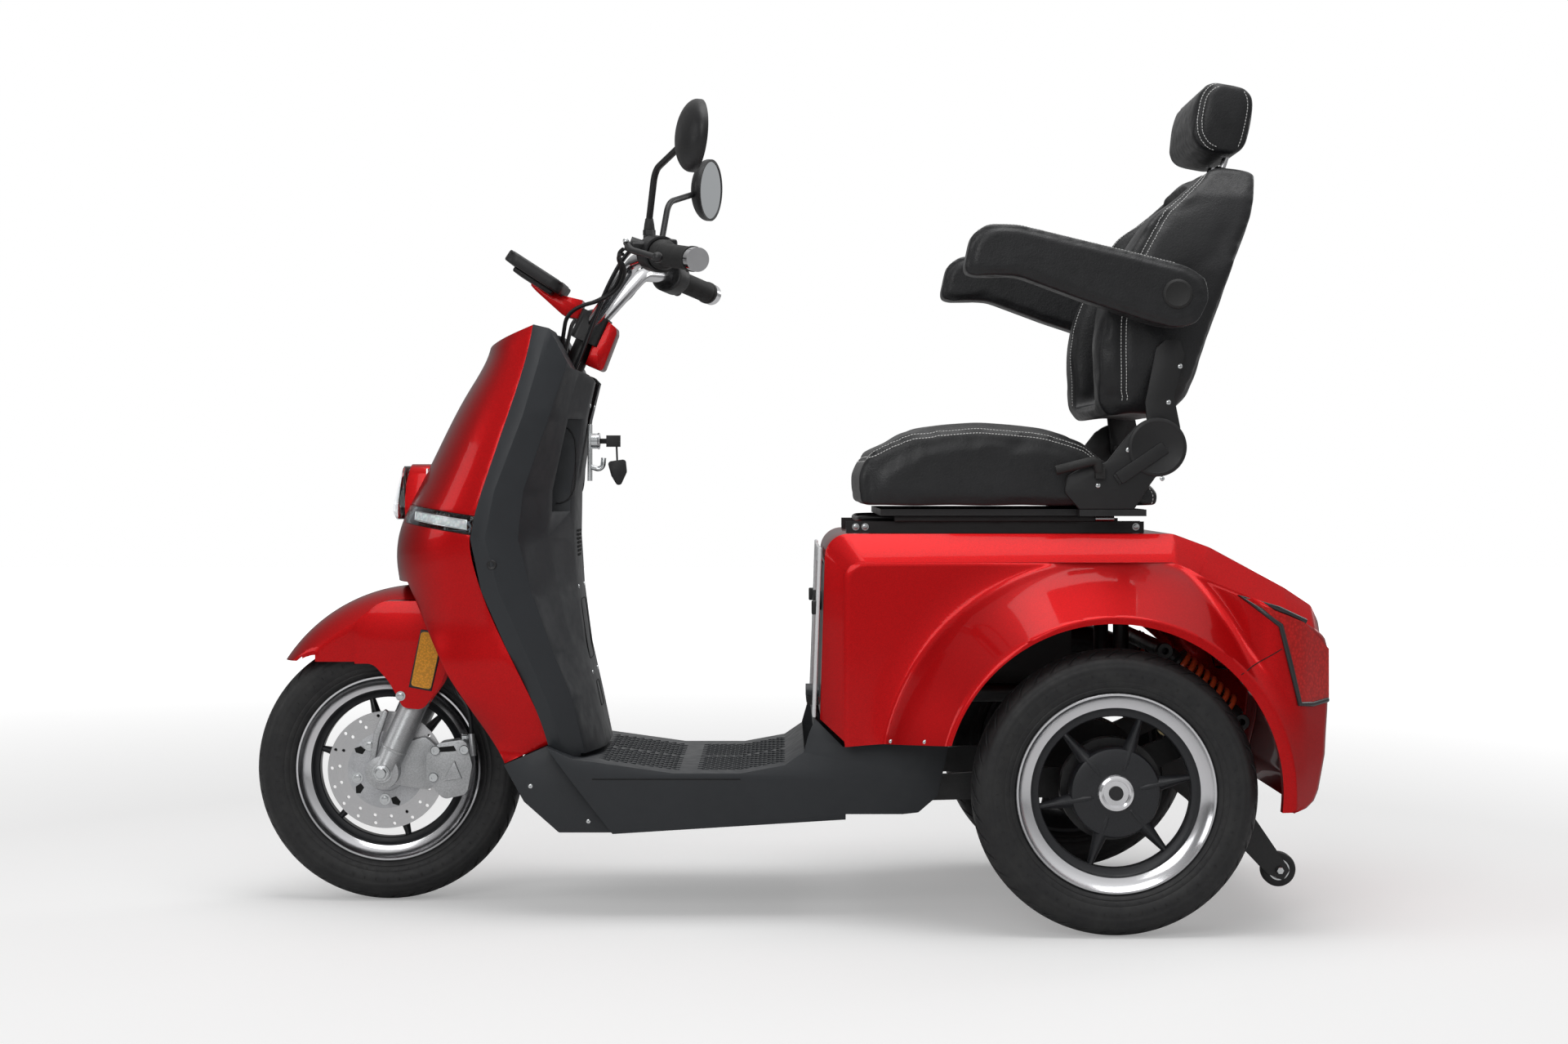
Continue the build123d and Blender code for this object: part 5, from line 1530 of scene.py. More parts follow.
@dataclass
class FrontPanels:
    """Nose cowls, headlight, light strips, leg shield and lower guard."""

    lamp_height: float = 424.0
    column_face: float = 291.0
    speaker_rows: int = 7
    speaker_columns: int = 9

    def headlight(self) -> None:
        """Lamp: silvered reflector bowl, bulb, dark rim and clear lens."""
        tilt = Vector((-1, 0, 0.12)).normalized()
        seat = front(50, self.lamp_height)
        bowl = [(3, 0), (12, 1.5), (24, 8), (33, 18), (37, 30), (38.5, 30), (34.5, 17), (25, 6),
                (12, -0.5), (3, -2)]
        parts = [lathe("bowl", bowl, seat, LAMP_SILVER, 72, tilt)]
        bulb = [(0, -2), (8, -2), (8, 8), (6, 10), (6, 18), (3.5, 22), (0, 23)]
        parts.append(lathe("bulb", bulb, seat, ZINC, 36, tilt))
        for side in Side:
            y = side.value * 46
            small = [(0, 0), (7, 2), (11, 9), (12, 14), (12.8, 14), (11.5, 7), (7, 0), (0, -2)]
            foot = front(56, self.lamp_height - 16, y)
            parts.append(lathe("small_bowl", small, foot, LAMP_SILVER, 40, tilt))
        back = brick("lamp_back", front(64, self.lamp_height), (3, 124, 78), LAMP_SILVER, 1.0)
        parts.append(back)
        inner = joined("headlight_reflector", parts)
        shaded(inner, 35)
        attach(inner, Body.CHASSIS.value)
        skin("headlight_lens", CLEAR, 0.0022)
        rim = [(-66, 40), (66, 40), (53, -44), (-53, -44)]
        points = []
        for index, (y, z) in enumerate(rim):
            ahead = Vector(rim[(index + 1) % 4]) - Vector((y, z))
            for share in (0.14, 0.5, 0.86):
                spot = Vector((y, z)) + ahead * share
                points.append(front(30 - 0.02 * spot.y, self.lamp_height + spot.y, spot.x))
        gasket = strand("headlight_gasket", points, 1.3, BLACK, closed=True)
        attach(gasket, Body.CHASSIS.value)

    def strips(self) -> None:
        """Side light strips: dark bezel, milky inner block and clear cover."""
        skin("light_strips", STRIP_COVER, 0.0012)
        tree = surface_of("light_strips")
        for side in Side:
            sign = side.value

            def hug(dx: float, dz: float, lift: float) -> Vector:
                """Point on the strip's outer face.

                Args:
                    dx: millimetres behind the front axle.
                    dz: millimetres above it.
                    lift: distance off the face in millimetres.

                Returns:
                    The point in metres.
                """
                start = front(dx, dz, sign * 400)
                hit = tree.ray_cast(start, Vector((0, -sign, 0)))[0]
                if hit is None:
                    hit = tree.find_nearest(front(dx, dz, sign * 216))[0]
                return hit + Vector((0, sign, 0)) * lift / 1000

            steps = 14
            rows = []
            for step in range(steps + 1):
                dx = 58 + (144 - 58) * step / steps
                top = 409 - (dx - 39) * 0.1467
                low = 382 - (dx - 39) * 0.1552
                rows.append([hug(dx, top - 7.5, 0.5), hug(dx, low + 7.0, 0.5)])
            points = [point for row in rows for point in row]
            faces = [(2 * i, 2 * i + 1, 2 * i + 3, 2 * i + 2) for i in range(steps)]
            window = put(f"strip_window_{side.word}", mesh_of("window", points, faces), MILKY)
            solid = window.modifiers.new("thick", "SOLIDIFY")
            solid.thickness, solid.offset = 0.0012, 0.0
            crisp(window, 0.0004)
            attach(window, Body.CHASSIS.value)
            edge = [row[0] for row in rows] + [row[1] for row in reversed(rows)]
            rim = strand(f"strip_rim_{side.word}", edge, 1.1, CHROME, smooth=False, closed=True)
            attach(rim, Body.CHASSIS.value)

    def column(self) -> None:
        """Centre column of the shield: vent slots, cover and hook plate screws."""
        # painted shade: each speaker hole is a short near-black disc set into the column
        unit = lathe("hole", [(0, -0.6), (1.9, -0.6), (1.9, 0.5), (0, 0.5)], ORIGIN, SHADOW_BLACK, 12,
                     BACKWARD)
        places = []
        for row in range(self.speaker_rows):
            for step in range(self.speaker_columns):
                shift = 3.4 * (row % 2)
                across = (step - self.speaker_columns // 2) * 6.8 + shift
                places.append(front(self.column_face + 2.2, 330 + row * 6.2, across))
        grille = ON_SPOTS.run("speaker_holes", unit, SHADOW_BLACK, Spots=spots(places), Turn=UNTURNED)
        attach(grille, Body.CHASSIS.value)
        tree = surface_of("leg_shield")
        for name, low, high, half in (("access_cover", 170, 262, 44), ("fuse_cover", 96, 134, 24)):
            rim = []
            corners = [(-half, low), (-half, high), (half, high), (half, low)]
            for index, (y, z) in enumerate(corners):
                following = corners[(index + 1) % 4]
                for share in (0.08, 0.5, 0.92):
                    spot = (y + (following[0] - y) * share, z + (following[1] - z) * share)
                    hit = tree.ray_cast(front(460, spot[1], spot[0]), -BACKWARD)[0]
                    rim.append((hit or front(310, spot[1], spot[0])) + Vector((0.0002, 0, 0)))
            seam = strand(name, rim, 0.9, SHADOW_BLACK, closed=True, sides=1)
            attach(seam, Body.CHASSIS.value)
        screws = []
        for y, z in ((-52, 150), (52, 150), (-52, 282), (52, 282), (-44, 560), (44, 560)):
            hit = tree.ray_cast(front(460, z, y), -BACKWARD)[0]
            if hit is not None:
                screws.append(hit)
        heads = ON_SPOTS.run("column_screws", screw_unit(3.4, 1.5), ZINC, Spots=spots(screws),
                             Turn=(0.0, 0.0, math.pi / 2))
        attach(heads, Body.CHASSIS.value)

    def lock(self) -> None:
        """Key switch ring, key bow, ring and blank fob."""
        ring = [(8, 13), (12.6, 13), (13.2, 14.4), (12.4, 16), (8, 16.6)]
        switch = lathe("lock_ring", ring, front(309, 506), CHROME, 48, BACKWARD)
        # painted shade: the keyway is a small near-black block in the lock's face
        slot = brick("lock_slot", front(324.4, 506), (1.2, 2.6, 11), SHADOW_BLACK, 0.2)
        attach(joined("lock_face", [switch, slot]), Body.CHASSIS.value)
        skin("ignition_lock", ZINC, 0.0008)
        skin("ignition_key", BLACK, 0.0014)

    def shield(self) -> None:
        """Seams and screws of the leg shield and the guard below it."""
        skin("leg_shield", GREY, 0.0022, 1e-4)
        skin("lower_guard", GREY, 0.0016)
        for side in Side:
            sign = side.value
            cap = [(0, -1.5), (2.5, -1.5), (3.2, 0.8), (6.4, 1.4), (7.4, 0.2), (7.4, -3), (0, -3)]
            outline = [(a, b * sign) for a, b in cap]
            tab = lathe(f"shield_cap_{side.word}", outline, front(182, 321, sign * 228), BLACK, 32)
            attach(tab, Body.CHASSIS.value)
            places = [front(236, -8, sign * 196.2), front(322, -60, sign * 196.2)]
            heads = ON_SPOTS.run(f"guard_screws_{side.word}", screw_unit(3.4, 1.4), ZINC, Spots=spots(places),
                                 Turn=side.facing)
            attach(heads, Body.CHASSIS.value)
            inner = [(264, 410), (290, 410), (296, 470), (292, 528), (262, 530)]
            lip = strand(f"pocket_lip_{side.word}", [front(*spot, sign * 86.4) for spot in inner], 1.2, BLACK)
            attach(lip, Body.CHASSIS.value)

    def build(self) -> None:
        """Builds the front panels."""
        skin("front_cowl_upper", RED, 0.0014)
        skin("front_cowl_lower", RED, 0.0014)
        skin("headlight_housing", RED, 0.0022)
        self.headlight()
        self.strips()
        self.column()
        self.lock()
        self.shield()
        # painted shade: a near-black sheet behind a panel joint, where only shade is seen
        backing = brick("joint_backing", front(246, 42), (50, 384, 3), SHADOW_BLACK, 0.5,
                        Matrix.Rotation(math.radians(-23.7), 3, "Y"))
        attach(backing, Body.CHASSIS.value)


# ---------------------------------------------------------------- steering
def on_axis(length: float, y: float = 0.0, ahead: float = 0.0) -> Vector:
    """Point up the steering axis from the front axle, in millimetres."""
    forward = Vector((-STEM.z, 0, STEM.x))
    return FRONT + (STEM * length + forward * ahead + Vector((0, y, 0))) / 1000


@dataclass
class BarHalf:
    """One side of the handlebar: grip, end cap, drum, lever perch and cables."""

    side: Side
    grip_radius: float = 17.0
    grip_length: float = 118.0

    def spot(self, name: str) -> Vector:
        """Named point on the bar's centre line."""
        dx, dz, y = {"end": (483, 761, 345), "inner": (425, 779, 222), "shoulder": (385, 775, 120)}[name]
        return front(dx, dz, self.side.value * y)

    @property
    def run(self) -> Vector:
        """Direction along the grip, from its end inwards."""
        return (self.spot("inner") - self.spot("end")).normalized()

    def along(self, distance: float) -> Vector:
        """Point on the grip's centre line, in millimetres from the bar's end."""
        return self.spot("end") + self.run * distance / 1000

    def grip(self) -> None:
        """Ribbed rubber grip with flanges and a drilled bright end cap."""
        r, length = self.grip_radius, self.grip_length
        profile = [(11.2, 0.5), (r + 1.5, 0.5), (r + 1.5, 6), (r - 0.2, 8)]
        ribs = 26
        for index in range(ribs):
            at = 12 + (length - 30) * index / ribs
            profile += [(r - 0.6, at), (r + 0.1, at + 0.7), (r + 0.1, at + 2.1), (r - 0.6, at + 2.8)]
        profile += [(r, length - 15), (r + 3.2, length - 12), (r + 5.5, length - 8), (r + 5.5, length - 2),
                    (r + 3, length - 0.5), (11.2, length - 0.5)]
        made = lathe(f"grip_{self.side.word}", profile, self.spot("end"), GRIP, 64, self.run)
        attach(made, Body.STEERING.value)
        cap = [(0, -15.5), (6, -15.4), (7.5, -14.2), (9, -14.4), (14, -12), (r - 0.8, -8), (r + 0.3, -4),
               (r + 0.3, -0.2), (11, -0.2), (0, -0.6)]
        end = lathe(f"bar_cap_{self.side.word}", cap, self.spot("end"), CHROME, 72, self.run)
        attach(end, Body.STEERING.value)
        turn = self.run.to_track_quat("Z", "Y").to_matrix()
        places = []
        for index in range(8):
            angle = math.pi / 4 * index
            ring = Vector((11.6 * math.cos(angle), 11.6 * math.sin(angle), -13.3))
            places.append(self.spot("end") + turn @ ring / 1000)
        # painted shade: the end cap's drilled holes are near-black dimples
        unit = lathe("dimple", [(0, -1.6), (2.5, -1.6), (2.5, 1.2), (0, 1.2)], ORIGIN, SHADOW_BLACK, 14, self.run)
        holes = ON_SPOTS.run(f"bar_cap_holes_{self.side.word}", unit, SHADOW_BLACK, Spots=spots(places),
                             Turn=UNTURNED)
        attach(holes, Body.STEERING.value)
        stand_in(made, "grips")

    def switches(self) -> None:
        """Split drum with a joint line, rocker switches and the lever's perch and bolts."""
        sign = self.side.value
        length = self.grip_length
        outline = [(11.3, 1), (24, 1), (27, 4), (27, 15.6), (26.2, 16.4), (26.2, 17.2), (27, 18), (27, 30),
                   (24, 34), (11.3, 34)]
        drum = [(radius, length + past) for radius, past in outline]
        parts = [lathe("drum", drum, self.spot("end"), BLACK, 72, self.run)]
        hub = self.along(length + 17)
        turn = self.run.to_track_quat("X", "Z").to_matrix()
        parts.append(brick("switch_face", hub + Vector((0.017, 0, 0.012)), (26, 16, 20), BLACK, 3.0, turn))
        parts.append(brick("switch_rim", hub + Vector((0.0255, 0, 0.012)), (15, 2.4, 14), CHROME, 1.0, turn))
        parts.append(brick("switch_key", hub + Vector((0.0266, 0, 0.012)), (9, 3, 8), BLACK, 1.0, turn))
        perch = hub + Vector((-0.034, sign * 0.003, 0.0100))
        parts.append(brick("perch", perch, (34, 20, 14), SATIN, 3.0, turn))
        made = joined(f"switch_drum_{self.side.word}", parts)
        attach(made, Body.STEERING.value)
        bolts = [hub + Vector((-0.046, sign * 0.014, 0.0175)), hub + Vector((-0.046, sign * -0.012, 0.0175))]
        unit = lathe("bolt", [(0, -1), (4.2, -1), (4.2, 2.0), (3.2, 3.2), (1.8, 3.2), (1.8, 1.6), (0, 1.6)],
                     ORIGIN, ZINC, 24, UP)
        heads = ON_SPOTS.run(f"perch_bolts_{self.side.word}", unit, ZINC, Spots=spots(bolts),
                             Turn=UNTURNED)
        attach(heads, Body.STEERING.value)

    def cables(self) -> None:
        """Brake and wiring cables from the perch down beside the stem."""
        sign = self.side.value
        hub = self.along(self.grip_length + 17)
        start = hub + Vector((-0.052, sign * -0.016, 0.008))
        for index, radius in enumerate((3.2, 2.6)):
            shift = index * 7
            cable(f"control_cable_{self.side.word}_{index}", Body.STEERING,
                  [start + Vector((0, 0, -shift / 1000)), start + Vector((-0.012, sign * -0.020, -0.006)),
                   front(378 - shift, 758, sign * (150 - shift)),
                   front(350 - shift, 722, sign * (104 - shift)),
                   on_axis(760, sign * (66 - shift), 40), on_axis(716, sign * (46 - shift), 30),
                   on_axis(690, sign * (34 - shift), 22)], radius, BLACK)
        band = self.along(self.grip_length + 60)
        ring = [(11.1, -4), (13.2, -4), (13.2, 4), (11.1, 4)]
        cuff = lathe(f"cable_band_{self.side.word}", ring, band, BLACK, 32, self.run)
        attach(cuff, Body.STEERING.value)

    def build(self) -> None:
        """Builds this half of the bar."""
        self.grip()
        self.switches()
        self.cables()


@dataclass
class Steering:
    """Everything that turns with the bar, apart from the wheel."""

    fork_span: float = 160.0

    def leg(self, side: Side) -> None:
        """Cast slider dressing: rib, seal, axle nut and axle end.

        Args:
            side: which leg.
        """
        sign = side.value
        y = sign * self.fork_span / 2
        seal = [(15.2, 0), (21.4, 0), (21.8, 2), (21.4, 9), (19, 12), (15.2, 12)]
        ring = lathe(f"fork_seal_{side.word}", seal, on_axis(165.2, y), BLACK, 48, STEM)
        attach(ring, Body.STEERING.value)
        nut_y = sign * (self.fork_span / 2 + 15.4)
        nut = hex_unit(12.4, 8.5, 15.0)
        made = ON_SPOTS.run(f"front_axle_nut_{side.word}", nut, ZINC, Spots=spots([front(0, 0, nut_y)]),
                            Turn=side.facing)
        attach(made, Body.STEERING.value)
        tip = [(0, 0), (8.4, 0), (8.4, 4.2), (7.2, 5.6), (0, 5.6)]
        end = lathe(f"front_axle_end_{side.word}", [(a, b * sign) for a, b in tip],
                    front(0, 0, sign * (self.fork_span / 2 + 23.8)), ZINC, 32)
        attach(end, Body.STEERING.value)
        rib = plate(f"slider_rib_{side.word}", [(-20, 18), (-14, 60), (2, 96), (8, 92), (-6, 52), (-12, 16)],
                    *sorted((y - 7, y + 7)), CAST, 2.0)
        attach(rib, Body.STEERING.value)
        if side is Side.LEFT:
            for length in (36, 118):
                ring = [(20.1, 0), (21.0, 0.6), (21.0, 3.4), (20.1, 4)]
                piece = lathe(f"slider_band_{length}", ring, on_axis(length, y), CAST, 48, STEM)
                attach(piece, Body.STEERING.value)

    def caliper(self) -> None:
        """Caliper details: raised blank badge, window, pins, union bolt and bleeder."""
        parts = []
        badge = [(92, -14), (121, -10), (109, 18)]
        parts.append(plate("badge", badge, -87.2, -83.6, CAST, 1.4))
        # painted shade: the window is a thin near-black plate on the caliper
        window = [(84, 30), (112, 32), (108, 40), (86, 38)]
        parts.append(plate("window", window, -84.6, -83.4, SHADOW_BLACK, 0.3))
        for dx, dz in ((77, -8), (80, 33), (124, 34)):
            boss = [(0, 0), (7.4, 0), (7.4, -3.2), (6.4, -4.4), (3.0, -4.4), (3.0, -2.4), (0, -2.4)]
            parts.append(lathe("boss", boss, front(dx, dz, -84), ZINC, 30))
        made = joined("caliper_details", parts)
        shaded(made, 35)
        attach(made, Body.STEERING.value)
        skin("brake_caliper", CAST, 0.0024)
        skin("fork_sliders", CAST, 0.0012)
        for length in (10.0, 17.0):
            bolt = lathe(f"hose_union_{length:.0f}", [(0, 0), (7.2, 0), (7.2, 5), (5, 6.4), (0, 6.4)],
                         front(122, 46 + length / 4, -66 + length / 3), ZINC, 6, UP)
            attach(bolt, Body.STEERING.value)

    def reflectors(self) -> None:
        """Dark border round each amber reflector and the fender's fixing bolts."""
        outline = [(62, 216), (76, 214), (88, 184), (76, 128), (46, 134)]
        centre = (69, 172)
        for side in Side:
            sign = side.value
            grown = [(x + (x - centre[0]) * 0.16, z + (z - centre[1]) * 0.07) for x, z in outline]
            faces = sorted((sign * 104, sign * 108.4))
            border = plate(f"reflector_border_{side.word}", grown, *faces, BLACK, 1.2)
            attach(border, Body.STEERING.value)
            heads = ON_SPOTS.run(f"fender_bolts_{side.word}", hex_unit(5.2, 3.0, 7.4), ZINC,
                                 Spots=spots([front(30, 118, sign * 106.2)]),
                                 Turn=side.facing)
            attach(heads, Body.STEERING.value)

    def display(self) -> None:
        """Instrument slab with a glossy screen, bezel and side keys."""
        turn = Matrix.Rotation(math.radians(33), 3, "Y")
        middle = front(229, 765)
        glass, bezel = (middle + turn @ Vector(at) for at in ((-0.002, 0, 0.0088), (0, 0, 0.0076)))
        parts = [brick("screen", glass, (82, 132, 2.2), SCREEN, 0.9, turn),
                 brick("bezel", bezel, (95, 147, 3.4), GLOSS, 1.6, turn)]
        for y in (-38, -19, 0, 19, 38):
            at = middle + turn @ Vector((0.0435, y / 1000, 0.0096))
            parts.append(brick("key", at, (5, 10, 1.2), GREY, 0.5, turn))
        under = brick("under", middle + turn @ Vector((0.004, 0, -0.0125)), (70, 116, 9), BLACK, 3.5, turn)
        made = joined("display_face", [*parts, under])
        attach(made, Body.STEERING.value)
        skin("display", BLACK, 0.0028)
        skin("display_mount", RED, 0.0030)

    def mirror(self, side: Side) -> None:
        """Lock nut and rubber boot of one mirror.

        Args:
            side: which mirror.
        """
        sign = side.value
        share = 0.33
        foot = front(425 + (385 - 425) * share, 779 + (775 - 779) * share + 9,
                     sign * (222 + (120 - 222) * share))
        nut = lathe(f"mirror_nut_{side.word}", [(5.1, 0), (9.5, 0), (9.5, 8), (5.1, 8)],
                    foot + Vector((0, 0, 0.0225)), SATIN, 6, UP)
        boot = lathe(f"mirror_boot_{side.word}", [(5.1, 0), (8.4, 0), (7.4, 8), (6.0, 16), (5.1, 17)],
                     foot + Vector((0, 0, 0.031)), GRIP, 32, UP)
        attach(joined(f"mirror_base_{side.word}", [nut, boot]), Body.STEERING.value)

    def build(self) -> None:
        """Builds the steering group."""
        skin("front_fender", RED, 0.0005)
        for side in Side:
            self.leg(side)
            BarHalf(side).build()
            self.mirror(side)
        self.caliper()
        self.reflectors()
        self.display()
        skin("brake_levers", SATIN, 0.0008)
        skin("control_housings", BLACK, 0.0016)


# ---------------------------------------------------------------- upholstery
@dataclass(frozen=True)
class Seam:
    """A sewn line: a narrow channel in the cover with stitches beside it."""

    line: tuple[Vector, ...]
    depth: float = 2.6
    width: float = 8.0
    rows: tuple[float, ...] = (-3.6, 3.6)
    thread: Thread = THREAD
    closed: bool = False


def row_on(mesh: bpy.types.Mesh, line: Sequence[Vector], closed: bool, offset: float,
           lift: float) -> list[Vector]:
    """Points of a line laid on a surface, moved sideways along it.

    Args:
        mesh: the surface.
        line: the smooth line's points, in metres.
        closed: whether the line closes.
        offset: sideways shift in millimetres.
        lift: height above the surface in millimetres.

    Returns:
        Points on the surface.
    """
    tree = tree_of(mesh)
    count = len(line)
    laid = []
    for index, point in enumerate(line):
        before = line[index - 1] if index or closed else point
        after = line[(index + 1) % count] if index < count - 1 or closed else point
        spot, normal, _, _ = tree.find_nearest(point)
        across = (after - before).cross(normal)
        if across.length < 1e-9:
            continue
        spot, normal, _, _ = tree.find_nearest(spot + across.normalized() * offset / 1000)
        laid.append(spot + normal * lift / 1000)
    return laid


def smooth_line(points: Sequence[Vector], closed: bool = False) -> list[Vector]:
    """Close-set points along the smooth curve guided by a few points.

    Args:
        points: the guide points, in metres.
        closed: whether the curve closes.

    Returns:
        Points along the curve.
    """
    guide = line_of("guide", points, True, closed)
    guide.data.splines[0].resolution_u = 14
    made = baked(guide)
    line = [vertex.co.copy() for vertex in made.data.vertices]
    bpy.data.objects.remove(made)
    return line


@dataclass
class Pad:
    """Upholstered pad: swollen from its CAD solid by cloth pressure, then sewn."""

    node: str
    voxel: float = 6.0
    slack: float = 7.0
    cap: float = 9.0
    fill: float = 0.8
    half_width: float = 1.0
    middle: float = 0.0
    pressure: float = 4.0
    held: Callable[[Vector], bool] | None = None
    folds: Callable[[Vector], float] | None = None
    seams: list[Seam] = field(default_factory=list)

    def start(self) -> Piece:
        """Even mesh a little smaller than the solid.

        Returns:
            The cover.
        """
        mesh = frame["nodes"][self.node].data.copy()
        tidy(mesh, 2e-5)
        made = put(f"{self.node}_cover", mesh, LEATHER)
        remesh = made.modifiers.new("even", "REMESH")
        remesh.mode, remesh.voxel_size, remesh.adaptivity = "VOXEL", self.voxel / 1000, 0.0
        baked(made)
        inward = [vertex.normal.copy() for vertex in made.data.vertices]
        for vertex, normal in zip(made.data.vertices, inward):
            vertex.co -= normal * self.slack / 1000
        return made

    def swell(self, made: Piece) -> None:
        """Blows the cover up with cloth pressure and keeps the result.

        Args:
            made: the cover, changed in place.
        """
        base = [vertex.co.copy() for vertex in made.data.vertices]
        outward = [vertex.normal.copy() for vertex in made.data.vertices]
        if self.held:
            group = made.vertex_groups.new(name="held")
            group.add([i for i, point in enumerate(base) if self.held(point)], 1.0, "REPLACE")
        cloth = made.modifiers.new("swell", "CLOTH")
        settings = cloth.settings
        settings.quality, settings.mass = 5, 0.3
        settings.tension_stiffness = settings.compression_stiffness = 12.0
        settings.shear_stiffness, settings.bending_stiffness = 8.0, 2.4
        settings.use_pressure, settings.uniform_pressure_force = True, self.pressure
        settings.effector_weights.gravity = 0.0
        cloth.collision_settings.use_collision = False
        cloth.point_cache.frame_start, cloth.point_cache.frame_end = 1, 20
        if self.held:
            settings.vertex_group_mass = "held"
        for step in range(1, 21):
            bpy.context.scene.frame_set(step)
        baked(made)
        made.vertex_groups.clear()
        for vertex, point, normal in zip(made.data.vertices, base, outward):
            move = vertex.co - point
            sunk = min(move.dot(normal), 0.0)
            move -= normal * sunk
            vertex.co = point + move
            if move.length > self.cap / 1000:
                vertex.co = point + move.normalized() * self.cap / 1000
        bpy.context.scene.frame_set(1)

    def relax(self, made: Piece, turns: int) -> None:
        """Smooths out the even mesh's small steps.

        Args:
            made: the cover, changed in place.
            turns: number of passes.
        """
        work = bmesh.new()
        work.from_mesh(made.data)
        for _ in range(turns):
            bmesh.ops.smooth_vert(work, verts=work.verts, factor=0.5, use_axis_x=True, use_axis_y=True,
                                  use_axis_z=True)
        work.to_mesh(made.data)
        work.free()

    def sew(self, made: Piece, seam: Seam, line: Sequence[Vector]) -> None:
        """Pulls a channel into the cover along a seam.

        Args:
            made: the cover, changed in place.
            seam: the seam.
            line: the seam's smooth line.
        """
        tree = tree_of(made.data)
        laid = [tree.find_nearest(point)[0] for point in line]
        runs = [(laid[i], laid[(i + 1) % len(laid)]) for i in range(len(laid) - (not seam.closed))]
        low = Vector([min(point[k] for point in laid) for k in range(3)])
        high = Vector([max(point[k] for point in laid) for k in range(3)])
        reach = seam.width / 1000
        for vertex in made.data.vertices:
            point = vertex.co
            if any(point[k] < low[k] - reach or point[k] > high[k] + reach for k in range(3)):
                continue
            near = reach
            for first, second in runs:
                along = second - first
                share = max(0.0, min(1.0, (point - first).dot(along) / max(along.length_squared, 1e-12)))
                near = min(near, (first + along * share - point).length)
            if near < reach:
                vertex.co = point - vertex.normal * seam.depth / 1000 * (1 - (near / reach) ** 2) ** 2

    def stitch(self, made: Piece, seam: Seam, line: Sequence[Vector], number: int) -> None:
        """Lays stitches along both sides of a seam.

        Args:
            made: the cover.
            seam: the seam.
            line: the seam's smooth line.
            number: the seam's number in its pad.
        """
        for row, offset in enumerate(seam.rows):
            laid = row_on(made.data, line, seam.closed, offset, 0.25)
            path = line_of("row", laid, False, seam.closed)
            path.data.resolution_u = 1
            thread = ALONG.run(f"{self.node}_stitch_{number}_{row}", stitch_unit(), seam.thread,
                               Path=path, Spacing=0.0047, Scale=1.0)
            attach(thread, frame["nodes"][self.node]["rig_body"])

    def build(self) -> Piece:
        """Makes the pad and its stitches.

        Returns:
            The padded cover.
        """
        made = self.start()
        self.relax(made, 3)
        self.swell(made)
        self.relax(made, 3)
        if self.folds:
            for vertex in made.data.vertices:
                vertex.co = vertex.co + vertex.normal * self.folds(vertex.co) / 1000
        for vertex in made.data.vertices:
            side = vertex.co.y - self.middle
            vertex.co.y = self.middle + max(-self.half_width, min(self.half_width, side))
        lines = [smooth_line(seam.line, seam.closed) for seam in self.seams]
        for seam, line in zip(self.seams, lines):
            self.sew(made, seam, line)
        finer = made.modifiers.new("finer", "SUBSURF")
        finer.levels = finer.render_levels = 1
        baked(made)
        made.data.polygons.foreach_set("use_smooth", [True] * len(made.data.polygons))
        made.data.materials.clear()
        made.data.materials.append(LEATHER.material())
        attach(made, frame["nodes"][self.node]["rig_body"])
        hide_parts(self.node)
        for number, (seam, line) in enumerate(zip(self.seams, lines)):
            if seam.rows:
                self.stitch(made, seam, line, number)
        return made


def rear_line(spots: Outline, y: float) -> tuple[Vector, ...]:
    """Points measured from the rear axle, all at one distance across."""
    return tuple(rear(dx, dz, y) for dx, dz in spots)


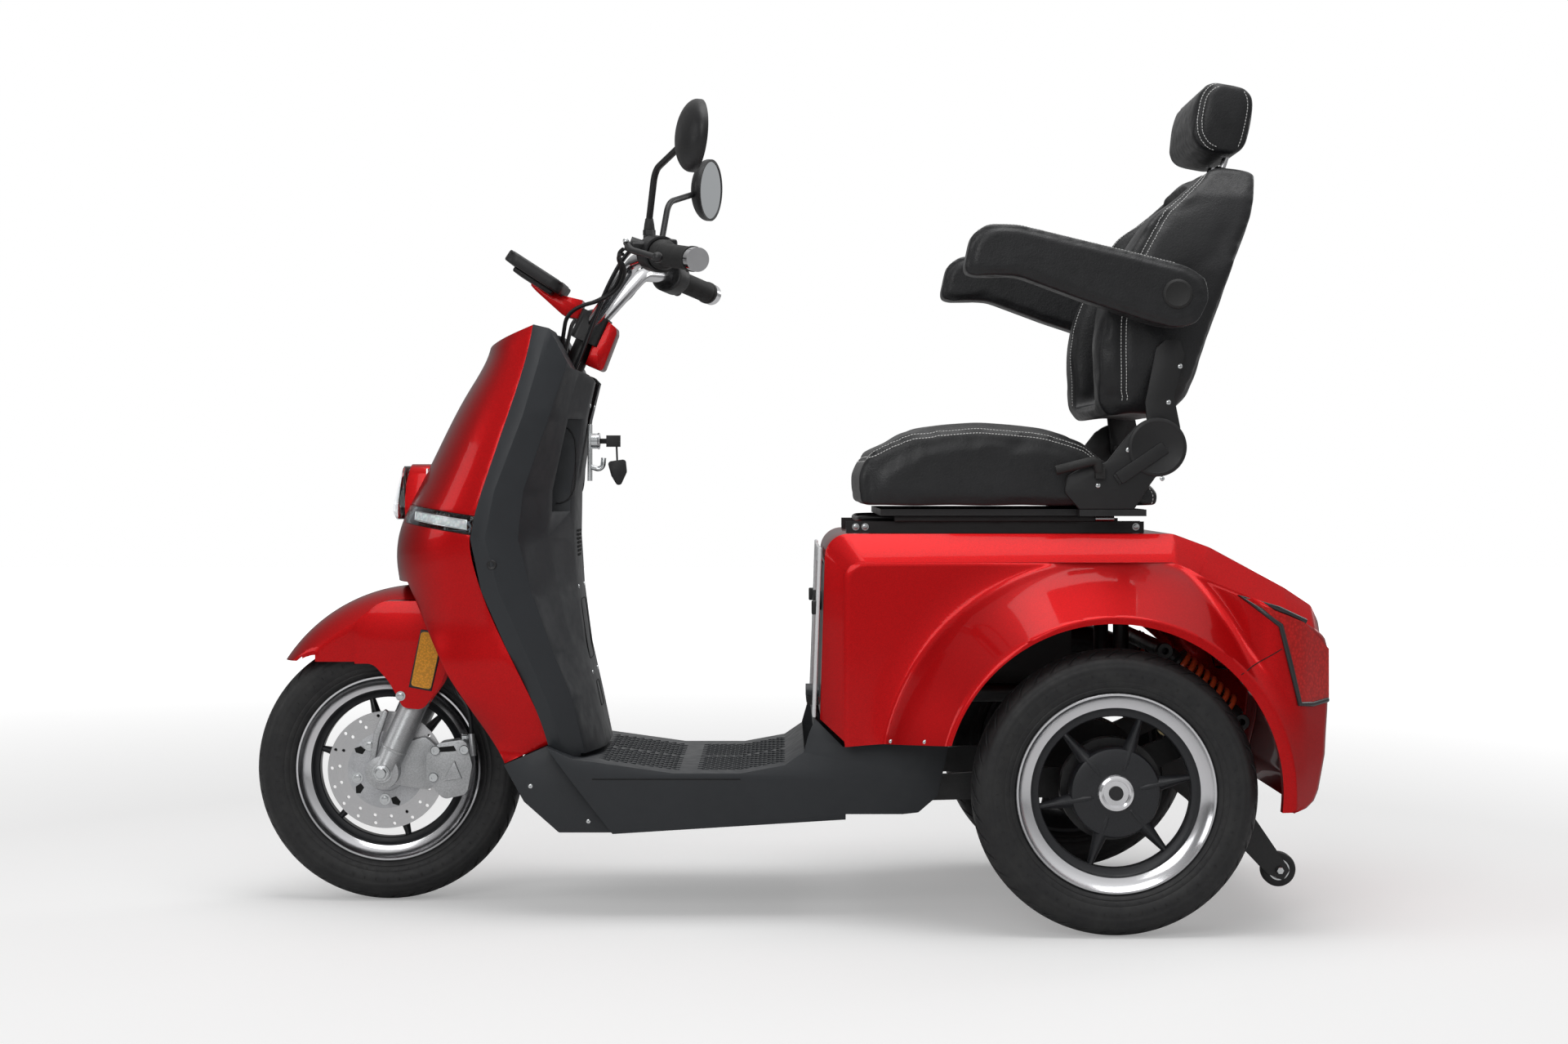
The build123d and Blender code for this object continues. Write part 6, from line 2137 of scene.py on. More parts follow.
@dataclass
class Seat:
    """Cushion, reclining back, headrest and armrests with their hardware."""

    cushion_half: float = 229.6
    back_half: float = 221.8
    arm_offset: float = 276.0
    arm_half: float = 31.0
    arm_knob: float = 21.5
    pivot: tuple[float, float] = (94.0, 714.0)
    recliner: tuple[float, float] = (74.0, 494.0)
    arm_edge: tuple[Spot, ...] = (
        (-211, 746), (-202, 790), (-178, 812), (-136, 812), (22, 774), (108, 751), (132, 735), (136, 708),
        (121, 675), (90, 669), (52, 679), (-40, 709), (-134, 744), (-196, 746),
    )

    def cushion(self) -> None:
        """Crowned cushion with a seam round its top and down its front corners."""
        top = [(-4, 494), (-60, 509), (-120, 520), (-190, 525), (-270, 517), (-318, 503), (-346, 484)]
        left = list(rear_line(top, -226))
        right = list(rear_line(top, 226))
        across = [rear(-356, 480, y) for y in (-190, -90, 0, 90, 190)]
        seams = [Seam(tuple(left + across + right[::-1]), rows=(-4.2, 4.2), width=10.0, depth=3.4)]
        for side in Side:
            corner = rear_line([(-349, 470), (-345, 440), (-344, 409)], side.value * 230)
            tail = rear_line([(74, 446), (77, 425), (76, 408)], side.value * 230)
            seams += [Seam(corner, rows=(), depth=2.2), Seam(tail, rows=(3.0,), depth=1.2)]
        front_edge = tuple(rear(-366, 424, y) for y in (-214, -100, 0, 100, 214))
        seams.append(Seam(front_edge, rows=(), depth=1.4, width=7))
        floor = rear(0, 408).z
        Pad("seat_cushion", 6.4, 5.5, 7.5, 0.85, self.cushion_half / 1000, held=lambda p: p.z < floor + 0.008,
            folds=lambda p: 0.5 * math.sin(p.x * 61 + p.y * 23) * math.sin(p.z * 74), seams=seams).build()

    def back(self) -> None:
        """Backrest whose bolsters stand round a channelled middle."""
        side_spots = [(30, 562, 219), (28, 600, 222), (27, 640, 222), (28, 690, 222), (40, 740, 222),
                      (59, 784, 217), (93, 843, 203), (125, 885, 188), (150, 908, 166)]
        left = [rear(dx, dz, -y) for dx, dz, y in side_spots]
        right = [rear(dx, dz, y) for dx, dz, y in side_spots]
        across = [rear(163, 915, y) for y in (-110, 0, 110)]
        seams = [Seam(tuple(left + across + right[::-1]), rows=(-3.8, 3.8), width=10.0, depth=3.2)]
        bolster = [(-8, 566), (-10, 640), (0, 700), (38, 788), (72, 838), (112, 872)]
        for side in Side:
            seams.append(Seam(rear_line(bolster, side.value * 146), rows=(-3.6,), depth=2.4))
            behind = [(116, 560), (166, 690), (220, 838), (228, 890)]
            seams.append(Seam(rear_line(behind, side.value * 206), rows=(), depth=1.6))
        for dz in (640, 720, 800):
            dx = 40 + 110 * (dz - 560) / 320
            seams.append(Seam(tuple(rear(dx, dz, y) for y in (-128, -60, 0, 60, 128)), rows=(), depth=3.0,
                              width=12))
        low = rear(0, 548).z
        Pad("backrest", 6.4, 5.0, 7.0, 0.8, self.back_half / 1000, held=lambda p: p.z < low,
            folds=lambda p: 0.6 * math.sin(p.x * 47 + p.z * 31) * math.sin(p.y * 58 + p.z * 12),
            seams=seams).build()

    def head(self) -> None:
        """Headrest with stitched end panels, on two chromed posts with collars."""
        lean = math.radians(10.6)
        middle = rear(191, 993)

        def local(x: float, y: float, z: float) -> Vector:
            """Point of the pad's own leaning frame, in millimetres."""
            away = x * math.cos(lean) + z * math.sin(lean)
            return middle + Vector((away, y, z * math.cos(lean) - x * math.sin(lean))) / 1000

        seams = []
        for side in Side:
            y = side.value * 125
            ahead = [(-20, 50), (-33, 36), (-37, 8), (-34, -20), (-24, -40), (-6, -50)]
            behind = [(30, 48), (38, 28), (39, -6), (35, -38)]
            seams.append(Seam(tuple(local(x, y, z) for x, z in ahead), rows=(-3.6, 3.6), width=8, depth=2.6))
            seams.append(Seam(tuple(local(x, y, z) for x, z in behind), rows=(3.0,), width=7, depth=1.8))
        seams.append(Seam(tuple(local(-40, y, 40) for y in (-112, -50, 0, 50, 112)), rows=(3.0,), depth=1.8))
        Pad("headrest", 4.6, 4.0, 5.5, 0.9, 0.1278, seams=seams).build()
        lean_back = Vector((math.sin(math.radians(18.6)), 0, math.cos(math.radians(18.6))))
        for side in Side:
            foot = rear(198, 921, side.value * 65)
            profile = [(5.3, -6), (11, -6), (11.5, -1), (11, 4), (8.5, 7), (5.3, 7)]
            foot -= lean_back * 0.004
            collar = lathe(f"post_collar_{side.word}", profile, foot, BLACK, 40, lean_back)
            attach(collar, Body.BACK.value)

    def arm(self, side: Side) -> None:
        """One armrest with welted edges, stitched top and a round cap on its pivot.

        Args:
            side: which armrest.
        """
        node = f"armrest_{side.word}"
        middle = side.value * self.arm_offset
        top = [(-196, 812), (-180, 818), (-136, 818), (-60, 800), (22, 780), (90, 763)]
        seams = []
        for face in (-1, 1):
            edge = rear_line(self.arm_edge, middle + face * (self.arm_half - 1))
            seams.append(Seam(edge, rows=(), depth=1.9, width=6.5, closed=True))
            seams.append(Seam(rear_line(top, middle + face * 22), rows=(0.0,), depth=0.8, width=5))
        knob = rear(*self.pivot)

        def folds(point: Vector) -> float:
            """Gathers round the pivot cap, in millimetres.

            Args:
                point: a point on the cover.

            Returns:
                How far it moves outwards.
            """
            away = math.hypot(point.x - knob.x, point.z - knob.z)
            turn = math.atan2(point.z - knob.z, point.x - knob.x)
            fade = max(0.0, 1 - abs(away - 0.027) / 0.016)
            return 1.1 * fade * math.sin(turn * 11) * (1.4 if turn < 0 else 0.5)

        Pad(node, 5.0, 3.5, 4.8, 0.85, self.arm_half / 1000, middle / 1000, folds=folds, seams=seams).build()
        outer = middle + side.value * self.arm_half
        r = self.arm_knob
        profile = [(0, -6), (r - 1, -6), (r, -2), (r, 1.6), (r - 1.6, 3.4), (r - 4, 4.0), (r - 5, 3.4),
                   (0, 3.6)]
        cap = lathe(f"arm_cap_{side.word}", [(a, b * side.value) for a, b in profile],
                    rear(*self.pivot, outer), GRIP, 72)
        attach(cap, node)

    def recliner_side(self, side: Side) -> None:
        """Round cover, blank raised plate and screws on one recliner.

        Args:
            side: which recliner.
        """
        sign = side.value
        face = sign * 242.0
        x, z = self.recliner
        ring = [(0, 0), (43, 0), (43, 1.2), (41.2, 2.6), (38, 3.0), (36.8, 2.2), (0, 2.6)]
        parts = [lathe("cover", [(a, b * sign) for a, b in ring], rear(x, z, face), BLACK, 96)]
        turn = Matrix.Rotation(-math.radians(34), 3, "Y")
        plate_face = face + sign * 3.2
        parts.append(brick("plate", rear(51, 471, plate_face), (82, 3.0, 19), BLACK, 1.0, turn))
        parts.append(brick("bridge", rear(26, 454, face + sign * 1.0), (30, 3.0, 17), BLACK, 1.0, turn))
        cover = joined(f"recliner_cover_{side.word}", parts)
        shaded(cover)
        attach(cover, Body.SEAT.value)
        for name, body, spots_at, y in (
                ("plate", Body.SEAT, [(31, 490), (81, 448), (-13, 438)], face),
                ("bracket", Body.BACK, [(109, 613), (92, 560)], sign * 230.7)):
            helper = spots([rear(*spot, y) for spot in spots_at])
            screws = ON_SPOTS.run(f"recliner_screws_{name}_{side.word}", screw_unit(3.6, 1.6), ZINC,
                                  Spots=helper,
                                 Turn=side.facing)
            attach(screws, body.value)

    def rails(self) -> None:
        """Slide covers, end bolts and the front release bar under the cushion."""
        for side in Side:
            sign = side.value
            cover = brick(f"slide_cover_{side.word}", rear(-150, 388.4, sign * 178), (318, 9, 9), SATIN, 1.2)
            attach(cover, Body.SEAT.value)
            tip = lathe(f"slide_tip_{side.word}", [(0, 0), (4.4, 0), (4.4, 26), (3.4, 28), (0, 28)],
                        rear(-10, 388.4, sign * 184), ZINC, 32, BACKWARD)
            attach(tip, Body.SEAT.value)
            helper = spots([rear(dx, 376, sign * 172) for dx in (-366, -352, 52)])
            bolts = ON_SPOTS.run(f"rail_bolts_{side.word}", hex_unit(4.2, 3.0, 5.4), ZINC, Spots=helper,
                                 Turn=side.facing)
            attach(bolts, Body.CHASSIS.value)
        route = [(-300, 389, -140), (-352, 389, -138), (-362, 387, -110), (-362, 386, 0), (-362, 387, 110),
                 (-352, 389, 138), (-300, 389, 140)]
        bar = strand("slide_release_bar", [rear(*point) for point in route], 4.0, SATIN)
        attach(bar, Body.SEAT.value)

    def build(self) -> None:
        """Builds the whole seat."""
        self.cushion()
        self.back()
        self.head()
        for side in Side:
            self.arm(side)
            self.recliner_side(side)
        self.rails()
        skin("recliner_plates", BLACK, 0.0018)
        skin("recliner_arms", BLACK, 0.0018)
        skin("recline_lever", GRIP, 0.0012)


# ---------------------------------------------------------------- rear body
def soft_max(first: float, second: float, width: float) -> float:
    """Larger of two heights, blended where they are closer than the width."""
    near = max(width - abs(first - second), 0.0) / width
    return max(first, second) + near * near * width / 4


def soft_min(first: float, second: float, width: float) -> float:
    """Smaller of two heights, blended where they are closer than the width."""
    return -soft_max(-first, -second, width)


@dataclass
class RearSide:
    """One moulded rear side: panel, wheel flare, tail corner and its lamp, in mm from the rear axle."""

    side: Side
    wall: float = 263.6
    arch: float = 239.4
    lip: float = 371.0
    rays: int = 180
    rings: int = 44

    def height(self, dx: float, dz: float) -> float:
        """Outer surface's distance from the middle plane at a point in side view.

        Args:
            dx: distance behind the axle.
            dz: height above it.

        Returns:
            The distance, in millimetres.
        """
        reach = math.hypot(dx, dz)
        share = min(max((334 - reach) / (334 - 252), 0.0), 1.0)
        dish = self.wall + (self.lip - self.wall) * (share ** 0.86) * (1 - 0.10 * share * (1 - share))
        if share == 0.0:
            dish = self.wall - 0.35 * (reach - 334)
        ramp = 247 + (dx - 100) * 1.114
        ramp = soft_min(ramp, 364, 26)
        ramp = soft_min(ramp, 304 + (310.5 - dx), 24)
        return soft_max(soft_max(self.wall, dish, 14), ramp, 22)

    def spot(self, dx: float, dz: float, lift: float = 0.0) -> Vector:
        """World point on the outer surface, lifted outwards."""
        return rear(dx, dz, self.side.value * (self.height(dx, dz) + lift))

    def outer_edge(self) -> list[Spot]:
        """Outline from the foot of the panel over the top to the tail's tip.

        Returns:
            The outline, in side view.
        """
        corner = [(-386 + 24 - 24 * math.cos(a), 302 + 24 * math.sin(a)) for a in
                  (0, 0.26, 0.52, 0.79, 1.05, 1.31, 1.57)]
        tail = [(96, 326), (118, 316), (142, 301), (200, 276), (256, 250), (292, 231), (305, 220),
                (310.5, 204), (310.5, 120), (305, 52), (292, 2), (284, -12), (270, -21), (256, -24)]
        return [(-384, 57), (-386, 70), *corner, *tail]

    def rail(self) -> tuple[list[Spot], list[Spot]]:
        """Matching points along the wheel opening and along the outline.

        Returns:
            The opening's points and the outline's points.
        """
        outline = self.outer_edge()
        start, end = math.radians(163.7), math.radians(-6.6)
        inner = []
        outer = []
        for index in range(self.rays + 1):
            share = index / self.rays
            angle = start + (end - start) * share
            inner.append((-6 + self.arch * math.cos(angle), 3 + self.arch * math.sin(angle)))
            wide = math.radians(171.9) + (math.radians(-5.9) - math.radians(171.9)) * share
            outer.append(self.meet(outline, wide))
        outer[0], outer[-1] = outline[0], outline[-1]
        return inner, outer

    @staticmethod
    def meet(outline: Outline, angle: float) -> tuple[float, float]:
        """Where a ray from the opening's centre crosses the outline.

        Args:
            outline: the outline, in side view.
            angle: the ray's angle in radians.

        Returns:
            The crossing.
        """
        ray = Vector((math.cos(angle), math.sin(angle)))
        best = outline[-1]
        for first, second in zip(outline, outline[1:]):
            low, high = Vector(first) - Vector((-6, 3)), Vector(second) - Vector((-6, 3))
            edge = high - low
            cross = ray.x * edge.y - ray.y * edge.x
            if abs(cross) < 1e-9:
                continue
            along = (low.x * ray.y - low.y * ray.x) / cross
            reach = (low.x * edge.y - low.y * edge.x) / cross
            if -1e-6 <= along <= 1.000001 and reach > 0:
                best = (first[0] + (second[0] - first[0]) * along, first[1] + (second[1] - first[1]) * along)
                break
        return best

    def shell(self) -> None:
        """Panel skin with a rolled outer edge and a flange inside the wheel opening."""
        inner, outer = self.rail()
        sign = self.side.value
        points: list[Vector] = []
        columns = self.rings + 5
        for (ix, iz), (ox, oz) in zip(inner, outer):
            lip = self.height(ix, iz)
            points.append(rear(ix, iz, sign * (lip - 17)))
            points.append(rear(ix, iz, sign * (lip - 2.5)))
            for ring in range(self.rings + 1):
                share = ring / self.rings
                dx, dz = ix + (ox - ix) * share, iz + (oz - iz) * share
                roll = 0.0
                left = (1 - share) * math.hypot(ox - ix, oz - iz)
                if left < 5:
                    roll = 2.4 * (1 - left / 5) ** 2
                points.append(rear(dx, dz, sign * (self.height(dx, dz) - roll)))
            edge = self.height(ox, oz)
            foot = max(min(edge - 10, 258.0), 250.0)
            points.append(rear(ox, oz, sign * (edge - 6)))
            points.append(rear(ox, oz, sign * foot))
        faces = []
        for row in range(self.rays):
            for column in range(columns - 1):
                a = row * columns + column
                quad = (a, a + 1, a + 1 + columns, a + columns)
                faces.append(quad if sign > 0 else quad[::-1])
        name = f"rear_side_{self.side.word}"
        made = put(name, mesh_of(name, points, faces), RED)
        thick = made.modifiers.new("wall", "SOLIDIFY")
        thick.thickness, thick.offset, thick.use_even_offset = 0.0022, -1.0, True
        baked(made)
        shaded(made, 48)
        stand_in(made, f"rear_fender_{self.side.word}")

    def lamp(self) -> None:
        """Tail lamp: ribbed lens wrapped round the corner, with a dark border."""
        left = [(176, 280), (204, 261), (231, 240), (245, 186), (260, 128)]
        shares = (0.0, 0.2, 0.38, 0.7, 1.0)
        sign = self.side.value
        points: list[Vector] = []
        across, rows = 18, 40
        for row in range(rows + 1):
            share = row / rows
            index = max(k for k in range(4) if shares[k] <= share)
            part = (share - shares[index]) / (shares[index + 1] - shares[index])
            lx = left[index][0] + (left[index + 1][0] - left[index][0]) * part
            lz = left[index][1] + (left[index + 1][1] - left[index][1]) * part
            rx, rz = 310.5, 222 - share * 94
            if share < 0.2:
                rx, rz = 268 + share / 0.2 * 42.5, 243 - share / 0.2 * 39.5
            for step in range(across + 1):
                part = step / across
                dx, dz = lx + (rx - lx) * part, lz + (rz - lz) * part
                lift = 2.2 - (1.6 if step == 0 else 0.0)
                points.append(self.spot(dx, dz, lift) + Vector((0.0012 * part, 0, 0)))
            for step in (1, 2, 3):
                back = self.height(rx, rz)
                points.append(rear(rx + 1.4, rz, sign * (back - step * 9)))
        width = across + 4
        faces = []
        for row in range(rows):
            for column in range(width - 1):
                a = row * width + column
                quad = (a, a + 1, a + 1 + width, a + width)
                faces.append(quad if sign < 0 else quad[::-1])
        name = f"tail_lens_{self.side.word}"
        lens = put(name, mesh_of(name, points, faces), TAIL_RED)
        thick = lens.modifiers.new("wall", "SOLIDIFY")
        thick.thickness, thick.offset = 0.003, -1.0
        baked(lens)
        shaded(lens)
        if self.side is Side.LEFT:
            stand_in(lens, "tail_lights")
        else:
            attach(lens, Body.CHASSIS.value)
        route = [(270, 245), (228, 264), (178, 280), (205, 261), (231, 240), (245, 186), (260, 128),
                 (282, 126), (309, 130)]
        dark = [self.spot(dx, dz, 1.6) for dx, dz in route]
        border = strand(f"lamp_border_{self.side.word}", dark, 3.8, GLOSS, smooth=False)
        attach(border, Body.CHASSIS.value)

    def closing(self) -> None:
        """Panel that closes the rear wall beside the fender's tail."""
        outline = [(311.5, 116), (305.5, 52), (293.5, 2), (264, -23.5), (261, -20.5), (290, 4),
                   (301.5, 53), (307.5, 116)]
        sign = self.side.value
        made = plate(f"tail_closing_{self.side.word}", outline, *sorted((sign * 216, sign * 272)), RED, 0.8,
                     rear(0, 0))
        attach(made, Body.CHASSIS.value)

    def seam(self) -> None:
        """Joint across the fender's tail and the screws under the panel's foot."""
        line = [self.spot(174 + 59 * part / 8, 171 + 36 * part / 8, 0.1) for part in range(9)]
        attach(strand(f"fender_seam_{self.side.word}", line, 0.7, SHADOW_BLACK), Body.CHASSIS.value)
        places = [self.spot(dx, dz, 0.0) for dx, dz in ((-318, 67), (-272, 72))]
        heads = ON_SPOTS.run(f"foot_screws_{self.side.word}", screw_unit(3.0, 1.4), ZINC, Spots=spots(places),
                             Turn=self.side.facing)
        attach(heads, Body.CHASSIS.value)

    def build(self) -> None:
        """Builds this side."""
        self.shell()
        self.lamp()
        self.closing()
        self.seam()


@dataclass
class RearUnder:
    """Shocks, brake levers, anti-tip wheels and the battery door's front trim with its painted reflection."""

    coil_radius: float = 24.0
    coil_wire: float = 4.4
    turns: float = 7.5

    def shock(self, side: Side) -> None:
        """Red coil spring round a black damper with its rod and eyes.

        Args:
            side: which shock.
        """
        sign = side.value
        low, high = rear(196, 92, sign * 236), rear(84, 196, sign * 236)
        run = (high - low).normalized()
        length = (high - low).length * 1000
        turn = run.to_track_quat("Z", "Y").to_matrix()
        points = []
        steps = int(self.turns * 20)
        for step in range(steps + 1):
            share = step / steps
            angle = share * self.turns * 2 * math.pi
            reach = self.coil_radius - self.coil_wire
            local = Vector((reach * math.cos(angle), reach * math.sin(angle), 28 + (length - 54) * share))
            points.append(low + turn @ local / 1000)
        coil = strand(f"spring_{side.word}", points, self.coil_wire, SPRING, smooth=False)
        damper = [(0, 10), (15, 10), (15, 30), (22, 30), (22, 33), (13, 34), (13, length * 0.6),
                  (5, length * 0.6 + 2), (5, length - 34), (22, length - 26), (22, length - 22),
                  (14, length - 18), (14, length - 8),
                  (0, length - 8)]
        body = lathe("damper", damper, low, SATIN, 40, run)
        eye = [(5.2, -15.9), (11, -15.9), (12, -14), (12, 14), (11, 15.9), (5.2, 15.9)]
        eyes = [lathe("eye", eye, spot, SATIN, 32) for spot in (low, high)]
        made = joined(f"shock_{side.word}", [coil, body, *eyes])
        shaded(made)
        if side is Side.LEFT:
            stand_in(made, "shock_absorbers")
        else:
            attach(made, Body.CHASSIS.value)

    def brake_lever(self, side: Side) -> None:
        """Yellow-zinc brake arm with return spring and rod behind each rear wheel.

        Args:
            side: which wheel.
        """
        sign = side.value
        y = sign * 262
        outline = [(74, 78), (86, 72), (112, 92), (124, 108), (116, 120), (102, 110), (84, 96), (70, 92)]
        arm = plate("arm", outline, *sorted((y - 2, y + 2)), BRASS, 0.8, rear(0, 0))
        hub = lathe("arm_hub", [(0, -8), (9, -8), (9, 8), (0, 8)], rear(80, 84, y), BRASS, 28)
        nut = lathe("arm_nut", [(0, -11), (6, -11), (6, 11), (0, 11)], rear(116, 112, y), ZINC, 6)
        coil = []
        for step in range(90):
            angle = step / 90 * 9 * 2 * math.pi
            coil.append(rear(70 + step * 0.46, 104 + 4.5 * math.cos(angle), y + 4.5 * math.sin(angle)))
        spring = strand("arm_spring", coil, 0.8, ZINC, smooth=False)
        rod = strand("arm_rod", [rear(116, 112, y), rear(60, 128, y), rear(-40, 118, sign * 236)], 2.2, BRASS)
        made = joined(f"brake_arm_{side.word}", [arm, hub, nut, spring, rod])
        shaded(made)
        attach(made, Body.CHASSIS.value)

    def caster(self, side: Side) -> None:
        """Small anti-tip wheel: tyre, bright hub ring and bolt, turning together.

        Args:
            side: which wheel.
        """
        sign = side.value
        centre = Vector((0.747, sign * 0.200, 0.0756))
        tyre = [(15.4, -10.6), (21, -11), (24.4, -9.4), (25.6, -6), (25.6, 6), (24.4, 9.4), (21, 11),
                (15.4, 10.6)]
        ring = [(6, -9), (13, -9), (13.6, -10.8), (15.6, -10.8), (15.6, 10.8), (13.6, 10.8), (13, 9), (6, 9)]
        parts = [lathe("tyre", tyre, centre, RUBBER, 64), lathe("ring", ring, centre, ZINC, 48)]
        made = joined(f"caster_{side.word}", parts)
        shaded(made)
        stand_in(made, f"anti_tip_wheel_{side.word}")
        bolt = [(0, -20.6), (5.4, -20.6), (6.2, -20.0), (6.2, 20.0), (5.4, 20.6), (0, 20.6)]
        head = lathe(f"caster_bolt_{side.word}", [(a * 0.9, b * 1.12) for a, b in bolt], centre, ZINC, 6)
        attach(head, Body.CHASSIS.value)

    def front_trim(self) -> None:
        """Pale frame round the battery door on the body's front wall, with its latch plate; its pale colour
        is partly real trim and partly a painted reflection of the lit front wall.
        """
        # painted reflection: the pale posts and head are partly trim, partly the bright reflection on the
        # front wall painted in
        parts = []
        for sign in (-1, 1):
            middle = rear(-424.5, 222, sign * 196)
            parts.append(brick("post", middle, (5, 70, 250), SILVER_TRIM_AND_REFLECTION, 1.6,
                               Matrix.Rotation(math.radians(2), 3, "Y")))
        parts.append(brick("head", rear(-420.5, 333, 0), (5, 330, 22), SILVER_TRIM_AND_REFLECTION, 1.6,
                           Matrix.Rotation(math.radians(2), 3, "Y")))
        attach(joined("front_wall_trim", parts), Body.CHASSIS.value)
        for sign in (-1, 1):
            catch = brick(f"side_catch_{'left' if sign < 0 else 'right'}", rear(-428, 258, sign * 214),
                          (9, 20, 20), BLACK, 1.6)
            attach(catch, Body.CHASSIS.value)

    def build(self) -> None:
        """Builds the parts under and in front of the rear body."""
        for side in Side:
            self.shock(side)
            self.brake_lever(side)
            self.caster(side)
        self.front_trim()


def build_rear() -> None:
    """Builds the rear body and what hangs under it."""
    for side in Side:
        RearSide(side).build()
    skin("rear_body", RED, 0.0030, 1e-4)
    skin("battery_door", GREY, 0.0020)
    skin("door_latch", BLACK, 0.0008)
    RearUnder().build()


# ---------------------------------------------------------------- floor
@dataclass
class FloorPads:
    """Herringbone anti-slip ribs on the foot floor."""

    pitch: float = 13.0
    half_width: float = 186.0

    def build(self) -> None:
        """Lays slanting ribs in rows whose direction alternates."""
        skin("floor_board", GREY, 0.0022, 1e-4)
        tree = surface_of("floor_board")
        for name, start, end in (("front", 334, 462), ("rear", 482, 612)):
            for lean, shift in ((1, 0.0), (-1, self.pitch / 2)):
                places = []
                rows = int((end - start) / self.pitch)
                columns = int(2 * self.half_width / (self.pitch * 2))
                for row in range(rows):
                    for column in range(columns):
                        y = -self.half_width + (column + 0.5) * self.pitch * 2 + (self.pitch / 2) * lean
                        dx = start + (row + 0.5) * self.pitch + shift
                        hit = tree.ray_cast(front(dx, 120, y), -UP)[0]
                        if hit is not None and abs(y) > 8:
                            places.append(hit)
                rib = brick("rib", ORIGIN, (12.5, 3.4, 2.0), GREY, 0.6,
                            Matrix.Rotation(math.radians(38 * lean), 3, "Z"))
                word = "a" if lean > 0 else "b"
                ribs = ON_SPOTS.run(f"floor_ribs_{name}_{word}", rib, GREY, Spots=spots(places),
                                    Turn=UNTURNED)
                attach(ribs, Body.CHASSIS.value)
        for side in Side:
            sign = side.value
            # painted shade: a near-black line laid along the floor's crease
            line = [front(dx, 6.2, sign * 230.2) for dx in (330, 440, 548)]
            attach(strand(f"floor_crease_{side.word}", line, 0.8, SHADOW_BLACK), Body.CHASSIS.value)


def dress_rest() -> None:
    """Gives the CAD nodes that nothing stands for their finish."""
    plan: dict[str, Finish] = {
        "main_frame": SATIN, "head_tube": SATIN, "rear_frame": SATIN, "rear_axle": SATIN,
        "anti_tip_arms": SATIN, "armrest_pivots": SATIN, "seat_rails": SATIN, "seat_frame": SATIN,
        "fork": SATIN, "headrest_posts": CHROME, "handlebar": CHROME, "brake_hose": GLOSS,
        "battery_pack": BLACK, "door_hinge": BLACK, "mirrors": BLACK, "mirror_glass": MIRROR,
        "fender_reflectors": AMBER,
    }
    for node, finish in plan.items():
        dress(node, finish)


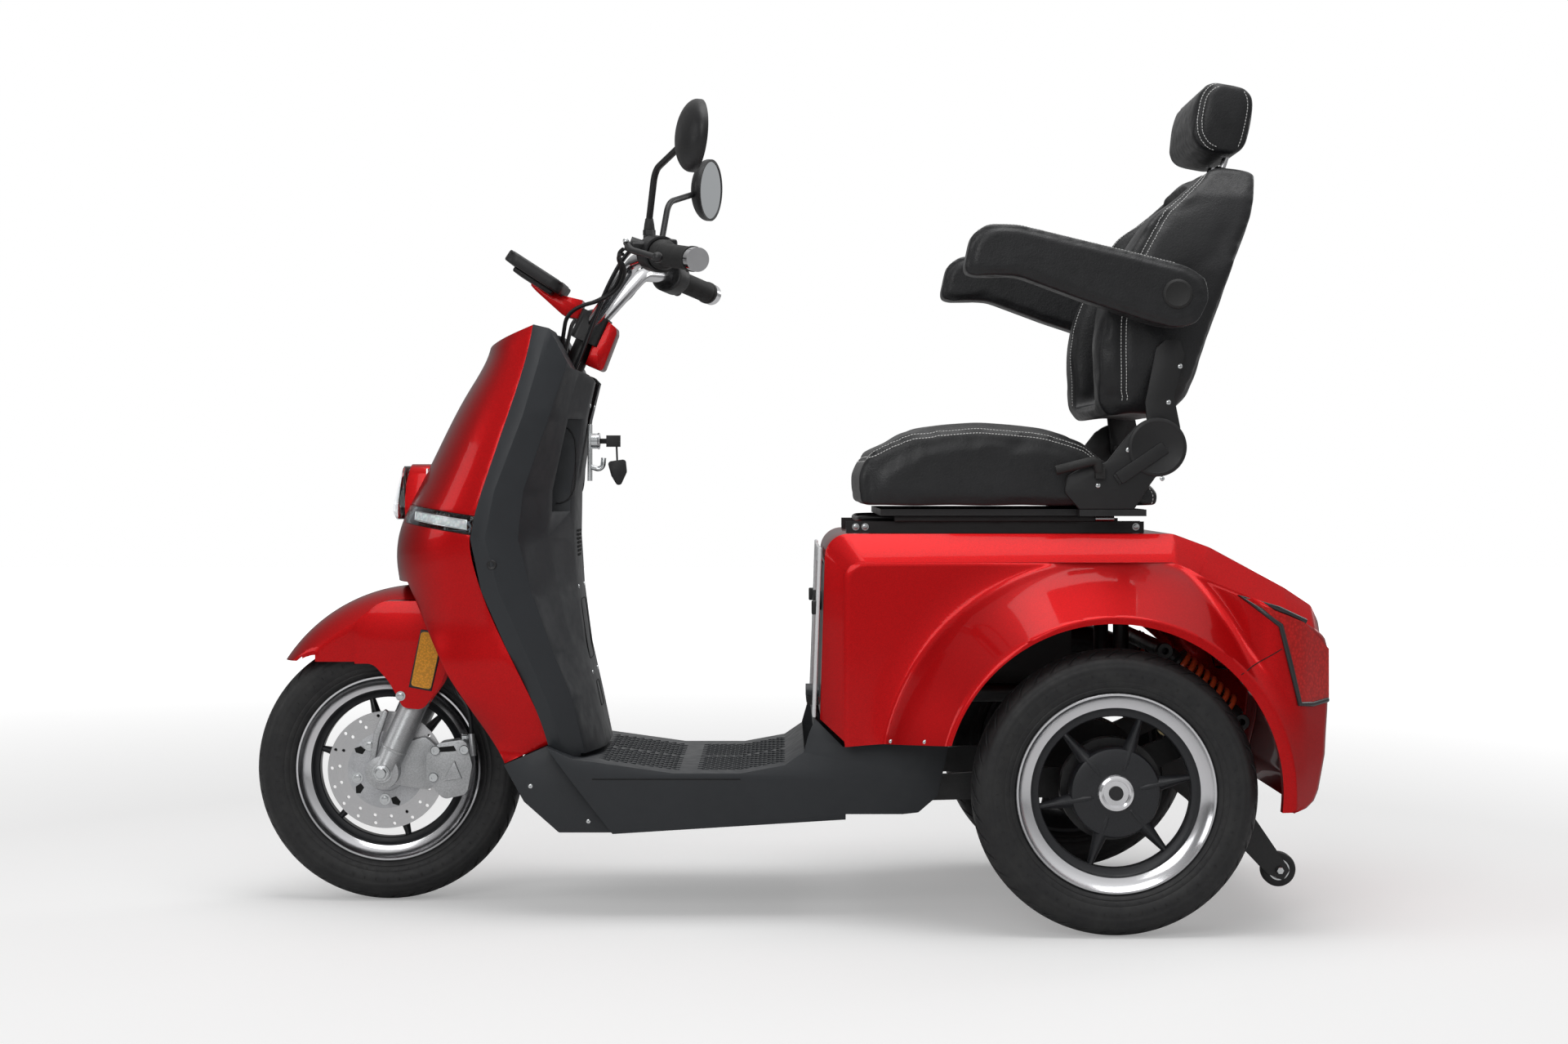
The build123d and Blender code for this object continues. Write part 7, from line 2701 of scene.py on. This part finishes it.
# ---------------------------------------------------------------- studio
@dataclass
class Studio:
    """Camera, pale floor, white surround and soft lamps."""

    camera_at: Point = (0.016, -4.0, 0.660)
    lens: float = 58.9
    rise: float = -0.0307
    ambient: float = 0.26
    mirror_low: float = 0.22
    mirror_high: float = 0.95
    mirror_front: float = 0.30
    floor_glow: float = 0.28

    def camera(self) -> None:
        """Level camera on the scooter's left side."""
        data = bpy.data.cameras.new("camera")
        data.lens, data.sensor_width, data.shift_y = self.lens, 36.0, self.rise
        made = linked("camera", data)
        made.location, made.rotation_euler = self.camera_at, (math.pi / 2, 0, 0)
        bpy.context.scene.camera = made

    def floor(self) -> None:
        """Wide pale floor that keeps the object's shadow."""
        mesh = bpy.data.meshes.new("floor")
        reach = 14.0
        mesh.from_pydata([(-reach, -reach, 0), (reach, -reach, 0), (reach, reach, 0), (-reach, reach, 0)], [],
                         [(0, 1, 2, 3)])
        made = linked("floor", mesh)
        shade = Shade("floor_pale")
        shade.plain(base_color=(0.80, 0.80, 0.80), roughness=0.75, specular_ior_level=0.15)
        away = shade.node("ShaderNodeVectorMath", operation="LENGTH")
        shade.join(shade.place, away.inputs[0])
        glow = shade.spread(away.outputs["Value"], 1.6, 6.0, self.floor_glow, 1.0)
        seen = shade.node("ShaderNodeLightPath")
        looks = shade.maths("MAXIMUM", seen.outputs["Is Camera Ray"], seen.outputs["Is Transmission Ray"])
        shade.join(shade.maths("MULTIPLY", glow, looks), shade.shader.inputs["Emission Strength"])
        shade.shader.inputs["Emission Color"].default_value = (1, 1, 1, 1)
        mesh.materials.append(shade.material)
        made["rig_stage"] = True

    def world(self) -> None:
        """Soft surround: white to the camera, brighter above than level in reflections."""
        world = bpy.data.worlds.new("surround")
        bpy.context.scene.world = world
        world.use_nodes = True
        nodes = Nodes(world.node_tree)
        back = nodes.tree.nodes["Background"]
        path = nodes.node("ShaderNodeLightPath")
        split = nodes.node("ShaderNodeSeparateXYZ")
        nodes.join(nodes.node("ShaderNodeTexCoord").outputs["Generated"], split.inputs[0])
        height = nodes.spread(split.outputs["Z"], -0.15, 0.85, self.mirror_low, self.mirror_high)
        ahead = nodes.spread(split.outputs["X"], -0.95, 0.05, self.mirror_front, 1.0)
        shown = nodes.node("ShaderNodeMix")
        shown.inputs[2].default_value = self.ambient
        nodes.join(path.outputs["Is Glossy Ray"], shown.inputs[0])
        nodes.join(nodes.maths("MULTIPLY", height, ahead), shown.inputs[3])
        looks = nodes.maths("MAXIMUM", path.outputs["Is Camera Ray"], path.outputs["Is Transmission Ray"])
        level = nodes.node("ShaderNodeMix")
        level.inputs[3].default_value = 1.0
        nodes.join(looks, level.inputs[0])
        nodes.join(shown.outputs[0], level.inputs[2])
        nodes.join(level.outputs[0], back.inputs["Strength"])
        back.inputs["Color"].default_value = (1, 1, 1, 1)

    def lamp(self, name: str, place: Point, aim: Point, size: float, power: float) -> None:
        """Square soft lamp.

        Args:
            name: lamp name.
            place: where it hangs.
            aim: the point it faces.
            size: side length in metres.
            power: power in watts.
        """
        data = bpy.data.lights.new(name, "AREA")
        data.size, data.energy = size, power
        made = linked(name, data)
        made.location = place
        made.rotation_euler = (Vector(aim) - Vector(place)).to_track_quat("-Z", "Y").to_euler()

    def build(self) -> None:
        """Sets up the whole studio."""
        self.camera()
        self.floor()
        self.world()
        self.lamp("top", (0.2, -0.6, 4.2), (0, 0, 0.4), 3.0, 78)
        self.lamp("left_side", (-1.4, -4.6, 2.6), (0, 0, 0.5), 2.2, 46)
        self.lamp("front_fill", (-4.6, -1.2, 1.8), (0, 0, 0.5), 1.8, 24)
        self.lamp("rear_fill", (3.8, 2.8, 2.4), (0, 0, 0.5), 2.0, 26)
        bpy.context.scene.view_settings.view_transform = "Standard"


def main() -> None:
    """Builds the studio and every sub-assembly in order."""
    logging.basicConfig(level=logging.INFO, format="%(message)s")
    Studio().build()
    reported = {piece.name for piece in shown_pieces()}
    for build in (build_wheels, FrontPanels().build, Steering().build, Seat().build, build_rear,
                  FloorPads().build, dress_rest):
        build()
        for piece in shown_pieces():
            if piece.name not in reported:
                reported.add(piece.name)
                log.info("%s: %s", build.__qualname__, piece.name)


if __name__ == "__main__":
    main()
